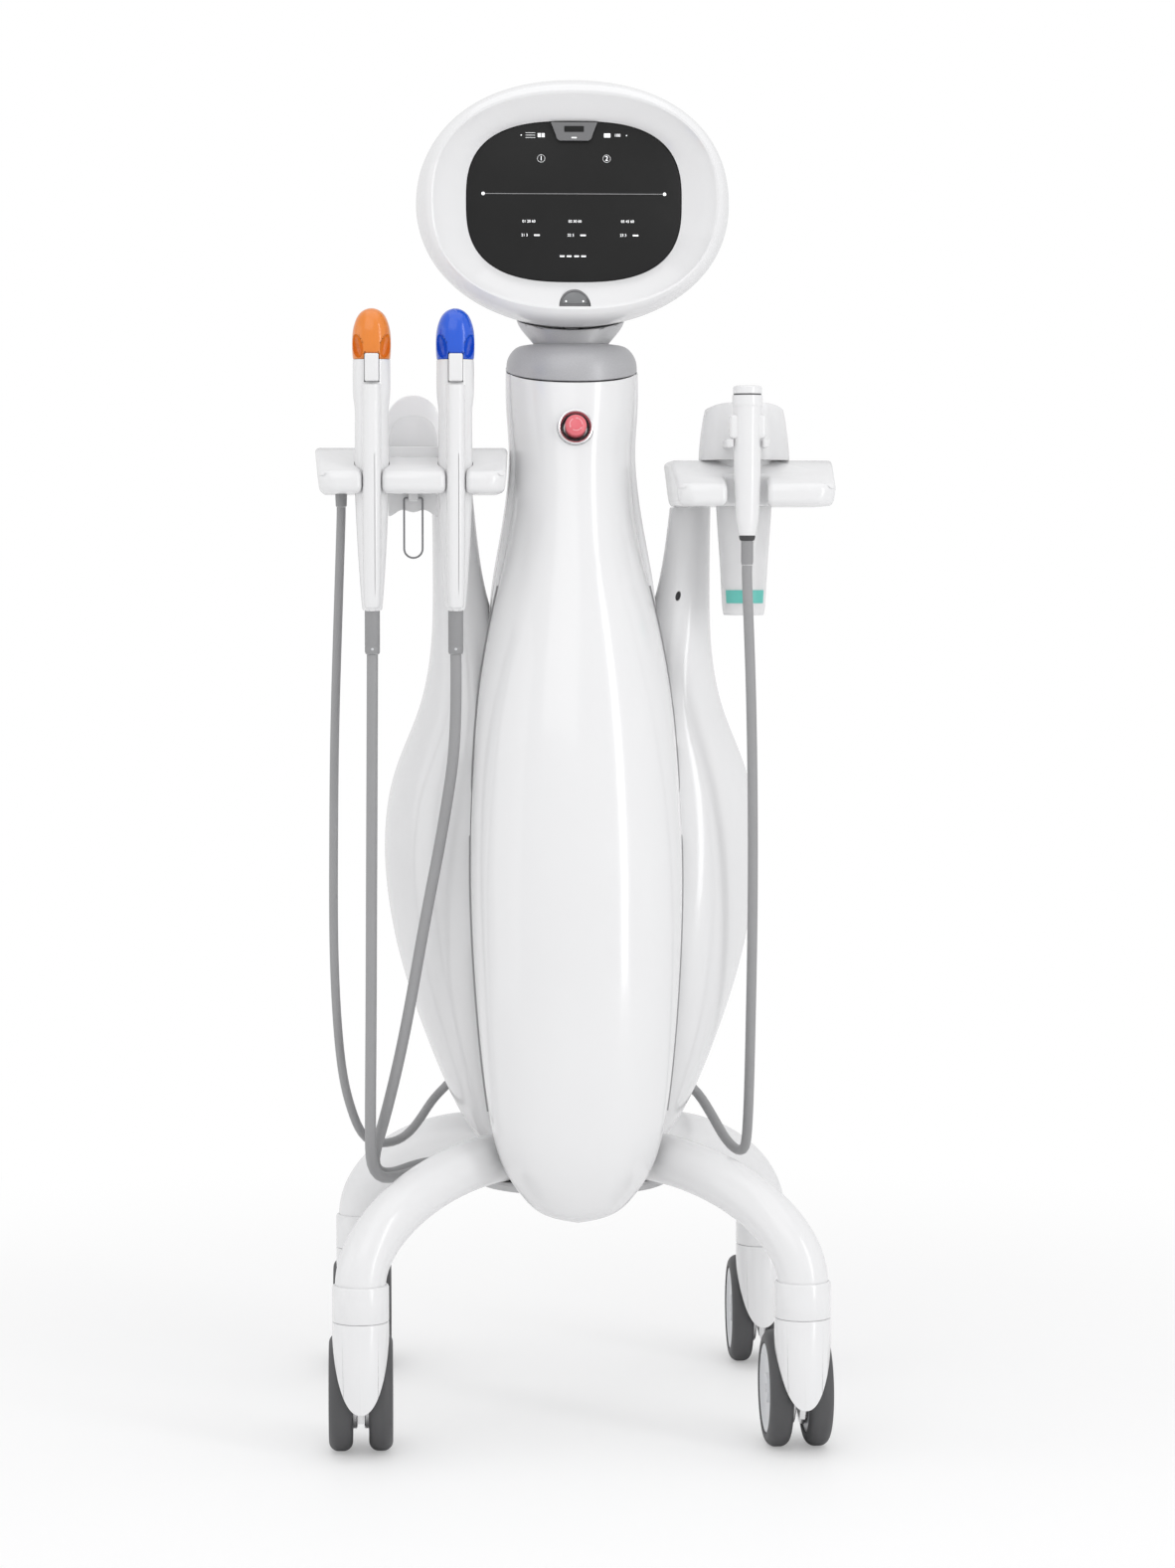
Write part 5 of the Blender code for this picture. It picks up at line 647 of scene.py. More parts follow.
def clear(name, colour, roughness, cover):
    """Clear moulded plastic. Its rim, seen edge on, covers more than its face."""
    finish = Finish(name, IOR=1.49)
    cloud = finish.noise(30, 2)
    grain = finish.noise(500, 1)
    finish.bump(grain, 0.00001, 0.3)
    return finish.paint(
        Base_Color=finish.blend(cloud, shade(colour, 0.96), shade(colour, 1.0)),
        Roughness=cloud * 0.06 + (roughness - 0.03), Alpha=cloud * 0.06 + (cover - 0.03),
    )


def glass(name, colour, roughness):
    """Dark glass over a display, with a trace of dust in its gloss."""
    finish = Finish(name, Specular_IOR_Level=0.15)
    smear = finish.noise(35, 4)
    dust = finish.ramp(finish.noise(700, 1), 0.66, 0.78)
    return finish.paint(
        Base_Color=finish.blend(smear, shade(colour, 0.92), shade(colour, 1.08)),
        Roughness=smear * 0.10 + dust * 0.05 + (roughness - 0.05),
    )


def board(name, colour):
    """Solder mask over straight copper tracks."""
    finish = Finish(name, Coat_Weight=0.4)
    stand = {"Vector": finish.place, "Rotation": (pi / 2, 0, 0)}
    laid = finish.node("Mapping", inputs=stand, output="Vector")
    rows = finish.node("TexBrick", {"offset": 0.35}, {
        "Vector": laid, "Scale": 90.0, "Mortar Size": 0.08,
        "Color1": (0, 0, 0, 1), "Color2": (0.2, 0.2, 0.2, 1), "Mortar": (1, 1, 1, 1),
    }, "Color")
    grain = finish.noise(800, 2)
    finish.bump(rows, 0.00005, 0.5)
    tone = finish.blend(rows, shade(colour, 1.0), shade(colour, 2.4))
    return finish.paint(Base_Color=tone, Roughness=grain * 0.15 + 0.32)


def glow(name, colour, strength):
    finish = Finish(name, Emission_Strength=strength)
    flicker = finish.noise(400, 0)
    tone = finish.blend(flicker, shade(colour, 0.94), shade(colour, 1.0))
    return finish.paint(Base_Color=tone, Emission_Color=tone, Roughness=flicker * 0.1 + 0.3)


WHITE = (0.80, 0.80, 0.805)
FINISHES = {
    "casing_white": moulded("gloss white casing", WHITE, 0.17, Coat_Weight=0.35, Coat_Roughness=0.06),
    "leg_white": moulded("gloss white leg", WHITE, 0.22, peel=0.00003, Coat_Weight=0.25, Coat_Roughness=0.08),
    "satin_grey": lacquer("silver grey lacquer", (0.44, 0.44, 0.455), 0.40),
    "plate_grey": textured("cast grey plate", (0.48, 0.48, 0.485), 0.55, 0.0001, 1300),
    "tyre_grey": textured("dark grey tyre", (0.075, 0.075, 0.078), 0.55, 0.00006, 1500),
    "steel": metal("brushed steel", (0.62, 0.62, 0.64), 0.30),
    "light_metal": metal("polished light metal", (0.82, 0.82, 0.83), 0.26),
    "black_glass": glass("dark display glass", (0.019, 0.019, 0.019), 0.34),
    "clear_grey": clear("frosted clear plastic", (0.88, 0.88, 0.885), 0.24, 0.74),
    "stop_red": moulded("red stop button", (0.76, 0.15, 0.18), 0.30, Coat_Weight=0.3),
    "orange": moulded("orange cartridge", (0.78, 0.225, 0.022), 0.22, Coat_Weight=0.35, Coat_Roughness=0.05),
    "blue": moulded("blue cartridge", (0.006, 0.092, 0.64), 0.22, Coat_Weight=0.35, Coat_Roughness=0.05),
    "board_green": board("circuit board", (0.02, 0.12, 0.05)),
    "cable_grey": textured("grey cable rubber", (0.295, 0.295, 0.30), 0.48, 0.00003, 1800, hollow_shade=0.9),
    "black_plastic": textured("black plastic", (0.03, 0.03, 0.032), 0.42, 0.00004, 1600),
}
EXTRA = {
    "cup": lacquer("light silver lacquer", (0.62, 0.62, 0.63), 0.38),
    "arrow": moulded("pale red mark", (0.88, 0.42, 0.45), 0.3),
    "disc": moulded("light grey disc", (0.62, 0.63, 0.65), 0.28),
    "relief": textured("grey strain relief", (0.27, 0.27, 0.275), 0.46, 0.00003, 1500, hollow_shade=0.9),
    "camera": moulded("smoked camera cover", (0.17, 0.17, 0.175), 0.22, Coat_Weight=0.5),
    "sensor": moulded("smoked sensor cover", (0.20, 0.205, 0.21), 0.24, Coat_Weight=0.5),
    "teal": moulded("teal band", (0.13, 0.52, 0.46), 0.35),
    "seal": textured("dark seal", (0.05, 0.05, 0.052), 0.6, 0.00004, 1600),
    "glow": glow("screen marks", (0.92, 0.93, 0.94), 0.9),
    "dome": clear("clear dome", (0.97, 0.97, 0.975), 0.06, 0.15),
    # Whiter than the casing: partly the plate's own milky colour, partly painted light making up for the
    # handpieces' shade.
    "rest": moulded("milky rest plate with painted light", (0.95, 0.95, 0.955), 0.30),
    "wire": metal("dark steel wire", (0.26, 0.26, 0.27), 0.35),
    "faint": glow("faint screen line", (0.50, 0.50, 0.51), 0.5),
}


# Mesh tools

def spline(rows):
    """A smooth curve through rows of numbers, read at a share from 0 to 1."""
    points = np.array(rows, float)
    last = len(points) - 1
    matrix = np.diag([2.0] + [4.0] * (last - 1) + [2.0]) + np.eye(last + 1, k=1) + np.eye(last + 1, k=-1)
    turns = 3 * np.vstack([points[1] - points[0], points[2:] - points[:-2], points[-1] - points[-2]])
    slopes = np.linalg.solve(matrix, turns)

    def read(share):
        place = min(max(share, 0), 1) * last
        step = min(int(place), last - 1)
        t = place - step
        start, end = points[step], points[step + 1]
        leave, arrive = slopes[step], slopes[step + 1]
        return (
            start * (2 * t**3 - 3 * t**2 + 1) + leave * (t**3 - 2 * t**2 + t)
            + end * (3 * t**2 - 2 * t**3) + arrive * (t**3 - t**2)
        )
    return read


def fine(rows, steps):
    """Rows read at even steps on the smooth curve through the given rows."""
    total = (len(rows) - 1) * steps
    read = spline(rows)
    return [tuple(float(number) for number in read(step / total)) for step in range(total + 1)]


def oval(turn, half_x, half_y, power):
    c, s = cos(turn), sin(turn)
    return half_x * copysign(abs(c) ** (2 / power), c), half_y * copysign(abs(s) ** (2 / power), s)


def oval_line(half_x, half_y, power, count):
    return [oval(2 * pi * step / count, half_x, half_y, power) for step in range(count)]


def flat_oval(x, y, level, half_x, half_y, power=2.0, count=64):
    return [(x + across, y + along, level) for across, along in oval_line(half_x, half_y, power, count)]


def upright_oval(y, half_x, half_z, power=2.0, count=128):
    return [(across, y, HEAD_Z + rise) for across, rise in oval_line(half_x, half_z, power, count)]


def even(start, end, steps):
    """Even steps from one number to another, both ends included."""
    return [start + (end - start) * step / steps for step in range(steps + 1)]


def mirrored(points):
    """Flat points set on the other side of the Z axis, in reverse order."""
    return [(-x, z) for x, z in reversed(points)]


def at(x, y, z):
    return Matrix.Translation((x, y, z))


def spin(angle, axis):
    return Matrix.Rotation(angle, 4, axis)


def make(name, bm):
    """A bmesh made an object."""
    mesh = bpy.data.meshes.new(name)
    bm.to_mesh(mesh)
    bm.free()
    return linked(name, mesh)


def loft(name, rings, closed=True, capped=True, looped=False):
    """A fine grid laid on rings of points. looped joins the last ring to the first."""
    rings = [list(ring) + [ring[0]] * closed for ring in rings]
    rings += [rings[0]] * looped
    across, along = len(rings[0]) - 1, len(rings) - 1
    bm = bmesh.new()
    bmesh.ops.create_grid(bm, x_segments=across, y_segments=along, size=0.5)
    for vert in bm.verts:
        vert.co = rings[round((vert.co.y + 0.5) * along)][round((vert.co.x + 0.5) * across)]
    bmesh.ops.remove_doubles(bm, verts=bm.verts, dist=WELD)
    if capped and not looped:
        bmesh.ops.holes_fill(bm, edges=[edge for edge in bm.edges if edge.is_boundary], sides=0)
    bmesh.ops.recalc_face_normals(bm, faces=bm.faces)
    return make(name, bm)


def lathe(name, profile, steps):
    """A profile of radius and height, spun round the Z axis."""
    bm = bmesh.new()
    verts = [bm.verts.new((radius, 0, height)) for radius, height in profile]
    edges = [bm.edges.new(pair) for pair in zip(verts, verts[1:])]
    bmesh.ops.spin(
        bm, geom=verts + edges, cent=(0, 0, 0), axis=(0, 0, 1), angle=2 * pi, steps=steps, use_merge=True,
    )
    bmesh.ops.remove_doubles(bm, verts=bm.verts, dist=WELD)
    bmesh.ops.recalc_face_normals(bm, faces=bm.faces)
    return make(name, bm)


def ringed(profile):
    """A profile closed on itself, for a turned ring."""
    return list(profile) + [profile[0]]


def pin(name, radius, half, edge):
    """A pin along Z with broken edges."""
    end = [(0, half), (radius - edge, half), (radius, half - edge)]
    return lathe(name, [(width, -level) for width, level in end] + end[::-1], 32)


def rod(name, start, end, radius, end_radius=None, steps=48):
    a, b = Vector(start), Vector(end)
    tip, length = radius if end_radius is None else end_radius, (b - a).length
    bm = bmesh.new()
    bmesh.ops.create_cone(bm, cap_ends=True, segments=steps, radius1=radius, radius2=tip, depth=length)
    turn = (b - a).to_track_quat("Z", "Y").to_matrix().to_4x4()
    bmesh.ops.transform(bm, matrix=Matrix.Translation((a + b) / 2) @ turn, verts=bm.verts)
    return make(name, bm)


def cross_rod(name, start_x, end_x, place, radius, steps=48):
    """A rod along X through a place of Y and Z."""
    return rod(name, (start_x, *place), (end_x, *place), radius, steps=steps)


def break_edges(bm, edges, width, segments, clamp=False):
    bmesh.ops.bevel(
        bm, geom=edges, offset=width, segments=segments, profile=0.5, affect="EDGES", material=-1,
        clamp_overlap=clamp,
    )


def slab(name, low, high, bevel=0.0, segments=3):
    """A box between two corners with rounded edges."""
    bm = bmesh.new()
    bmesh.ops.create_cube(bm, size=1)
    bmesh.ops.scale(bm, vec=[b - a for a, b in zip(low, high)], verts=bm.verts)
    bmesh.ops.translate(bm, vec=[(a + b) / 2 for a, b in zip(low, high)], verts=bm.verts)
    if bevel:
        break_edges(bm, bm.edges, bevel, segments)
    return make(name, bm)


def ball(name, centre, half_sizes, segments):
    bm = bmesh.new()
    bmesh.ops.create_uvsphere(bm, u_segments=segments, v_segments=segments // 2, radius=1)
    bmesh.ops.scale(bm, vec=half_sizes, verts=bm.verts)
    bmesh.ops.translate(bm, vec=centre, verts=bm.verts)
    return make(name, bm)


def prism(name, outline, start, end, axis="Y"):
    """A flat outline drawn out along an axis. The outline holds the other two coordinates in order."""
    order = {"X": (2, 0, 1), "Y": (0, 2, 1), "Z": (0, 1, 2)}[axis]
    rings = [[tuple((a, b, depth)[index] for index in order) for a, b in outline] for depth in (start, end)]
    return loft(name, rings)


def sweep(name, points, radius, sides):
    """A round bar along a line."""
    points = [Vector(point) for point in points]
    last = len(points) - 1
    side = (points[1] - points[0]).orthogonal()
    rings = []
    for step, point in enumerate(points):
        ahead = (points[min(step + 1, last)] - points[max(step - 1, 0)]).normalized()
        side = (side - ahead * side.dot(ahead)).normalized()
        up = ahead.cross(side)
        turns = [2 * pi * turn / sides for turn in range(sides)]
        rings.append([point + (side * cos(turn) + up * sin(turn)) * radius for turn in turns])
    return loft(name, rings)


def evaluated(obj):
    """The mesh of an object with its modifiers or its curve worked out."""
    graph = bpy.context.evaluated_depsgraph_get()
    return bpy.data.meshes.new_from_object(obj.evaluated_get(graph))


def modify(obj, kind, **settings):
    modifier = obj.modifiers.new(kind.lower(), kind)
    for key, value in settings.items():
        setattr(modifier, key, value)
    mesh = evaluated(obj)
    obj.modifiers.clear()
    obj.data = mesh
    return obj


def combine(obj, tools, operation):
    for tool in tools:
        modify(obj, "BOOLEAN", operation=operation, object=tool)
        bpy.data.objects.remove(tool)
    return obj


def cut(obj, *tools):
    return combine(obj, tools, "DIFFERENCE")


def fuse(obj, *tools):
    return combine(obj, tools, "UNION")


def keep(obj, *tools):
    return combine(obj, tools, "INTERSECT")


def soften(obj, width=EDGE, segments=3, angle=35):
    """Sharp edges rounded."""
    return modify(
        obj, "BEVEL", width=width, segments=segments, limit_method="ANGLE", angle_limit=radians(angle),
        use_clamp_overlap=False, miter_outer="MITER_ARC", profile=0.5,
    )


def wall(obj):
    """An open surface given the covers' wall, on its inner side."""
    return modify(obj, "SOLIDIFY", thickness=SHELL, offset=-1, use_even_offset=True)


def merged(name, *parts):
    """Several separate shapes as one piece."""
    bm = bmesh.new()
    for part in parts:
        bm.from_mesh(part.data)
    for part in parts[1:]:
        bpy.data.objects.remove(part)
    bm.to_mesh(parts[0].data)
    bm.free()
    parts[0].name = name
    return parts[0]


def turned(obj, matrix):
    obj.data.transform(matrix)
    return obj


def linked(name, data):
    """A new object of the scene with the given data."""
    obj = bpy.data.objects.new(name, data)
    bpy.context.scene.collection.objects.link(obj)
    return obj


def copied(name, obj, matrix):
    """A second piece of the same shape in another place."""
    return turned(linked(name, obj.data.copy()), matrix)


def show(obj, body, slot, *nodes, finish=None, crease=35):
    """Finish a piece, set it in the frame and let it ride on its body in place of CAD nodes."""
    obj.data.transform(Matrix.Translation(SHIFT))
    obj.data.materials.clear()
    obj.data.materials.append(EXTRA[finish] if finish else FINISHES[slot])
    obj.data.shade_smooth()
    obj.data.set_sharp_from_angle(angle=radians(crease))
    if body:
        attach(obj, body)
    if nodes:
        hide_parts(*nodes)
    return obj


# Camera

def make_camera():
    data = bpy.data.cameras.new("camera")
    data.sensor_fit = "VERTICAL"
    data.sensor_height = CAMERA_SENSOR
    data.lens = CAMERA_LENS
    camera = linked("camera", data)
    side, back = CAMERA_DISTANCE * sin(CAMERA_SIDE), CAMERA_DISTANCE * cos(CAMERA_SIDE)
    camera.location = (-side, SHIFT.y - back, CAMERA_LEVEL + SHIFT.z)
    camera.rotation_euler = (pi / 2 - CAMERA_DROP, 0, CAMERA_TURN)
    bpy.context.scene.camera = camera


# Cables

def even_points(route, spacing):
    """Points at an even spacing along the smooth curve through a route."""
    dense = [Vector(point) for point in fine(route, 24)]
    lengths = [0.0]
    for before, after in zip(dense, dense[1:]):
        lengths.append(lengths[-1] + (after - before).length)
    count = round(lengths[-1] / spacing)
    points = []
    index = 0
    for step in range(count + 1):
        wanted = lengths[-1] * step / count
        while index < len(dense) - 2 and lengths[index + 1] < wanted:
            index += 1
        share = (wanted - lengths[index]) / (lengths[index + 1] - lengths[index])
        points.append(dense[index].lerp(dense[index + 1], share))
    return points


def make_cables():
    for label, (body, thickness, length, route) in CABLES.items():
        points = even_points(route, thickness * 0.8)
        cable = sweep("flex_" + label, points, thickness / 2, sides=20)
        show(cable, body if body == "frame" else None, "cable_grey", "cable_" + label)
        path = [point + SHIFT for point in points]
        if body != "frame":
            path[0] - Vector((0, 0, thickness * 4))
            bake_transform(cable)


# Base

def leg_line():
    foot = COLLAR_FOOT + COLLAR_HEIGHT
    points = [(LEG_ROOT, LEG_CREST), (LEG_STRAIGHT, LEG_CREST)]
    steps = 36
    for step in range(1, steps + 1):
        turn = pi / 2 * (1 - step / steps)
        out, rise = oval(turn, STEM_REACH - LEG_STRAIGHT, LEG_CREST - foot, LEG_POWER)
        points.append((LEG_STRAIGHT + out, foot + rise))
    return points + [(STEM_REACH, COLLAR_FOOT + COLLAR_HEIGHT / 2)]


# Name, side across, side in depth, turn of the caster
CORNERS = (
    ("front_left", -1, -1, 0.0), ("front_right", 1, -1, radians(2)),
    ("rear_left", -1, 1, 0.0), ("rear_right", 1, 1, 0.0),
)


def leg_turn(side_x, side_y):
    return spin(atan2(side_y, side_x), "Z")


def leg_holes(corners):
    """Rooms for the legs of some corners, to cut from a cover."""
    points = [(out, 0, level) for out, level in leg_line()[:LEG_HOLE_POINTS]]
    points[0] = (-OVER, 0, LEG_CREST)
    return [
        turned(sweep("leg hole", points, LEG_RADIUS + EDGE, sides=48), leg_turn(side_x, side_y))
        for _, side_x, side_y, _ in corners
    ]


def make_legs():
    leg = sweep("leg", [(out, 0, level) for out, level in leg_line()], LEG_RADIUS, sides=48)
    foot, half, top = COLLAR_FOOT, COLLAR_FOOT + COLLAR_HEIGHT / 2, COLLAR_FOOT + COLLAR_HEIGHT
    bore = STEM_RADIUS + SEAT
    collar = lathe("collar", ringed([
        (bore, foot + EDGE), (HOOD_RADIUS - EDGE, foot), (HOOD_RADIUS - EDGE / 3, foot + EDGE / 3),
        (HOOD_RADIUS, foot + EDGE), (HOOD_RADIUS, top - COLLAR_LIP),
        (HOOD_RADIUS - COLLAR_LIP * 0.3, top - COLLAR_LIP * 0.3), (HOOD_RADIUS - COLLAR_LIP, top),
        (LEG_RADIUS + EDGE / 2, top), (LEG_RADIUS + EDGE / 3, top - EDGE), (0, top - EDGE), (0, half),
        (bore, half),
    ]), steps=96)
    turned(collar, at(STEM_REACH, 0, 0))
    for label, side_x, side_y, _ in CORNERS:
        turn = leg_turn(side_x, side_y)
        both = merged("arch_" + label, copied("arch_" + label, leg, turn), copied("collar", collar, turn))
        show(both, "frame", "leg_white", "leg_" + label, crease=40)
    bpy.data.objects.remove(leg)
    bpy.data.objects.remove(collar)


def hood_outline():
    right = [(
        (HOOD_RADIUS + SEAT) * sin(turn) ** 0.8,
        HOOD_TIP + (HOOD_TOP - HOOD_TIP) * (1 - cos(turn)) ** 0.9,
    ) for turn in even(0, pi / 2, 28)[1:]]
    return [(0, HOOD_TIP)] + right + mirrored(right)


def hood():
    """The swivelling fork: tongue-shaped hood, web, axle boss and stem."""
    fork = rod("hood", (0, 0, HOOD_TIP - OVER), (0, 0, HOOD_TOP), HOOD_RADIUS, steps=96)
    keep(fork, prism("tongue", hood_outline(), -HOOD_RADIUS - OVER, HOOD_RADIUS + OVER))
    axle = (TRAIL, WHEEL_LEVEL)
    for side in (-1, 1):
        for name, near, far, radius, steps in (
            ("wheel room", WHEEL_INSIDE * WHEEL_ROOM_SHARE, WHEEL_OUTSIDE + OVER, WHEEL_RADIUS, 96),
            ("flange room", WEB_HALF * FLANGE_ROOM_SHARE, WHEEL_OUTSIDE, FLANGE_RADIUS, 64),
        ):
            cut(fork, cross_rod(name, side * near, side * far, axle, radius + EDGE * 2, steps))
    stem_foot = HOOD_TOP - STEM_RADIUS
    web = prism("web", (
        (-HOOD_RADIUS / 2, stem_foot), (-HOOD_RADIUS / 2, WHEEL_LEVEL), (0, HOOD_TIP - LIP * 3),
        (TRAIL, WHEEL_LEVEL - BOSS_RADIUS + SHELL), (TRAIL + BOSS_RADIUS - SHELL, WHEEL_LEVEL),
        (HOOD_RADIUS - SHELL, stem_foot),
    ), -WEB_HALF, WEB_HALF, axis="X")
    boss = cross_rod("boss", -WEB_HALF, WEB_HALF, axle, BOSS_RADIUS)
    stem = rod("stem", (0, 0, HOOD_TOP - OVER), (0, 0, HOOD_TOP + COLLAR_HEIGHT / 2), STEM_RADIUS)
    return soften(fuse(fork, web, boss, stem), EDGE * 0.7, angle=40)


def tyre_profile():
    """Round-shouldered tyre."""
    inside, outside = WHEEL_INSIDE, WHEEL_OUTSIDE
    turns = even(0, pi / 2, 14)
    bends = [(TYRE_SHOULDER * (1 - sin(turn)), TYRE_SHOULDER * (1 - cos(turn))) for turn in turns]
    profile = [(DISC_RADIUS + EDGE, inside)]
    profile += [(WHEEL_RADIUS - first, inside + second) for first, second in bends]
    profile += [(WHEEL_RADIUS - second, outside - first) for first, second in bends]
    profile.append((DISC_RADIUS + EDGE, outside))
    return ringed(profile + [(DISC_RADIUS, outside - EDGE * 2), (DISC_RADIUS, inside + EDGE * 2)])


def disc_profile():
    """Wheel disc with a dished outer face and a hub cap."""
    outside, inside = WHEEL_OUTSIDE - EDGE * 1.2, WHEEL_INSIDE + EDGE
    profile = [(radius, outside - depth) for radius, depth in DISC_FACE]
    profile += [
        (DISC_RADIUS - SEAT, WHEEL_INSIDE + EDGE * 2), (FLANGE_RADIUS, inside), (AXLE_RADIUS + SEAT, inside),
    ]
    return ringed(profile)


def flange_profile():
    """The bright flange on a wheel's inner side, with a ring groove."""
    bore, floor = AXLE_RADIUS + SEAT, FLANGE_INSIDE + EDGE
    rim = [(bore, WHEEL_INSIDE), (FLANGE_RADIUS, WHEEL_INSIDE), (FLANGE_RADIUS, floor)]
    face = [(FLANGE_RADIUS - EDGE, FLANGE_INSIDE)]
    for share, level in ((0.72, FLANGE_INSIDE), (0.68, floor), (0.45, floor), (0.42, FLANGE_INSIDE)):
        face.append((FLANGE_RADIUS * share, level))
    return ringed(rim + face + [(bore, FLANGE_INSIDE)])


def make_casters():
    fork, tyre = hood(), lathe("tyre", tyre_profile(), 128)
    disc, flange = lathe("disc", disc_profile(), 96), lathe("flange", flange_profile(), 96)
    axle = pin("axle", AXLE_RADIUS, AXLE_HALF, EDGE)
    for label, side_x, side_y, turn in CORNERS:
        place = at(side_x * STEM_SPACING / 2, side_y * STEM_SPACING / 2, 0) @ spin(turn, "Z")
        centre = place @ at(0, TRAIL, WHEEL_LEVEL)
        show(copied("hood_" + label, fork, place), "fork_" + label, "leg_white", "caster_fork_" + label)
        lying = centre @ spin(pi / 2, "Y")
        show(copied("axle_" + label, axle, lying), "fork_" + label, "steel", "caster_axle_" + label)
        for name, side in (("outer", side_x), ("inner", -side_x)):
            spot = centre @ spin(side * pi / 2, "Y")
            wheel = "_" + label + "_" + name
            show(copied("tyre" + wheel, tyre, spot), "wheel" + wheel, "tyre_grey", "caster_wheel" + wheel)
            show(copied("disc" + wheel, disc, spot), "wheel" + wheel, "casing_white", finish="disc")
            show(copied("flange" + wheel, flange, spot), "wheel" + wheel, "light_metal")
    for obj in (fork, tyre, disc, flange, axle):
        bpy.data.objects.remove(obj)


def make_base_plate():
    foot = PLATE_TOP - PLATE_THICKNESS
    low_edge = foot + EDGE
    plate = lathe("hub_plate", [
        (0, PLATE_TOP), (PLATE_RADIUS - EDGE, PLATE_TOP), (PLATE_RADIUS, PLATE_TOP - EDGE),
        (PLATE_RADIUS, PLATE_TOP - SHELL), (PLATE_RADIUS - LIP * 2, low_edge),
        (PLATE_RADIUS - LIP * 2.5, foot), (PLATE_RADIUS * 0.8, foot), (PLATE_RADIUS * 0.78, low_edge),
        (0, low_edge),
    ], 128)
    outlet = slab(
        "outlet", (OUTLET_FAR, -OUTLET_HALF_DEPTH, PLATE_TOP - PLATE_THICKNESS / 2),
        (OUTLET_NEAR, OUTLET_HALF_DEPTH, PLATE_TOP + OUTLET_HEIGHT), bevel=EDGE * 2,
    )
    show(fuse(plate, outlet), "frame", "plate_grey", "base_plate")
    bushes = []
    for y in (-BUSH_Y, BUSH_Y):
        start, end = (OUTLET_FAR, y, BUSH_LEVEL), (OUTLET_FAR - BUSH_LENGTH, y, BUSH_LEVEL)
        bushes.append(rod("bush", start, end, BUSH_RADIUS, BUSH_TIP_RADIUS))
    show(merged("outlet_bushes", *bushes), "frame", "plate_grey", finish="seal")


# Covers

def seam_rise(y, level):
    start = COVER_TOP * SLOPE_START_SHARE
    share = min(max((level - start) / (COVER_TOP - start), 0), 1)
    return SLOPE * y * share * share


def cover_level(rise):
    return POD_FOOT + rise * (COVER_TOP - POD_FOOT)


def pod_section(shares, grow=0.0, back=None):
    """The pod's open outline at one height. back closes it that far behind the rim."""
    rise, width, reach, rim, lap = shares
    width, front, edge = width * POD_HALF_WIDTH, reach * POD_REACH, rim * POD_REACH
    widest = (edge - lap * front) / (1 - lap)
    start = copysign(asin(min(abs(lap), 1) ** (POD_POWER / 2)), lap)
    points = []
    for turn in even(start, pi - start, 87):
        across, forward = oval(turn, width + grow, front - widest + grow, POD_POWER)
        points.append((-across, -widest - forward))
    if back is not None:
        points.append((points[-1][0], back - edge))
        points.insert(0, (points[0][0], back - edge))
    return [(x, y, cover_level(rise) + seam_rise(y, cover_level(rise))) for x, y in points]


def column_section(pod, shares, grow=0.0, front=None):
    """The column's outline, with a lip that turns in behind the pod's rim."""
    level, rim = cover_level(pod[0]), SEAM - pod[3] * POD_REACH
    width, back = shares[0] * POD_HALF_WIDTH + grow, shares[1] * COLUMN_REACH
    turn_y = back * COLUMN_TURN_SHARE
    points = [oval(turn, width, back + grow - turn_y, POD_POWER) for turn in even(0, pi, 71)]
    points = [(across, turn_y + along) for across, along in points]
    if front is None:
        lip = min(width, pod_section(pod)[-1][0]) - LIP
        shoulder = min(LIP, width - lip - EDGE)
        corner = [
            (width - shoulder * (1 - cos(turn)), rim + shoulder * (1 - sin(turn)))
            for turn in (pi / 2 * (1 - step / 6) for step in range(7))
        ]
        points = [(lip, rim)] + corner + points + mirrored(corner) + [(-lip, rim)]
    else:
        points = [(width, front)] + points + [(-width, front)]
    return [(x, y, level + seam_rise(y, level)) for x, y in points]


POD_ROWS = fine(POD_SHARES, 9)
COLUMN_PAIRS = list(zip(fine(POD_SHARES[3:], 9), fine(COLUMN_SHARES, 9)))


def pod_room():
    return loft("pod room", [pod_section(row, grow=SEAM, back=SEAM) for row in POD_ROWS[2:]])


def column_room():
    rings = [column_section(pod, row, SEAM, -pod[3] * POD_REACH - SHELL * 2) for pod, row in COLUMN_PAIRS]
    return loft("column room", [[(x, y, z - OVER * 4) for x, y, z in rings[0]]] + rings)


def stop_axis():
    return Vector((0, -cos(STOP_TILT), sin(STOP_TILT)))


def stop_face():
    """The middle of the emergency stop on the pod's front."""
    below, above = next(pair for pair in zip(POD_ROWS, POD_ROWS[1:]) if cover_level(pair[1][0]) >= STOP_Z)
    low, high = cover_level(below[0]), cover_level(above[0])
    reach = below[2] + (above[2] - below[2]) * (STOP_Z - low) / (high - low)
    return Vector((0, -reach * POD_REACH, STOP_Z))


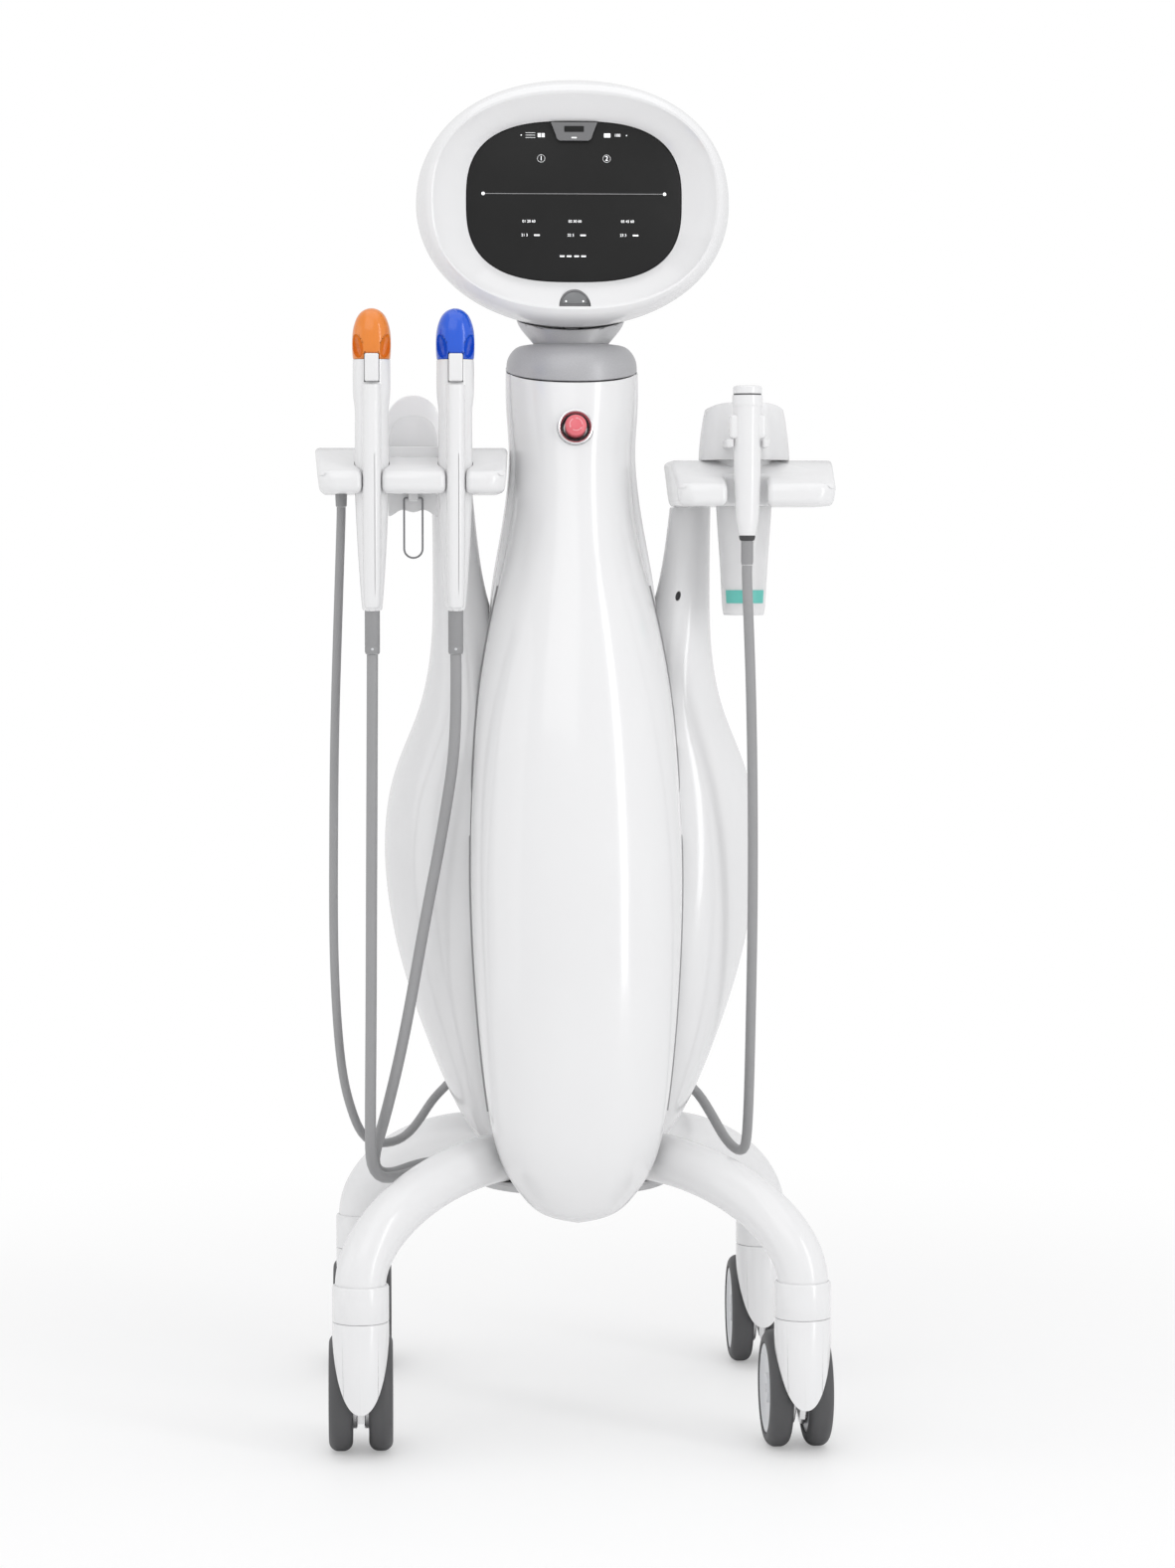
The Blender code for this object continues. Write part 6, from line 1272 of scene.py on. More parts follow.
def make_front_cover():
    cover = wall(loft("pod", [pod_section(row) for row in POD_ROWS], closed=False, capped=False))
    face, axis = stop_face(), stop_axis()
    cut(cover, rod("stop hole", face + axis * OVER, face - axis * OVER * 2, STOP_RADIUS + SEAT, steps=64))
    cut(cover, *leg_holes(CORNERS[:2]))
    show(cover, "frame", "casing_white", "front_cover")
    # Painted shade: a thin dark bead stands just proud of each side of the pod and draws the shadow of the
    # seam gap between pod and petal.
    chosen = [row for row in POD_ROWS if SEAM_SHADE_FOOT < cover_level(row[0]) < SEAM_SHADE_TOP]
    shade_beads = []
    for side in (-1, 1):
        line = []
        for row in chosen:
            x, y, z = max(pod_section(row), key=lambda point: side * point[0])
            line.append((x + side * SEAM_SHADE_PROUD, y + SEAM_SHADE_RADIUS, z))
        shade_beads.append(sweep("seam shade bead", line, SEAM_SHADE_RADIUS, 12))
    show(merged("cover_seam_shade", *shade_beads), "frame", "casing_white", finish="relief")


def make_rear_cover():
    rings = [column_section(pod, row) for pod, row in COLUMN_PAIRS]
    cover = wall(loft("column", rings, closed=False, capped=False))
    back = COLUMN_REACH + OVER
    box = slab(
        "recess box", (-RECESS_HALF_WIDTH - SHELL, RECESS_FLOOR - SHELL, RECESS_FOOT - SHELL),
        (RECESS_HALF_WIDTH + SHELL, back, RECESS_TOP + SHELL),
    )
    outside = [column_section(pod, row, 0, SEAM - pod[3] * POD_REACH) for pod, row in COLUMN_PAIRS]
    fuse(cover, keep(box, loft("column outside", outside)))
    recess_low = (-RECESS_HALF_WIDTH, RECESS_FLOOR, RECESS_FOOT)
    cut(cover, slab("recess", recess_low, (RECESS_HALF_WIDTH, back, RECESS_TOP), bevel=EDGE * 3))
    cut(cover, slab(
        "inlet hole", (-INLET_HALF_WIDTH, RECESS_FLOOR - OVER, RECESS_FOOT + INLET_MARGIN),
        (INLET_HALF_WIDTH, RECESS_FLOOR + OVER, RECESS_TOP - INLET_MARGIN),
    ))
    for level in LOUVRE_LEVELS:
        cut(cover, slab(
            "louvre", (-LOUVRE_HALF_WIDTH, COLUMN_REACH / 2, level - LOUVRE_HALF_HEIGHT),
            (LOUVRE_HALF_WIDTH, back, level + LOUVRE_HALF_HEIGHT), bevel=LOUVRE_ROUND,
        ))
    cut(cover, *leg_holes(CORNERS))
    show(cover, "frame", "casing_white", "rear_cover")


def make_side_cover(side, top):
    label = "left" if side < 0 else "right"
    height = PETAL_TOP - LEG_CREST
    rows = fine(PETAL_SHARES[:-1] + (((top - LEG_CREST) / height, *PETAL_SHARES[-1][1:]),), 9)
    cover = loft("petal_" + label, [
        flat_oval(
            side * centre * PETAL_REACH, centre_y * PETAL_DEPTH, LEG_CREST + rise * height,
            width * PETAL_REACH, depth * PETAL_DEPTH, count=96,
        ) for rise, centre, width, centre_y, depth in rows
    ])
    cut(cover, pod_room(), column_room())
    cut(cover, *leg_holes([corner for corner in CORNERS if corner[1] == side]))
    if side > 0:
        place = at(*SCREW_PLACE) @ spin(SCREW_TURN, "Y") @ Matrix.Diagonal((0.5, 1, 1, 1))
        near, far = [(0, y, 0) for y in SCREW_HOLE_ENDS]
        cut(cover, turned(rod("screw hole", near, far, SCREW_RADIUS + EDGE / 2), place))
        screw = rod("screw", *[(0, y, 0) for y in SCREW_ENDS], SCREW_RADIUS)
        show(turned(screw, place), "frame", "steel", finish="seal")
    root = Vector((side * GLAND_ROOT[0], *GLAND_ROOT[1:]))
    axis = Vector((side * GLAND_AXIS[0], *GLAND_AXIS[1:]))
    ends = root - axis * SHELL, root + axis * GLAND_LENGTH
    gland = rod("petal_gland_" + label, *ends, GLAND_RADIUS, GLAND_RADIUS * 0.8)
    show(cover, "frame", "casing_white", "side_cover_" + label)
    show(soften(gland), "frame", "casing_white")


# Neck and head

def make_neck_cap():
    def ring(level, half_x, half_y, y, sloped):
        points = flat_oval(0, y, level, half_x, half_y, power=2.1, count=96)
        return [(px, py, pz + sloped * SLOPE * py) for px, py, pz in points]

    low = COVER_TOP + SEAM + SHELL * SLOPE
    height = CAP_CREST - COVER_TOP
    hole = SPIGOT_RADIUS + FIT
    outer = fine((
        (low, CAP_HALF_WIDTH, CAP_HALF_DEPTH, 0, 1),
        (low + height * 0.35, CAP_HALF_WIDTH * 0.985, CAP_HALF_DEPTH * 0.985, 0, 0.7),
        (low + height * 0.68, CAP_HALF_WIDTH * 0.91, CAP_HALF_DEPTH * 0.92, NECK_Y * 0.2, 0.3),
        (low + height * 0.88, CAP_HALF_WIDTH * 0.80, CAP_HALF_DEPTH * 0.80, NECK_Y * 0.6, 0.1),
        (CAP_CREST, CAP_CREST_RADIUS, CAP_CREST_RADIUS, NECK_Y, 0),
    ), 6)
    inner = (
        (CAP_CREST, hole, hole, NECK_Y, 0), (CAP_CREST - SHELL, hole, hole, NECK_Y, 0),
        (CAP_CREST - SHELL, CAP_CREST_RADIUS, CAP_CREST_RADIUS, NECK_Y, 0),
        (low + height * 0.60, CAP_HALF_WIDTH * 0.86, CAP_HALF_DEPTH * 0.86, NECK_Y * 0.2, 0.3),
        (low, CAP_HALF_WIDTH - SHELL, CAP_HALF_DEPTH - SHELL, 0, 1),
    )
    cap = loft("shoulder_cap", [ring(*row) for row in (*outer, *inner)], looped=True)
    show(cap, "frame", "satin_grey", "neck_cap")


def make_neck():
    """The neck with its cup, spigot and hinge post. Gives how far the post leans."""
    base = CAP_CREST + SEAT
    neck = loft("neck_cup", [
        flat_oval(
            0, NECK_Y + (back * CUP_BACK - front * CUP_FRONT) / 2, base + (CUP_TOP - base) * rise,
            width * CUP_HALF_WIDTH, (back * CUP_BACK + front * CUP_FRONT) / 2, count=96,
        ) for rise, width, front, back in fine(CUP_SHARES, 6)
    ])
    rooms = []
    for gap in (CUP_FIT, CUP_GAP):
        scale = (HEAD_HALF_HEIGHT + gap) / HEAD_HALF_HEIGHT
        half_sizes = (HEAD_HALF_WIDTH * scale, HEAD_HALF_HEIGHT * scale, HEAD_HALF_HEIGHT * scale)
        rooms.append(ball("head room", (0, PIVOT_Y, HEAD_Z), half_sizes, 128))
    keep(rooms[1], slab("front", (-HEAD_HALF_WIDTH, -0.1, base), (HEAD_HALF_WIDTH, PIVOT_Y + EDGE, HEAD_Z)))
    cut(neck, *rooms)
    foot, pivot = Vector((0, NECK_Y, CAP_CREST + SHELL * 3)), Vector((0, PIVOT_Y, HEAD_Z))
    lean = atan2(foot.y - pivot.y, pivot.z - foot.z)
    length = (pivot - foot).length
    post = slab("post", (-POST_HALF, -POST_HALF, -length), (POST_HALF, POST_HALF, 0), bevel=EDGE)
    turned(post, at(*pivot) @ spin(lean, "X"))
    eye = cross_rod("eye", -EYE_HALF, EYE_HALF, pivot.yz, EYE_RADIUS)
    spigot = rod("spigot", (0, NECK_Y, SPIGOT_FOOT), (0, NECK_Y, base + SHELL), SPIGOT_RADIUS)
    fuse(neck, post, eye, spigot)
    cut(neck, cross_rod("bore", -OVER * 2, OVER * 2, pivot.yz, PIN_RADIUS + SEAT))
    show(soften(neck, EDGE * 0.7, angle=50), "neck", "satin_grey", "neck", finish="cup")
    tilt_pin = turned(pin("hinge_pin", PIN_RADIUS, PIN_HALF, EDGE / 2), at(*pivot) @ spin(pi / 2, "Y"))
    show(tilt_pin, "neck", "steel", "tilt_pin")
    return lean


def sensor_outline(grow=0.0):
    foot = HEAD_Z - SENSOR_DROP - grow
    radius, height = SENSOR_RADIUS + grow, SENSOR_HEIGHT + 2 * grow
    return [(radius * cos(turn), foot + height * sin(turn)) for turn in even(0, pi, 36)]


def make_bezel():
    rings = []
    for forward, width, height, power in fine(RING_SHARES, 8) + fine(DISH_SHARES, 10) + list(UNDER_SHARES):
        y = WIDEST_Y - forward * BEZEL_DEPTH
        rings.append(upright_oval(y, width * HEAD_HALF_WIDTH, height * HEAD_HALF_HEIGHT, power, 160))
    bezel = loft("bezel", rings, looped=True)
    front = WIDEST_Y - SENSOR_FRONT
    cut(bezel, prism("sensor room", sensor_outline(SEAT), front - OVER * 3, front + SENSOR_DEPTH + OVER))
    show(bezel, "head", "casing_white", "head_bezel", crease=32)
    rim = prism("sensor_frame", sensor_outline(), front, front + SENSOR_DEPTH)
    cut(rim, prism("sensor face room", sensor_outline(-SENSOR_RIM), front - OVER, front + EDGE))
    show(soften(rim, SEAT, 2), "head", "black_plastic", "sensor_window", finish="camera")
    face = prism("sensor_face", sensor_outline(-SENSOR_RIM - SEAT), front + SEAT, front + EDGE * 2)
    show(soften(face, SEAT, 2), "head", "black_plastic", finish="sensor")
    level = HEAD_Z - SENSOR_EYE_DROP
    eyes = []
    for x in (-SENSOR_EYE_X, SENSOR_EYE_X):
        ends = (x, front + SEAT * 1.2, level), (x, front + SEAT / 2, level)
        eyes.append(rod("sensor eye", *ends, SENSOR_EYE_RADIUS, steps=20))
    show(merged("sensor_eyes", *eyes), "head", "black_plastic", finish="glow")


def make_head_back(lean):
    half_x, half_z = HEAD_HALF_WIDTH, HEAD_HALF_HEIGHT
    rings = [upright_oval(y, half_x, half_z) for y in (WIDEST_Y + SEAM, (WIDEST_Y + PIVOT_Y) / 2)]
    rows = [(sin(turn), cos(turn)) for turn in even(0, BACK_TURN, 30)]
    rows += fine((rows[-1], *BACK_END_SHARES), 6)[1:] + [(BACK_END_SHARES[-1][0], 0.0)]
    rings += [upright_oval(PIVOT_Y + half_z * back, half_x * share, half_z * share) for back, share in rows]
    rear = wall(loft("head_back", rings, capped=False))
    margin = asin((POST_HALF + SHELL / 2) / (half_z - SHELL))
    turns = even(lean - TILT_DOWN - margin, lean + TILT_BACK + margin, 12)
    near, far = half_z * 0.9, half_z * 1.1
    fan = [(PIVOT_Y + near * sin(turn), HEAD_Z - near * cos(turn)) for turn in turns]
    fan += [(PIVOT_Y + far * sin(turn), HEAD_Z - far * cos(turn)) for turn in reversed(turns)]
    cut(rear, prism("post slot", fan, -POST_HALF - SHELL / 2, POST_HALF + SHELL / 2, axis="X"))
    for level in SLIT_LEVELS:
        cut(rear, slab(
            "slit", (-SLIT_HALF_WIDTH, PIVOT_Y + half_z / 2, level - SLIT_HALF_HEIGHT),
            (SLIT_HALF_WIDTH, PIVOT_Y + half_z + OVER, level + SLIT_HALF_HEIGHT), bevel=SLIT_ROUND,
        ))
    show(rear, "head", "casing_white", "head_rear_cover")


def make_display():
    back = SCREEN_Y + SCREEN_THICKNESS
    display = loft("display_glass", [
        upright_oval(y, SCREEN_HALF_WIDTH - inset, SCREEN_HALF_HEIGHT - inset, SCREEN_POWER, 160)
        for y, inset in ((SCREEN_Y, EDGE), (SCREEN_Y + EDGE / 3, EDGE / 3), (SCREEN_Y + EDGE, 0), (back, 0))
    ])
    turns = even(-pi / 2, pi / 2, 24)
    outline = [(PIVOT_Y + EAR_RADIUS * cos(turn), HEAD_Z + EAR_RADIUS * sin(turn)) for turn in turns]
    outline += [(back - SHELL, HEAD_Z + EAR_RADIUS), (back - SHELL, HEAD_Z - EAR_RADIUS)]
    for side in (-1, 1):
        inner = side * (EYE_HALF + FIT)
        fuse(display, prism("ear", outline, inner, inner + side * EAR_THICKNESS, axis="X"))
    cut(display, cross_rod("ear bore", -BORE_REACH, BORE_REACH, (PIVOT_Y, HEAD_Z), PIN_RADIUS + SEAT))
    show(display, "head", "black_glass", "display_module")


def make_camera_cover():
    top = HEAD_Z + SCREEN_HALF_HEIGHT - SEAT * 2
    x, z = CAMERA_HALF_WIDTH - CAMERA_CORNER * 2, top - CAMERA_HEIGHT + CAMERA_CORNER
    right = [(x + CAMERA_CORNER * sin(turn), z - CAMERA_CORNER * cos(turn)) for turn in even(0, pi / 2, 8)]
    right.append((CAMERA_HALF_WIDTH, top))
    plate = prism("camera_cover", right[::-1] + mirrored(right[::-1]), CAMERA_FRONT, SCREEN_Y - SEAT)
    show(soften(plate, CAMERA_ROUND), "head", "clear_grey", "camera_module", finish="camera")
    for name, (half, low, high, proud, bevel), slot, finish in (
        ("camera_lens", LENS, "black_glass", None), ("camera_mark", DASH, "clear_grey", "glow"),
    ):
        corners = (-half, CAMERA_FRONT - proud, top - low), (half, CAMERA_FRONT + EDGE, top - high)
        show(slab(name, *corners, bevel), "head", slot, finish=finish)


def on_screen(x, z):
    return x * SCREEN_HALF_WIDTH, HEAD_Z + z * SCREEN_HALF_HEIGHT


def upright_at(x, z):
    """Stands a flat shape up in front of a place of the screen."""
    across, level = on_screen(x, z)
    return at(across, SCREEN_Y - MARK_MIDDLE, level) @ spin(pi / 2, "X")


def mark(x, z, half_x, half_z, name="mark"):
    """A bright bar on the screen."""
    across, level = on_screen(x, z)
    low = (across - half_x, SCREEN_Y - MARK_FRONT, level - half_z)
    return slab(name, low, (across + half_x, SCREEN_Y - MARK_BACK, level + half_z))


def dot(x, z, radius):
    across, level = on_screen(x, z)
    ends = (across, SCREEN_Y - MARK_BACK, level), (across, SCREEN_Y - DOT_FRONT, level)
    return rod("dot", *ends, radius, steps=32)


def circle(x, z):
    near, far, half = CIRCLE_RADIUS, CIRCLE_RADIUS + CIRCLE_LINE, MARK_HALF_DEPTH
    edges = ringed([(near, -half), (far, -half), (far, half), (near, half)])
    return turned(lathe("circle", edges, 48), upright_at(x, z))


def figures(text, x, z, size):
    """Plain figures as a thin solid, centred on a place of the screen."""
    curve = bpy.data.curves.new("figures", "FONT")
    curve.body, curve.size, curve.extrude = text, size, MARK_HALF_DEPTH
    curve.align_x, curve.align_y = "CENTER", "CENTER"
    source = linked("figures", curve)
    mesh = evaluated(source)
    bpy.data.objects.remove(source)
    bm = bmesh.new()
    bm.from_mesh(mesh)
    bmesh.ops.remove_doubles(bm, verts=bm.verts, dist=WELD)
    bmesh.ops.transform(bm, matrix=upright_at(x, z), verts=bm.verts)
    return make("figures", bm)


def make_screen_marks():
    line = mark(0, LINE_RISE, LINE_HALF_WIDTH, LINE_HALF, "screen_line")
    show(line, "head", "black_glass", finish="faint")
    x, z = CIRCLE_PLACE
    pieces = [dot(side * LINE_END, LINE_RISE, LINE_DOT) for side in (-1, 1)]
    pieces += [circle(side * x, z) for side in (-1, 1)]
    pieces += [figures("1", -x, z, CIRCLE_FIGURE), figures("2", x, z, CIRCLE_FIGURE)]
    pieces += [dot(side * BAR_END, BAR_RISE, BAR_DOT) for side in (-1, 1)]
    pieces += [mark(*place, MENU_HALF_WIDTH, LINE_HALF) for place in MENU_PLACES]
    pieces += [mark(x, rise, *TILE_HALF_SIZES) for x in TILE_X for rise in TILE_RISES]
    pieces.append(mark(CHARGE_X, BAR_RISE, *CHARGE_HALF_SIZES))
    pieces.append(figures("100", CHARGE_FIGURE_X, BAR_RISE, CHARGE_FIGURE))
    top, low = READING_RISES
    for x, first, second in READING_ROWS:
        pieces.append(figures(first, x, top, READING_SIZE))
        pieces.append(figures(second, x + READING_SHIFT, low, READING_SIZE))
        pieces.append(mark(x + UNIT_SHIFT, low, *UNIT_HALF_SIZES))
    pieces += [mark(*place, *STATE_HALF_SIZES) for place in STATE_PLACES]
    show(merged("screen_marks", *pieces), "head", "black_glass", finish="glow")


# Emergency stop

def make_stop():
    axis, face = stop_axis(), stop_face()
    place = Matrix.Translation(face) @ axis.to_track_quat("Z", "Y").to_matrix().to_4x4()
    bore, lip, proud = BUTTON_STEM + FIT, STOP_LIP, STOP_PROUD
    collar = lathe("stop_ring", ringed([
        (bore, -STOP_DEPTH), (STOP_RADIUS, -STOP_DEPTH), (STOP_RADIUS, proud - lip * 0.55),
        (STOP_RADIUS - lip * 0.15, proud - lip * 0.15), (STOP_RADIUS - lip * 0.5, proud),
        (STOP_RADIUS - lip * 0.9, proud - lip * 0.15), (STOP_BORE + WELL_WALL, proud - lip * 1.6),
        (STOP_BORE, proud - lip * 2), (STOP_BORE, STOP_FLOOR), (bore, STOP_FLOOR),
    ]), 96)
    show(turned(collar, place), "frame", "light_metal", "stop_collar")
    outer, inner = STOP_BORE - WELL_GAP, STOP_BORE - WELL_GAP - WELL_WALL
    well = lathe("stop_well", ringed([
        (STOP_BORE + EDGE, proud - lip * 1.35), (outer, proud - lip * 2.0), (outer, WELL_FOOT),
        (inner, WELL_FOOT), (inner, proud - lip * 1.9), (STOP_BORE + WELL_WALL, proud - lip * 1.25),
    ]), 96)
    show(turned(well, place), "frame", "black_plastic")
    top, under = proud + BUTTON_HEIGHT / 2 + lip, proud - BUTTON_HEIGHT / 2
    crown = fine((
        (0.0, top + lip * 0.5), (BUTTON_RADIUS * 0.55, top + lip * 0.35),
        (BUTTON_RADIUS * 0.88, top - lip * 0.20), (BUTTON_RADIUS, top - lip), (BUTTON_RADIUS, top - lip * 2),
    ), 8)
    button = lathe("stop_mushroom", crown + [
        (BUTTON_RADIUS, under + EDGE), (BUTTON_RADIUS - EDGE, under), (BUTTON_STEM, under),
        (BUTTON_STEM, BUTTON_FOOT), (0, BUTTON_FOOT),
    ], 96)
    show(turned(button, place), "stop_button", "stop_red", "stop_button")
    arrows = []
    for start in (0, 2 * pi / 3, 4 * pi / 3):
        turns = even(start, start + ARROW_ARC, 10)
        flat = [(ARROW_RADIUS * cos(turn), ARROW_RADIUS * sin(turn)) for turn in turns]
        line = [Vector((x, y, top + lip * 0.30)) for x, y in flat]
        ahead = Vector((-sin(turns[-1]), cos(turns[-1]), 0))
        arrows.append(sweep("arc", line, ARROW_LINE, 10))
        arrows.append(rod("arrow head", line[-1], line[-1] + ahead * ARROW_HEAD, *ARROW_HEAD_RADII, 12))
    show(turned(merged("stop_arrows", *arrows), place), "stop_button", "stop_red", finish="arrow")


# Trays

def tray_bar(name, start, end, level):
    """The bar of a tray. Its ends lean in, and a facet that widens downward cuts its front corners."""
    depth = TRAY_FRONT + TRAY_BACK
    rings = []
    for x, side, inset in ((start, 1, 0), (start, 1, 1), (end, -1, 1), (end, -1, 0)):
        ring = []
        for back, drop in TRAY_SHARES:
            facet = (TRAY_FACET + TRAY_FACET * 1.6 * drop) * (back < 0.3)
            lean = TRAY_END_SLANT * drop + (facet if inset else 0)
            y = back * depth - TRAY_FRONT + (0 if inset else facet * 0.8)
            ring.append((x + side * lean, y, level - drop * TRAY_HEIGHT))
        rings.append(ring)
    return loft(name, rings)


def handpiece_ring(shares, x, grow=0.0):
    drop, width, depth = shares
    return flat_oval(
        x, HANDPIECE_Y, HANDPIECE_TOP - drop * HANDPIECE_LENGTH, width * HANDPIECE_HALF_WIDTH + grow,
        depth * HANDPIECE_HALF_DEPTH + grow, HANDPIECE_POWER,
    )


def skirt_ring(share):
    """The skirt's outline at a share of its width. Its lower edge waves."""
    corner = EDGE * 1.5
    under = TRAY_LEVEL - TRAY_HEIGHT
    lift = (1 - cos(4 * pi * share)) / 2 + sin(pi * share) ** 2
    x, low = SKIRT_X + (2 * share - 1) * SKIRT_HALF_WIDTH, under - SKIRT_HEIGHT + SKIRT_WAVE * lift
    front = [(0, under + SHELL), (0, low + corner), (corner / 3, low + corner / 3), (corner, low)]
    back = [(SKIRT_THICKNESS - y, z) for y, z in reversed(front)]
    return [(x, y - SKIRT_FRONT, z) for y, z in front + back]


def bail_axis():
    """Y and Z of the bail's hinge."""
    return -SKIRT_FRONT - LUG_DEPTH / 2, TRAY_LEVEL - TRAY_HEIGHT - LUG_HEIGHT / 2


def make_left_tray():
    level, under = TRAY_LEVEL, TRAY_LEVEL - TRAY_HEIGHT
    tray = tray_bar("rest_left", -TRAY_OUTER, -TRAY_LEFT_INNER, level)
    half = KEEL_HALF_WIDTH + KEEL_ROOM
    for x in HANDPIECE_X.values():
        low = (x - half, -TRAY_FRONT - OVER, under - OVER)
        cut(tray, slab("slot", low, (x + half, HANDPIECE_Y, level + OVER)))
    soften(tray, TRAY_ROUND, 5, angle=25)
    ledge_top = level + LEDGE_RISE
    fuse(tray, slab(
        "ledge", (SKIRT_X - LEDGE_HALF_WIDTH, -LEDGE_FRONT, ledge_top - LEDGE_HEIGHT),
        (SKIRT_X + LEDGE_HALF_WIDTH, SEAM - REST_BACK, ledge_top), bevel=EDGE,
    ))
    for x in HANDPIECE_X.values():
        cut(tray, loft("pocket", [handpiece_ring(row, x, FIT) for row in fine(HANDPIECE_SHARES[3:9], 3)]))
    show(tray, "frame", "casing_white", "tray_left")
    skirt = loft("tray_skirt", [skirt_ring(share) for share in even(0, 1, 48)])
    show(soften(skirt, EDGE, 3, 60), "frame", "casing_white")
    lug = slab(
        "bail_lug", (SKIRT_X - LUG_HALF_WIDTH, -SKIRT_FRONT - LUG_DEPTH, under - LUG_HEIGHT),
        (SKIRT_X + LUG_HALF_WIDTH, SHELL - SKIRT_FRONT, under + SHELL / 2), bevel=EDGE,
    )
    cut(lug, cross_rod("lug hole", SKIRT_X - BORE_REACH, SKIRT_X + BORE_REACH, bail_axis(), LUG_HOLE, 24))
    show(lug, "frame", "casing_white")
    ends = (*TRAY_GLAND, under + SHELL), (*TRAY_GLAND, under - TRAY_GLAND_LENGTH)
    gland = rod("tray_gland", *ends, GLAND_RADIUS * 0.62, GLAND_RADIUS * 0.55)
    show(soften(gland), "frame", "casing_white", finish="relief")


def make_right_tray():
    level = TRAY_LEVEL - TRAY_DROP
    under = level - TRAY_HEIGHT
    tray = tray_bar("rest_right", TRAY_RIGHT_INNER, TRAY_OUTER, level)
    corner = SLOT_HALF_WIDTH / 3
    half, y = SLOT_HALF_WIDTH - corner, -SLOT_BACK - corner
    right = [(half + corner * cos(turn), y + corner * sin(turn)) for turn in even(0, pi / 2, 12)]
    right.insert(0, (SLOT_HALF_WIDTH, -TRAY_FRONT - OVER))
    outline = [(SLIM_X + x, y) for x, y in right + mirrored(right)]
    cut(tray, prism("slot", outline, under - OVER, level + OVER, axis="Z"))
    soften(tray, TRAY_ROUND, 5, angle=25)
    width, depth = HOLSTER_LOWER_SHARES[-1][1:]
    half_x, half_y = width * HOLSTER_HALF_WIDTH + SEAT, depth * HOLSTER_HALF_DEPTH + SEAT
    heights = (under - OVER, level + OVER)
    hole = [flat_oval(HOLSTER_X, HOLSTER_Y, height, half_x, half_y, HOLSTER_POWER) for height in heights]
    cut(tray, loft("holster hole", hole))
    show(tray, "frame", "casing_white", "tray_right")


def make_bail():
    y, z = bail_axis()
    corner = BAIL_WIRE * 2.4
    near = BAIL_LEG_X - corner
    right = [(BAIL_LEG_X - BAIL_PIN, 0)]
    right += [(near + corner * sin(turn), corner * cos(turn) - corner) for turn in even(0, pi / 2, 6)]
    foot = BAIL_LEG_X - BAIL_LENGTH
    bow = [(BAIL_LEG_X * cos(turn), foot - BAIL_LEG_X * sin(turn)) for turn in even(0, pi, 24)]
    line = [(SKIRT_X + x, y, z + rise) for x, rise in right + bow + mirrored(right)]
    show(sweep("bail_wire", line, BAIL_WIRE, 16), "wire_bail", "steel", "wire_bail", finish="wire")


def make_dome():
    foot = TRAY_LEVEL + LEDGE_RISE + SEAT
    shoulder, half = foot + REST_HEIGHT - REST_HALF_WIDTH, REST_HALF_WIDTH
    outline = [(SKIRT_X - half, foot), (SKIRT_X + half, foot)]
    outline += [(SKIRT_X + half * cos(turn), shoulder + half * sin(turn)) for turn in even(0, pi, 48)]
    front = -REST_BACK - REST_THICKNESS
    plate = prism("dome_back", outline, front, -REST_BACK)
    # The plate's whiter finish is partly painted light against the handpieces' shade.
    show(soften(plate, EDGE * 1.6, 4, 50), "frame", "casing_white", "cup_rest", finish="rest")
    back = front - SEAT
    rows = [oval(turn, 1, 1, DOME_POWER) for turn in even(0, pi / 2, 24)]
    shapes = []
    for inset in (0, DOME_WALL):
        half_x, half_y, height = DOME_HALF_WIDTH - inset, DOME_DEPTH - inset, DOME_HEIGHT - inset
        shapes.append(loft("dome", [
            flat_oval(SKIRT_X, back, foot + height * rise, half_x * width, half_y * width)
            for width, rise in rows
        ]))
    dome = cut(*shapes)
    half_x, depth, height = QUARTER_SIZES
    low = (SKIRT_X - half_x, back - depth, foot)
    keep(dome, slab("quarter", low, (SKIRT_X + half_x, back, foot + height)))
    show(dome, "frame", "clear_grey", "gel_dome", finish="dome")


# Handpieces

def keel_ring(shares, x):
    drop, width, reach = shares
    front, back = reach * KEEL_FRONT, -HANDPIECE_HALF_DEPTH * 0.2
    level = HANDPIECE_TOP - drop * HANDPIECE_LENGTH
    return flat_oval(
        x, HANDPIECE_Y - (front + back) / 2, level, width * KEEL_HALF_WIDTH, (front - back) / 2, KEEL_POWER,
    )


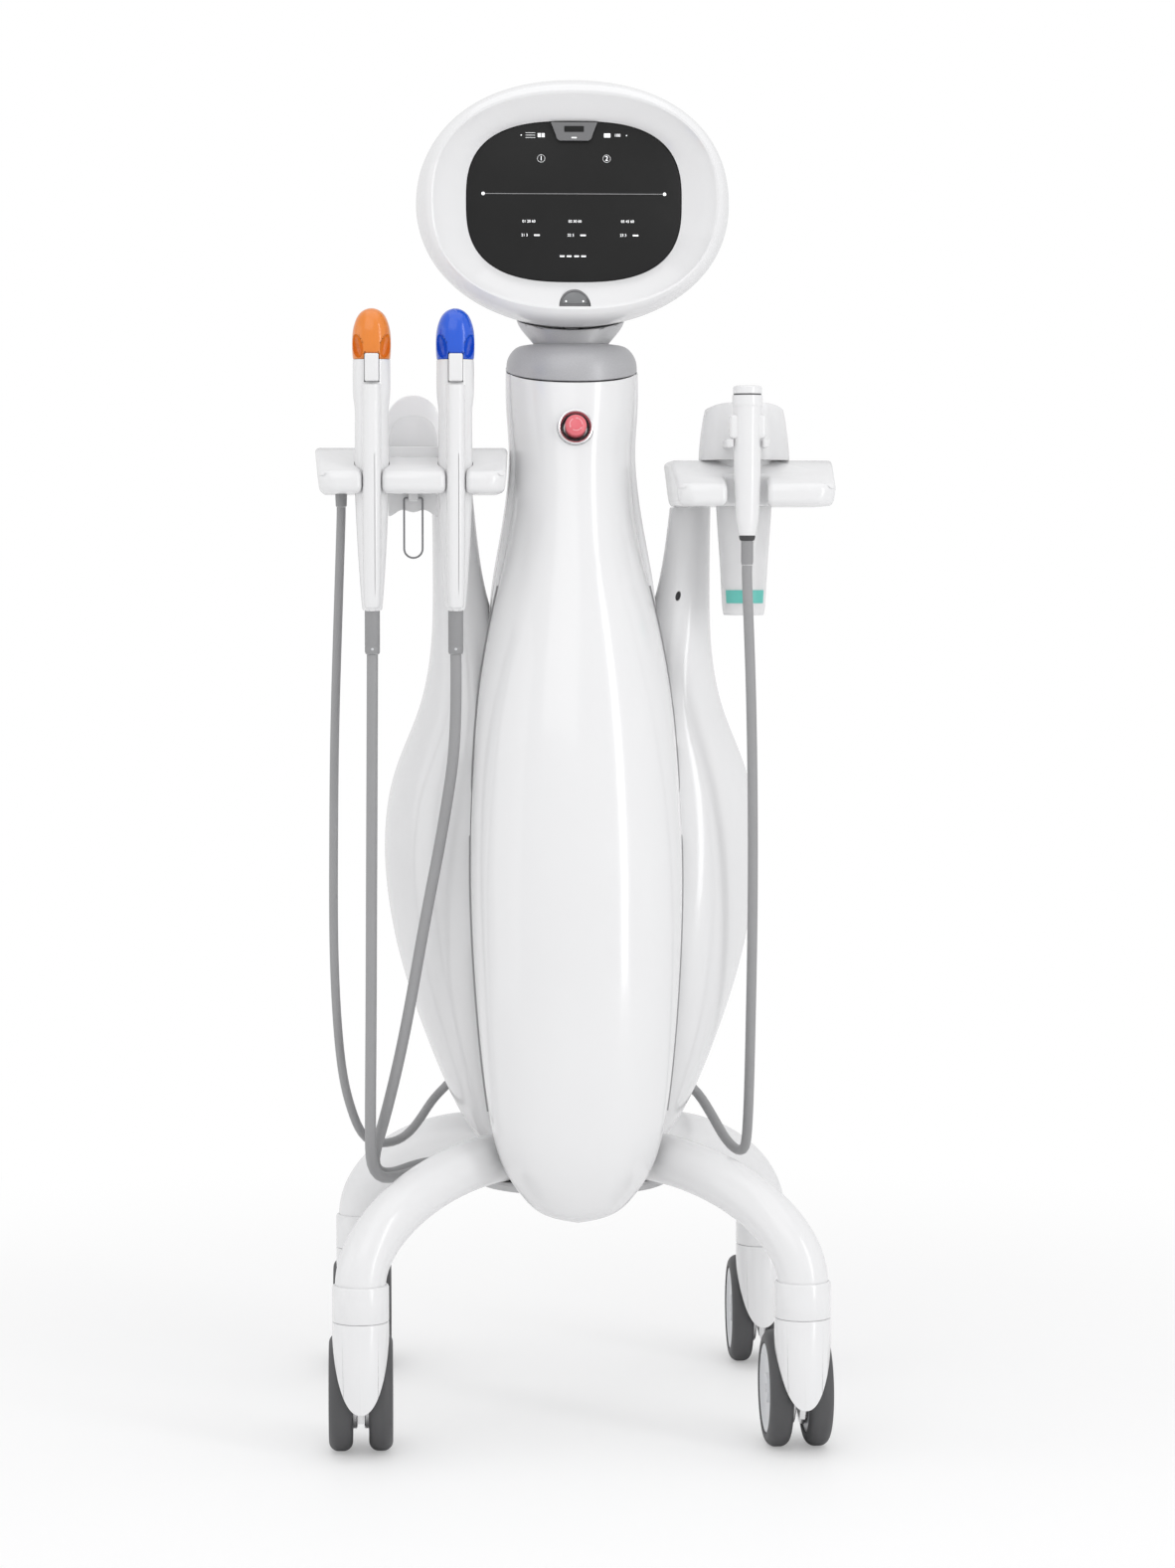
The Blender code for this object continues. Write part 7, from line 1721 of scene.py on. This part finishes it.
def make_grip(label, x, notch_half, notch_back):
    """The body of a large handpiece with its keel, strain relief and stud."""
    name = "handpiece_" + label
    body = loft("grip_" + label, [handpiece_ring(row, x) for row in fine(HANDPIECE_SHARES, 6)])
    fuse(body, loft("keel", [keel_ring(row, x) for row in fine(KEEL_SHARES, 6)]))
    socket = (x, HANDPIECE_Y + SHELL)
    front = HANDPIECE_Y - TRIGGER_FRONT - OVER
    cut(
        body,
        slab(
            "trigger room", (x - notch_half, front, HANDPIECE_TOP - KEEL_TOP_DROP),
            (x + notch_half, notch_back, HANDPIECE_TOP + OVER),
        ),
        rod(
            "socket", (*socket, HANDPIECE_TOP - PLUG_LENGTH - TRIGGER_GAP), (*socket, HANDPIECE_TOP + OVER),
            PLUG_RADIUS + SEAT,
        ),
        slab(
            "seam", (x + SEAM_NEAR, HANDPIECE_Y - KEEL_FRONT - OVER, SEAM_LOW),
            (x + SEAM_FAR, HANDPIECE_Y - KEEL_FRONT * 0.55, SEAM_HIGH),
        ),
    )
    show(body, name, "casing_white", name, crease=30)
    foot = HANDPIECE_TOP - HANDPIECE_LENGTH
    profile = [(0, RELIEF_RADIUS), (RELIEF_RADIUS, RELIEF_RADIUS)]
    for radius, share in ((1, 0.80), (0.97, 0.815), (1, 0.83), (0.99, 0.95)):
        profile.append((RELIEF_RADIUS * radius, -RELIEF_LENGTH * share))
    profile += [(RELIEF_TIP_RADIUS, -RELIEF_LENGTH), (0, -RELIEF_LENGTH)]
    relief = turned(lathe("relief_" + label, profile, 48), at(x, HANDPIECE_Y, foot))
    show(relief, name, "cable_grey", finish="relief")
    spot = (x, HANDPIECE_Y - RELIEF_RADIUS, foot - RELIEF_LENGTH * 0.88)
    show(ball("relief_stud_" + label, spot, STUD_HALF_SIZES, 20), name, "cable_grey", finish="disc")


def make_cartridge(label, x, notch_half, notch_back):
    base = HANDPIECE_TOP + SEAT
    cartridge = loft("tip_" + label, [
        flat_oval(
            x, HANDPIECE_Y, base + rise * CARTRIDGE_HEIGHT, width * CARTRIDGE_HALF_WIDTH,
            depth * CARTRIDGE_HALF_DEPTH, HANDPIECE_POWER, 96,
        ) for rise, width, depth in fine(CARTRIDGE_SHARES, 8)
    ])
    plug = (x, HANDPIECE_Y + SHELL)
    fuse(cartridge, rod("plug", (*plug, HANDPIECE_TOP - PLUG_LENGTH), (*plug, base + OVER), PLUG_RADIUS))
    cut(cartridge, slab(
        "notch", (x - notch_half, HANDPIECE_Y - CARTRIDGE_HALF_DEPTH - OVER, base - OVER),
        (x + notch_half, notch_back, HANDPIECE_TOP + TRIGGER_RISE + TRIGGER_GAP), bevel=EDGE * 1.5,
    ))
    across, y, rise = HOLLOW_PLACE
    for side in (-1, 1):
        place = at(x + side * across, HANDPIECE_Y + y, base + rise) @ spin(side * HOLLOW_TURN, "Y")
        cut(cartridge, turned(ball("hollow", (0, 0, 0), HOLLOW_HALF_SIZES, 64), place))
    show(soften(cartridge, EDGE, 3, 45), "cartridge_" + label, label, "cartridge_" + label, crease=40)


def make_handpiece(label):
    x, front = HANDPIECE_X[label], HANDPIECE_Y - TRIGGER_FRONT
    notch = (TRIGGER_HALF_WIDTH + TRIGGER_GAP, front + TRIGGER_DEPTH + TRIGGER_ROOM)
    make_grip(label, x, *notch)
    trigger = slab(
        "button_" + label, (x - TRIGGER_HALF_WIDTH, front, HANDPIECE_TOP - KEEL_TOP_DROP + TRIGGER_GAP),
        (x + TRIGGER_HALF_WIDTH, front + TRIGGER_DEPTH, HANDPIECE_TOP + TRIGGER_RISE), EDGE * 2, 5,
    )
    show(trigger, "trigger_" + label, "casing_white", "trigger_" + label)
    make_cartridge(label, x, *notch)


def make_slim_handpiece():
    name, place = "handpiece_slim", at(SLIM_X, SLIM_Y, SLIM_FOOT)
    top = SLIM_FOOT + SLIM_LENGTH
    body = loft("grip_slim", [
        flat_oval(SLIM_X, SLIM_Y, SLIM_FOOT + rise * SLIM_LENGTH, radius * SLIM_RADIUS, radius * SLIM_RADIUS)
        for rise, radius in fine(SLIM_SHARES, 6)
    ])
    fuse(body, slab(
        "wings", (SLIM_X - WING_REACH, SLIM_Y - WING_HALF_DEPTH, WING_FOOT),
        (SLIM_X + WING_REACH, SLIM_Y + WING_HALF_DEPTH, WING_FOOT + WING_HEIGHT), bevel=SHELL, segments=5,
    ))
    ends = (SLIM_X, SLIM_Y, top - TIP_SOCKET), (SLIM_X, SLIM_Y, top + OVER)
    cut(body, rod("slim socket", *ends, TIP_STEM + SEAT))
    show(body, name, "casing_white", name)
    radius, length = SLIM_RELIEF_RADIUS, SLIM_RELIEF_LENGTH
    collar, socket = [
        [(radius * share, height) for share, height in rows] for rows in (SLIM_COLLAR, SLIM_SOCKET)
    ]
    profile = [(0, radius), (radius, radius)] + collar
    profile += [(radius, -length * 0.9), (radius * 0.92, -length), (0, -length)]
    relief = lathe("relief_slim", profile, 48)
    show(turned(relief, place), name, "cable_grey", finish="relief")
    ring = lathe("slim_socket_ring", ringed(socket), 48)
    show(turned(ring, place), name, "black_plastic", finish="seal")
    rim, groove, crown = SLIM_RADIUS * 0.95, TIP_GROOVE, TIP_GROOVE + TIP_HEIGHT
    tip = lathe("tip_slim", [
        (0, crown), (rim * 0.80, crown), (rim * 0.93, groove + TIP_HEIGHT * 0.93),
        (rim, groove + TIP_HEIGHT * 0.78), (rim, groove + EDGE / 2), (rim - EDGE / 2, groove),
        (TIP_STEM, groove), (TIP_STEM, -TIP_STEM), (0, -TIP_STEM),
    ], 64)
    tip_place = at(SLIM_X, SLIM_Y, top)
    show(turned(tip, tip_place), "slim_tip", "casing_white", "slim_tip")
    inner, outer, low, high = TIP_STEM + SEAT, rim * 0.97, EDGE / 4, groove * 0.8
    seal = lathe("slim_seal", ringed([(inner, low), (outer, low), (outer, high), (inner, high)]), 64)
    show(turned(seal, tip_place), name, "black_plastic", finish="seal")


def holster_ring(shares, inset=0.0):
    """A ring of the holster. The rim falls away towards its sides."""
    rise, width, depth = shares
    half_x, half_y = width * HOLSTER_HALF_WIDTH - inset, depth * HOLSTER_HALF_DEPTH - inset
    level = HOLSTER_FOOT + rise * HOLSTER_HEIGHT
    ring = flat_oval(HOLSTER_X, HOLSTER_Y, level, half_x, half_y, HOLSTER_POWER, 96)
    fall = HOLSTER_FALL * min(max((rise - 0.80) / 0.20, 0), 1) ** 2
    return [(x, y, z - fall * abs((x - HOLSTER_X) / half_x) ** 4) for x, y, z in ring]


def make_holster():
    lower, upper = fine(HOLSTER_LOWER_SHARES, 5), fine(HOLSTER_UPPER_SHARES, 5)
    holster = loft("gel_cup", [holster_ring(row) for row in lower + upper])
    inner = [(HOLSTER_FLOOR / HOLSTER_HEIGHT, *lower[5][1:])] + lower[8:]
    inner += [(upper[0][0] + HOLSTER_WALL / HOLSTER_HEIGHT, *upper[0][1:])] + upper[2:]
    inner += [(1 + OVER / HOLSTER_HEIGHT, *upper[-1][1:])]
    cut(holster, loft("hollow", [holster_ring(row, HOLSTER_WALL) for row in inner]))
    top, back = WING_FOOT - SEAT, HOLSTER_Y - HOLSTER_HALF_DEPTH * 0.86
    reaches = (PRONG_HALF_GAP, PRONG_HALF_GAP + PRONG_THICKNESS)
    for side in (-1, 1):
        near, far = sorted(SLIM_X + side * reach for reach in reaches)
        low = (near, back - PRONG_REACH, top - PRONG_HEIGHT)
        fuse(holster, slab("prong", low, (far, back, top), bevel=PRONG_ROUND))
    show(holster, "frame", "clear_grey", "gel_holster")
    rows = fine(HOLSTER_LOWER_SHARES, 60)
    chosen = [row for row in rows if BAND_LOW <= HOLSTER_FOOT + row[0] * HOLSTER_HEIGHT <= BAND_HIGH][::3]
    rings = []
    for offset, face in zip(BAND_FACES, (chosen, chosen[::-1])):
        for row in face:
            reach = BAND_REACH * row[1] * HOLSTER_HALF_WIDTH
            front = [point for point in holster_ring(row, -offset) if point[1] < HOLSTER_Y]
            rings.append([point for point in front if abs(point[0] - HOLSTER_X) < reach])
    band = loft("holster_band", rings, closed=False, capped=False, looped=True)
    modify(band, "WELD", merge_threshold=WELD * 5)
    show(band, "frame", "clear_grey", finish="teal")


# Rear and inner pieces keep their CAD shape with broken edges

def refine(node, name, body, slot):
    """A copy of a CAD piece, merged, with its edges broken."""
    bm = bmesh.new()
    bm.from_mesh(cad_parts[node].data)
    bmesh.ops.translate(bm, vec=-SHIFT, verts=bm.verts)
    bmesh.ops.remove_doubles(bm, verts=bm.verts, dist=WELD * 5)
    bmesh.ops.dissolve_limit(bm, angle_limit=radians(1), verts=bm.verts, edges=bm.edges)
    sharp = [edge for edge in bm.edges if edge.is_manifold and edge.calc_face_angle(0) > radians(40)]
    break_edges(bm, sharp, EDGE / 2, 2, clamp=True)
    show(make(name, bm), body, slot, node)


def make_inner_pieces():
    for node, name, body, slot in (
        ("power_inlet", "mains_socket", "frame", "black_plastic"),
        ("power_switch", "rocker", "power_switch", "black_plastic"),
        ("power_supply", "supply_case", "frame", "steel"),
        ("driver_board", "driver_card", "frame", "board_green"),
        ("fan_frame", "fan_shroud", "frame", "black_plastic"),
        ("fan_rotor", "fan_blades", "fan_rotor", "black_plastic"),
        ("spine", "spine_tube", "frame", "steel"),
    ):
        refine(node, name, body, slot)


# Studio

def lamp(name, place, aim, size, power):
    """A rectangular light that looks at a height of the machine's middle."""
    data = bpy.data.lights.new(name, "AREA")
    data.shape = "RECTANGLE"
    data.size, data.size_y = size
    data.energy = power
    obj = linked(name, data)
    obj.location = place
    obj.rotation_euler = (Vector((0, 0, aim)) - Vector(place)).to_track_quat("-Z", "Y").to_euler()


def make_world():
    """White to the camera, and a paler grey light on everything else."""
    world = bpy.data.worlds.new("studio")
    bpy.context.scene.world = world
    world.use_nodes = True
    nodes, links = world.node_tree.nodes, world.node_tree.links
    path = nodes.new("ShaderNodeLightPath")
    either = nodes.new("ShaderNodeMath")
    either.operation = "MAXIMUM"
    mix = nodes.new("ShaderNodeMix")
    mix.data_type = "RGBA"
    mix.inputs[6].default_value = (0.79, 0.79, 0.795, 1)
    mix.inputs[7].default_value = (1, 1, 1, 1)
    for output, socket in (
        (path.outputs["Is Camera Ray"], either.inputs[0]),
        (path.outputs["Is Transmission Ray"], either.inputs[1]),
        (either.outputs[0], mix.inputs[0]),
        (mix.outputs[2], nodes["Background"].inputs["Color"]),
    ):
        links.new(output, socket)


def make_floor():
    """Pale floor that fades to white away from the machine."""
    bm = bmesh.new()
    bmesh.ops.create_grid(bm, x_segments=8, y_segments=8, size=7)
    floor = make("floor", bm)
    finish = Finish("pale floor")
    cloud = finish.noise(0.6, 1)
    tone = finish.blend(cloud, (0.95, 0.95, 0.95, 1), (0.97, 0.97, 0.97, 1))
    finish.paint(Base_Color=tone, Roughness=cloud * 0.1 + 0.5)
    white = finish.node("Emission", inputs={"Color": (1, 1, 1, 1), "Strength": 1.0}, output="Emission")
    distance = finish.node("VectorMath", {"operation": "LENGTH"}, {0: finish.place}, "Value")
    fade = {0: distance, 1: 0.40, 2: 1.5, 3: 0.32, 4: 1.0}
    far = finish.node("MapRange", {"interpolation_type": "SMOOTHSTEP"}, fade)
    ray = finish.node("LightPath", output="Is Camera Ray")
    shaders = {0: ray * far, 1: Wire(finish, finish.shader.outputs[0]), 2: white}
    surface = finish.node("MixShader", inputs=shaders, output="Shader")
    finish.tree.links.new(surface.socket, finish.tree.nodes["Material Output"].inputs["Surface"])
    floor.data.materials.append(finish.material)


def make_studio():
    make_world()
    make_floor()
    lamp("front box", (-1.0, -3.0, 3.2), 0.6, (2.6, 2.0), 14)
    lamp("right strip", (2.0, -2.2, 1.4), 0.7, (0.45, 3.0), 19)
    lamp("left strip", (-2.6, -0.5, 1.0), 0.6, (2.0, 2.2), 7)
    lamp("top box", (0, -0.4, 3.0), 0.5, (2.4, 2.4), 12)


def build():
    make_camera()
    make_cables()
    make_legs()
    make_casters()
    make_base_plate()
    make_front_cover()
    make_rear_cover()
    make_side_cover(-1, PETAL_TOP)
    make_side_cover(1, PETAL_TOP - TRAY_DROP)
    make_neck_cap()
    lean = make_neck()
    make_bezel()
    make_head_back(lean)
    make_display()
    make_camera_cover()
    make_screen_marks()
    make_stop()
    make_left_tray()
    make_right_tray()
    make_bail()
    make_dome()
    for label in HANDPIECE_X:
        make_handpiece(label)
    make_slim_handpiece()
    make_holster()
    make_inner_pieces()
    make_studio()


build()
bpy.context.scene.view_settings.view_transform = "Standard"
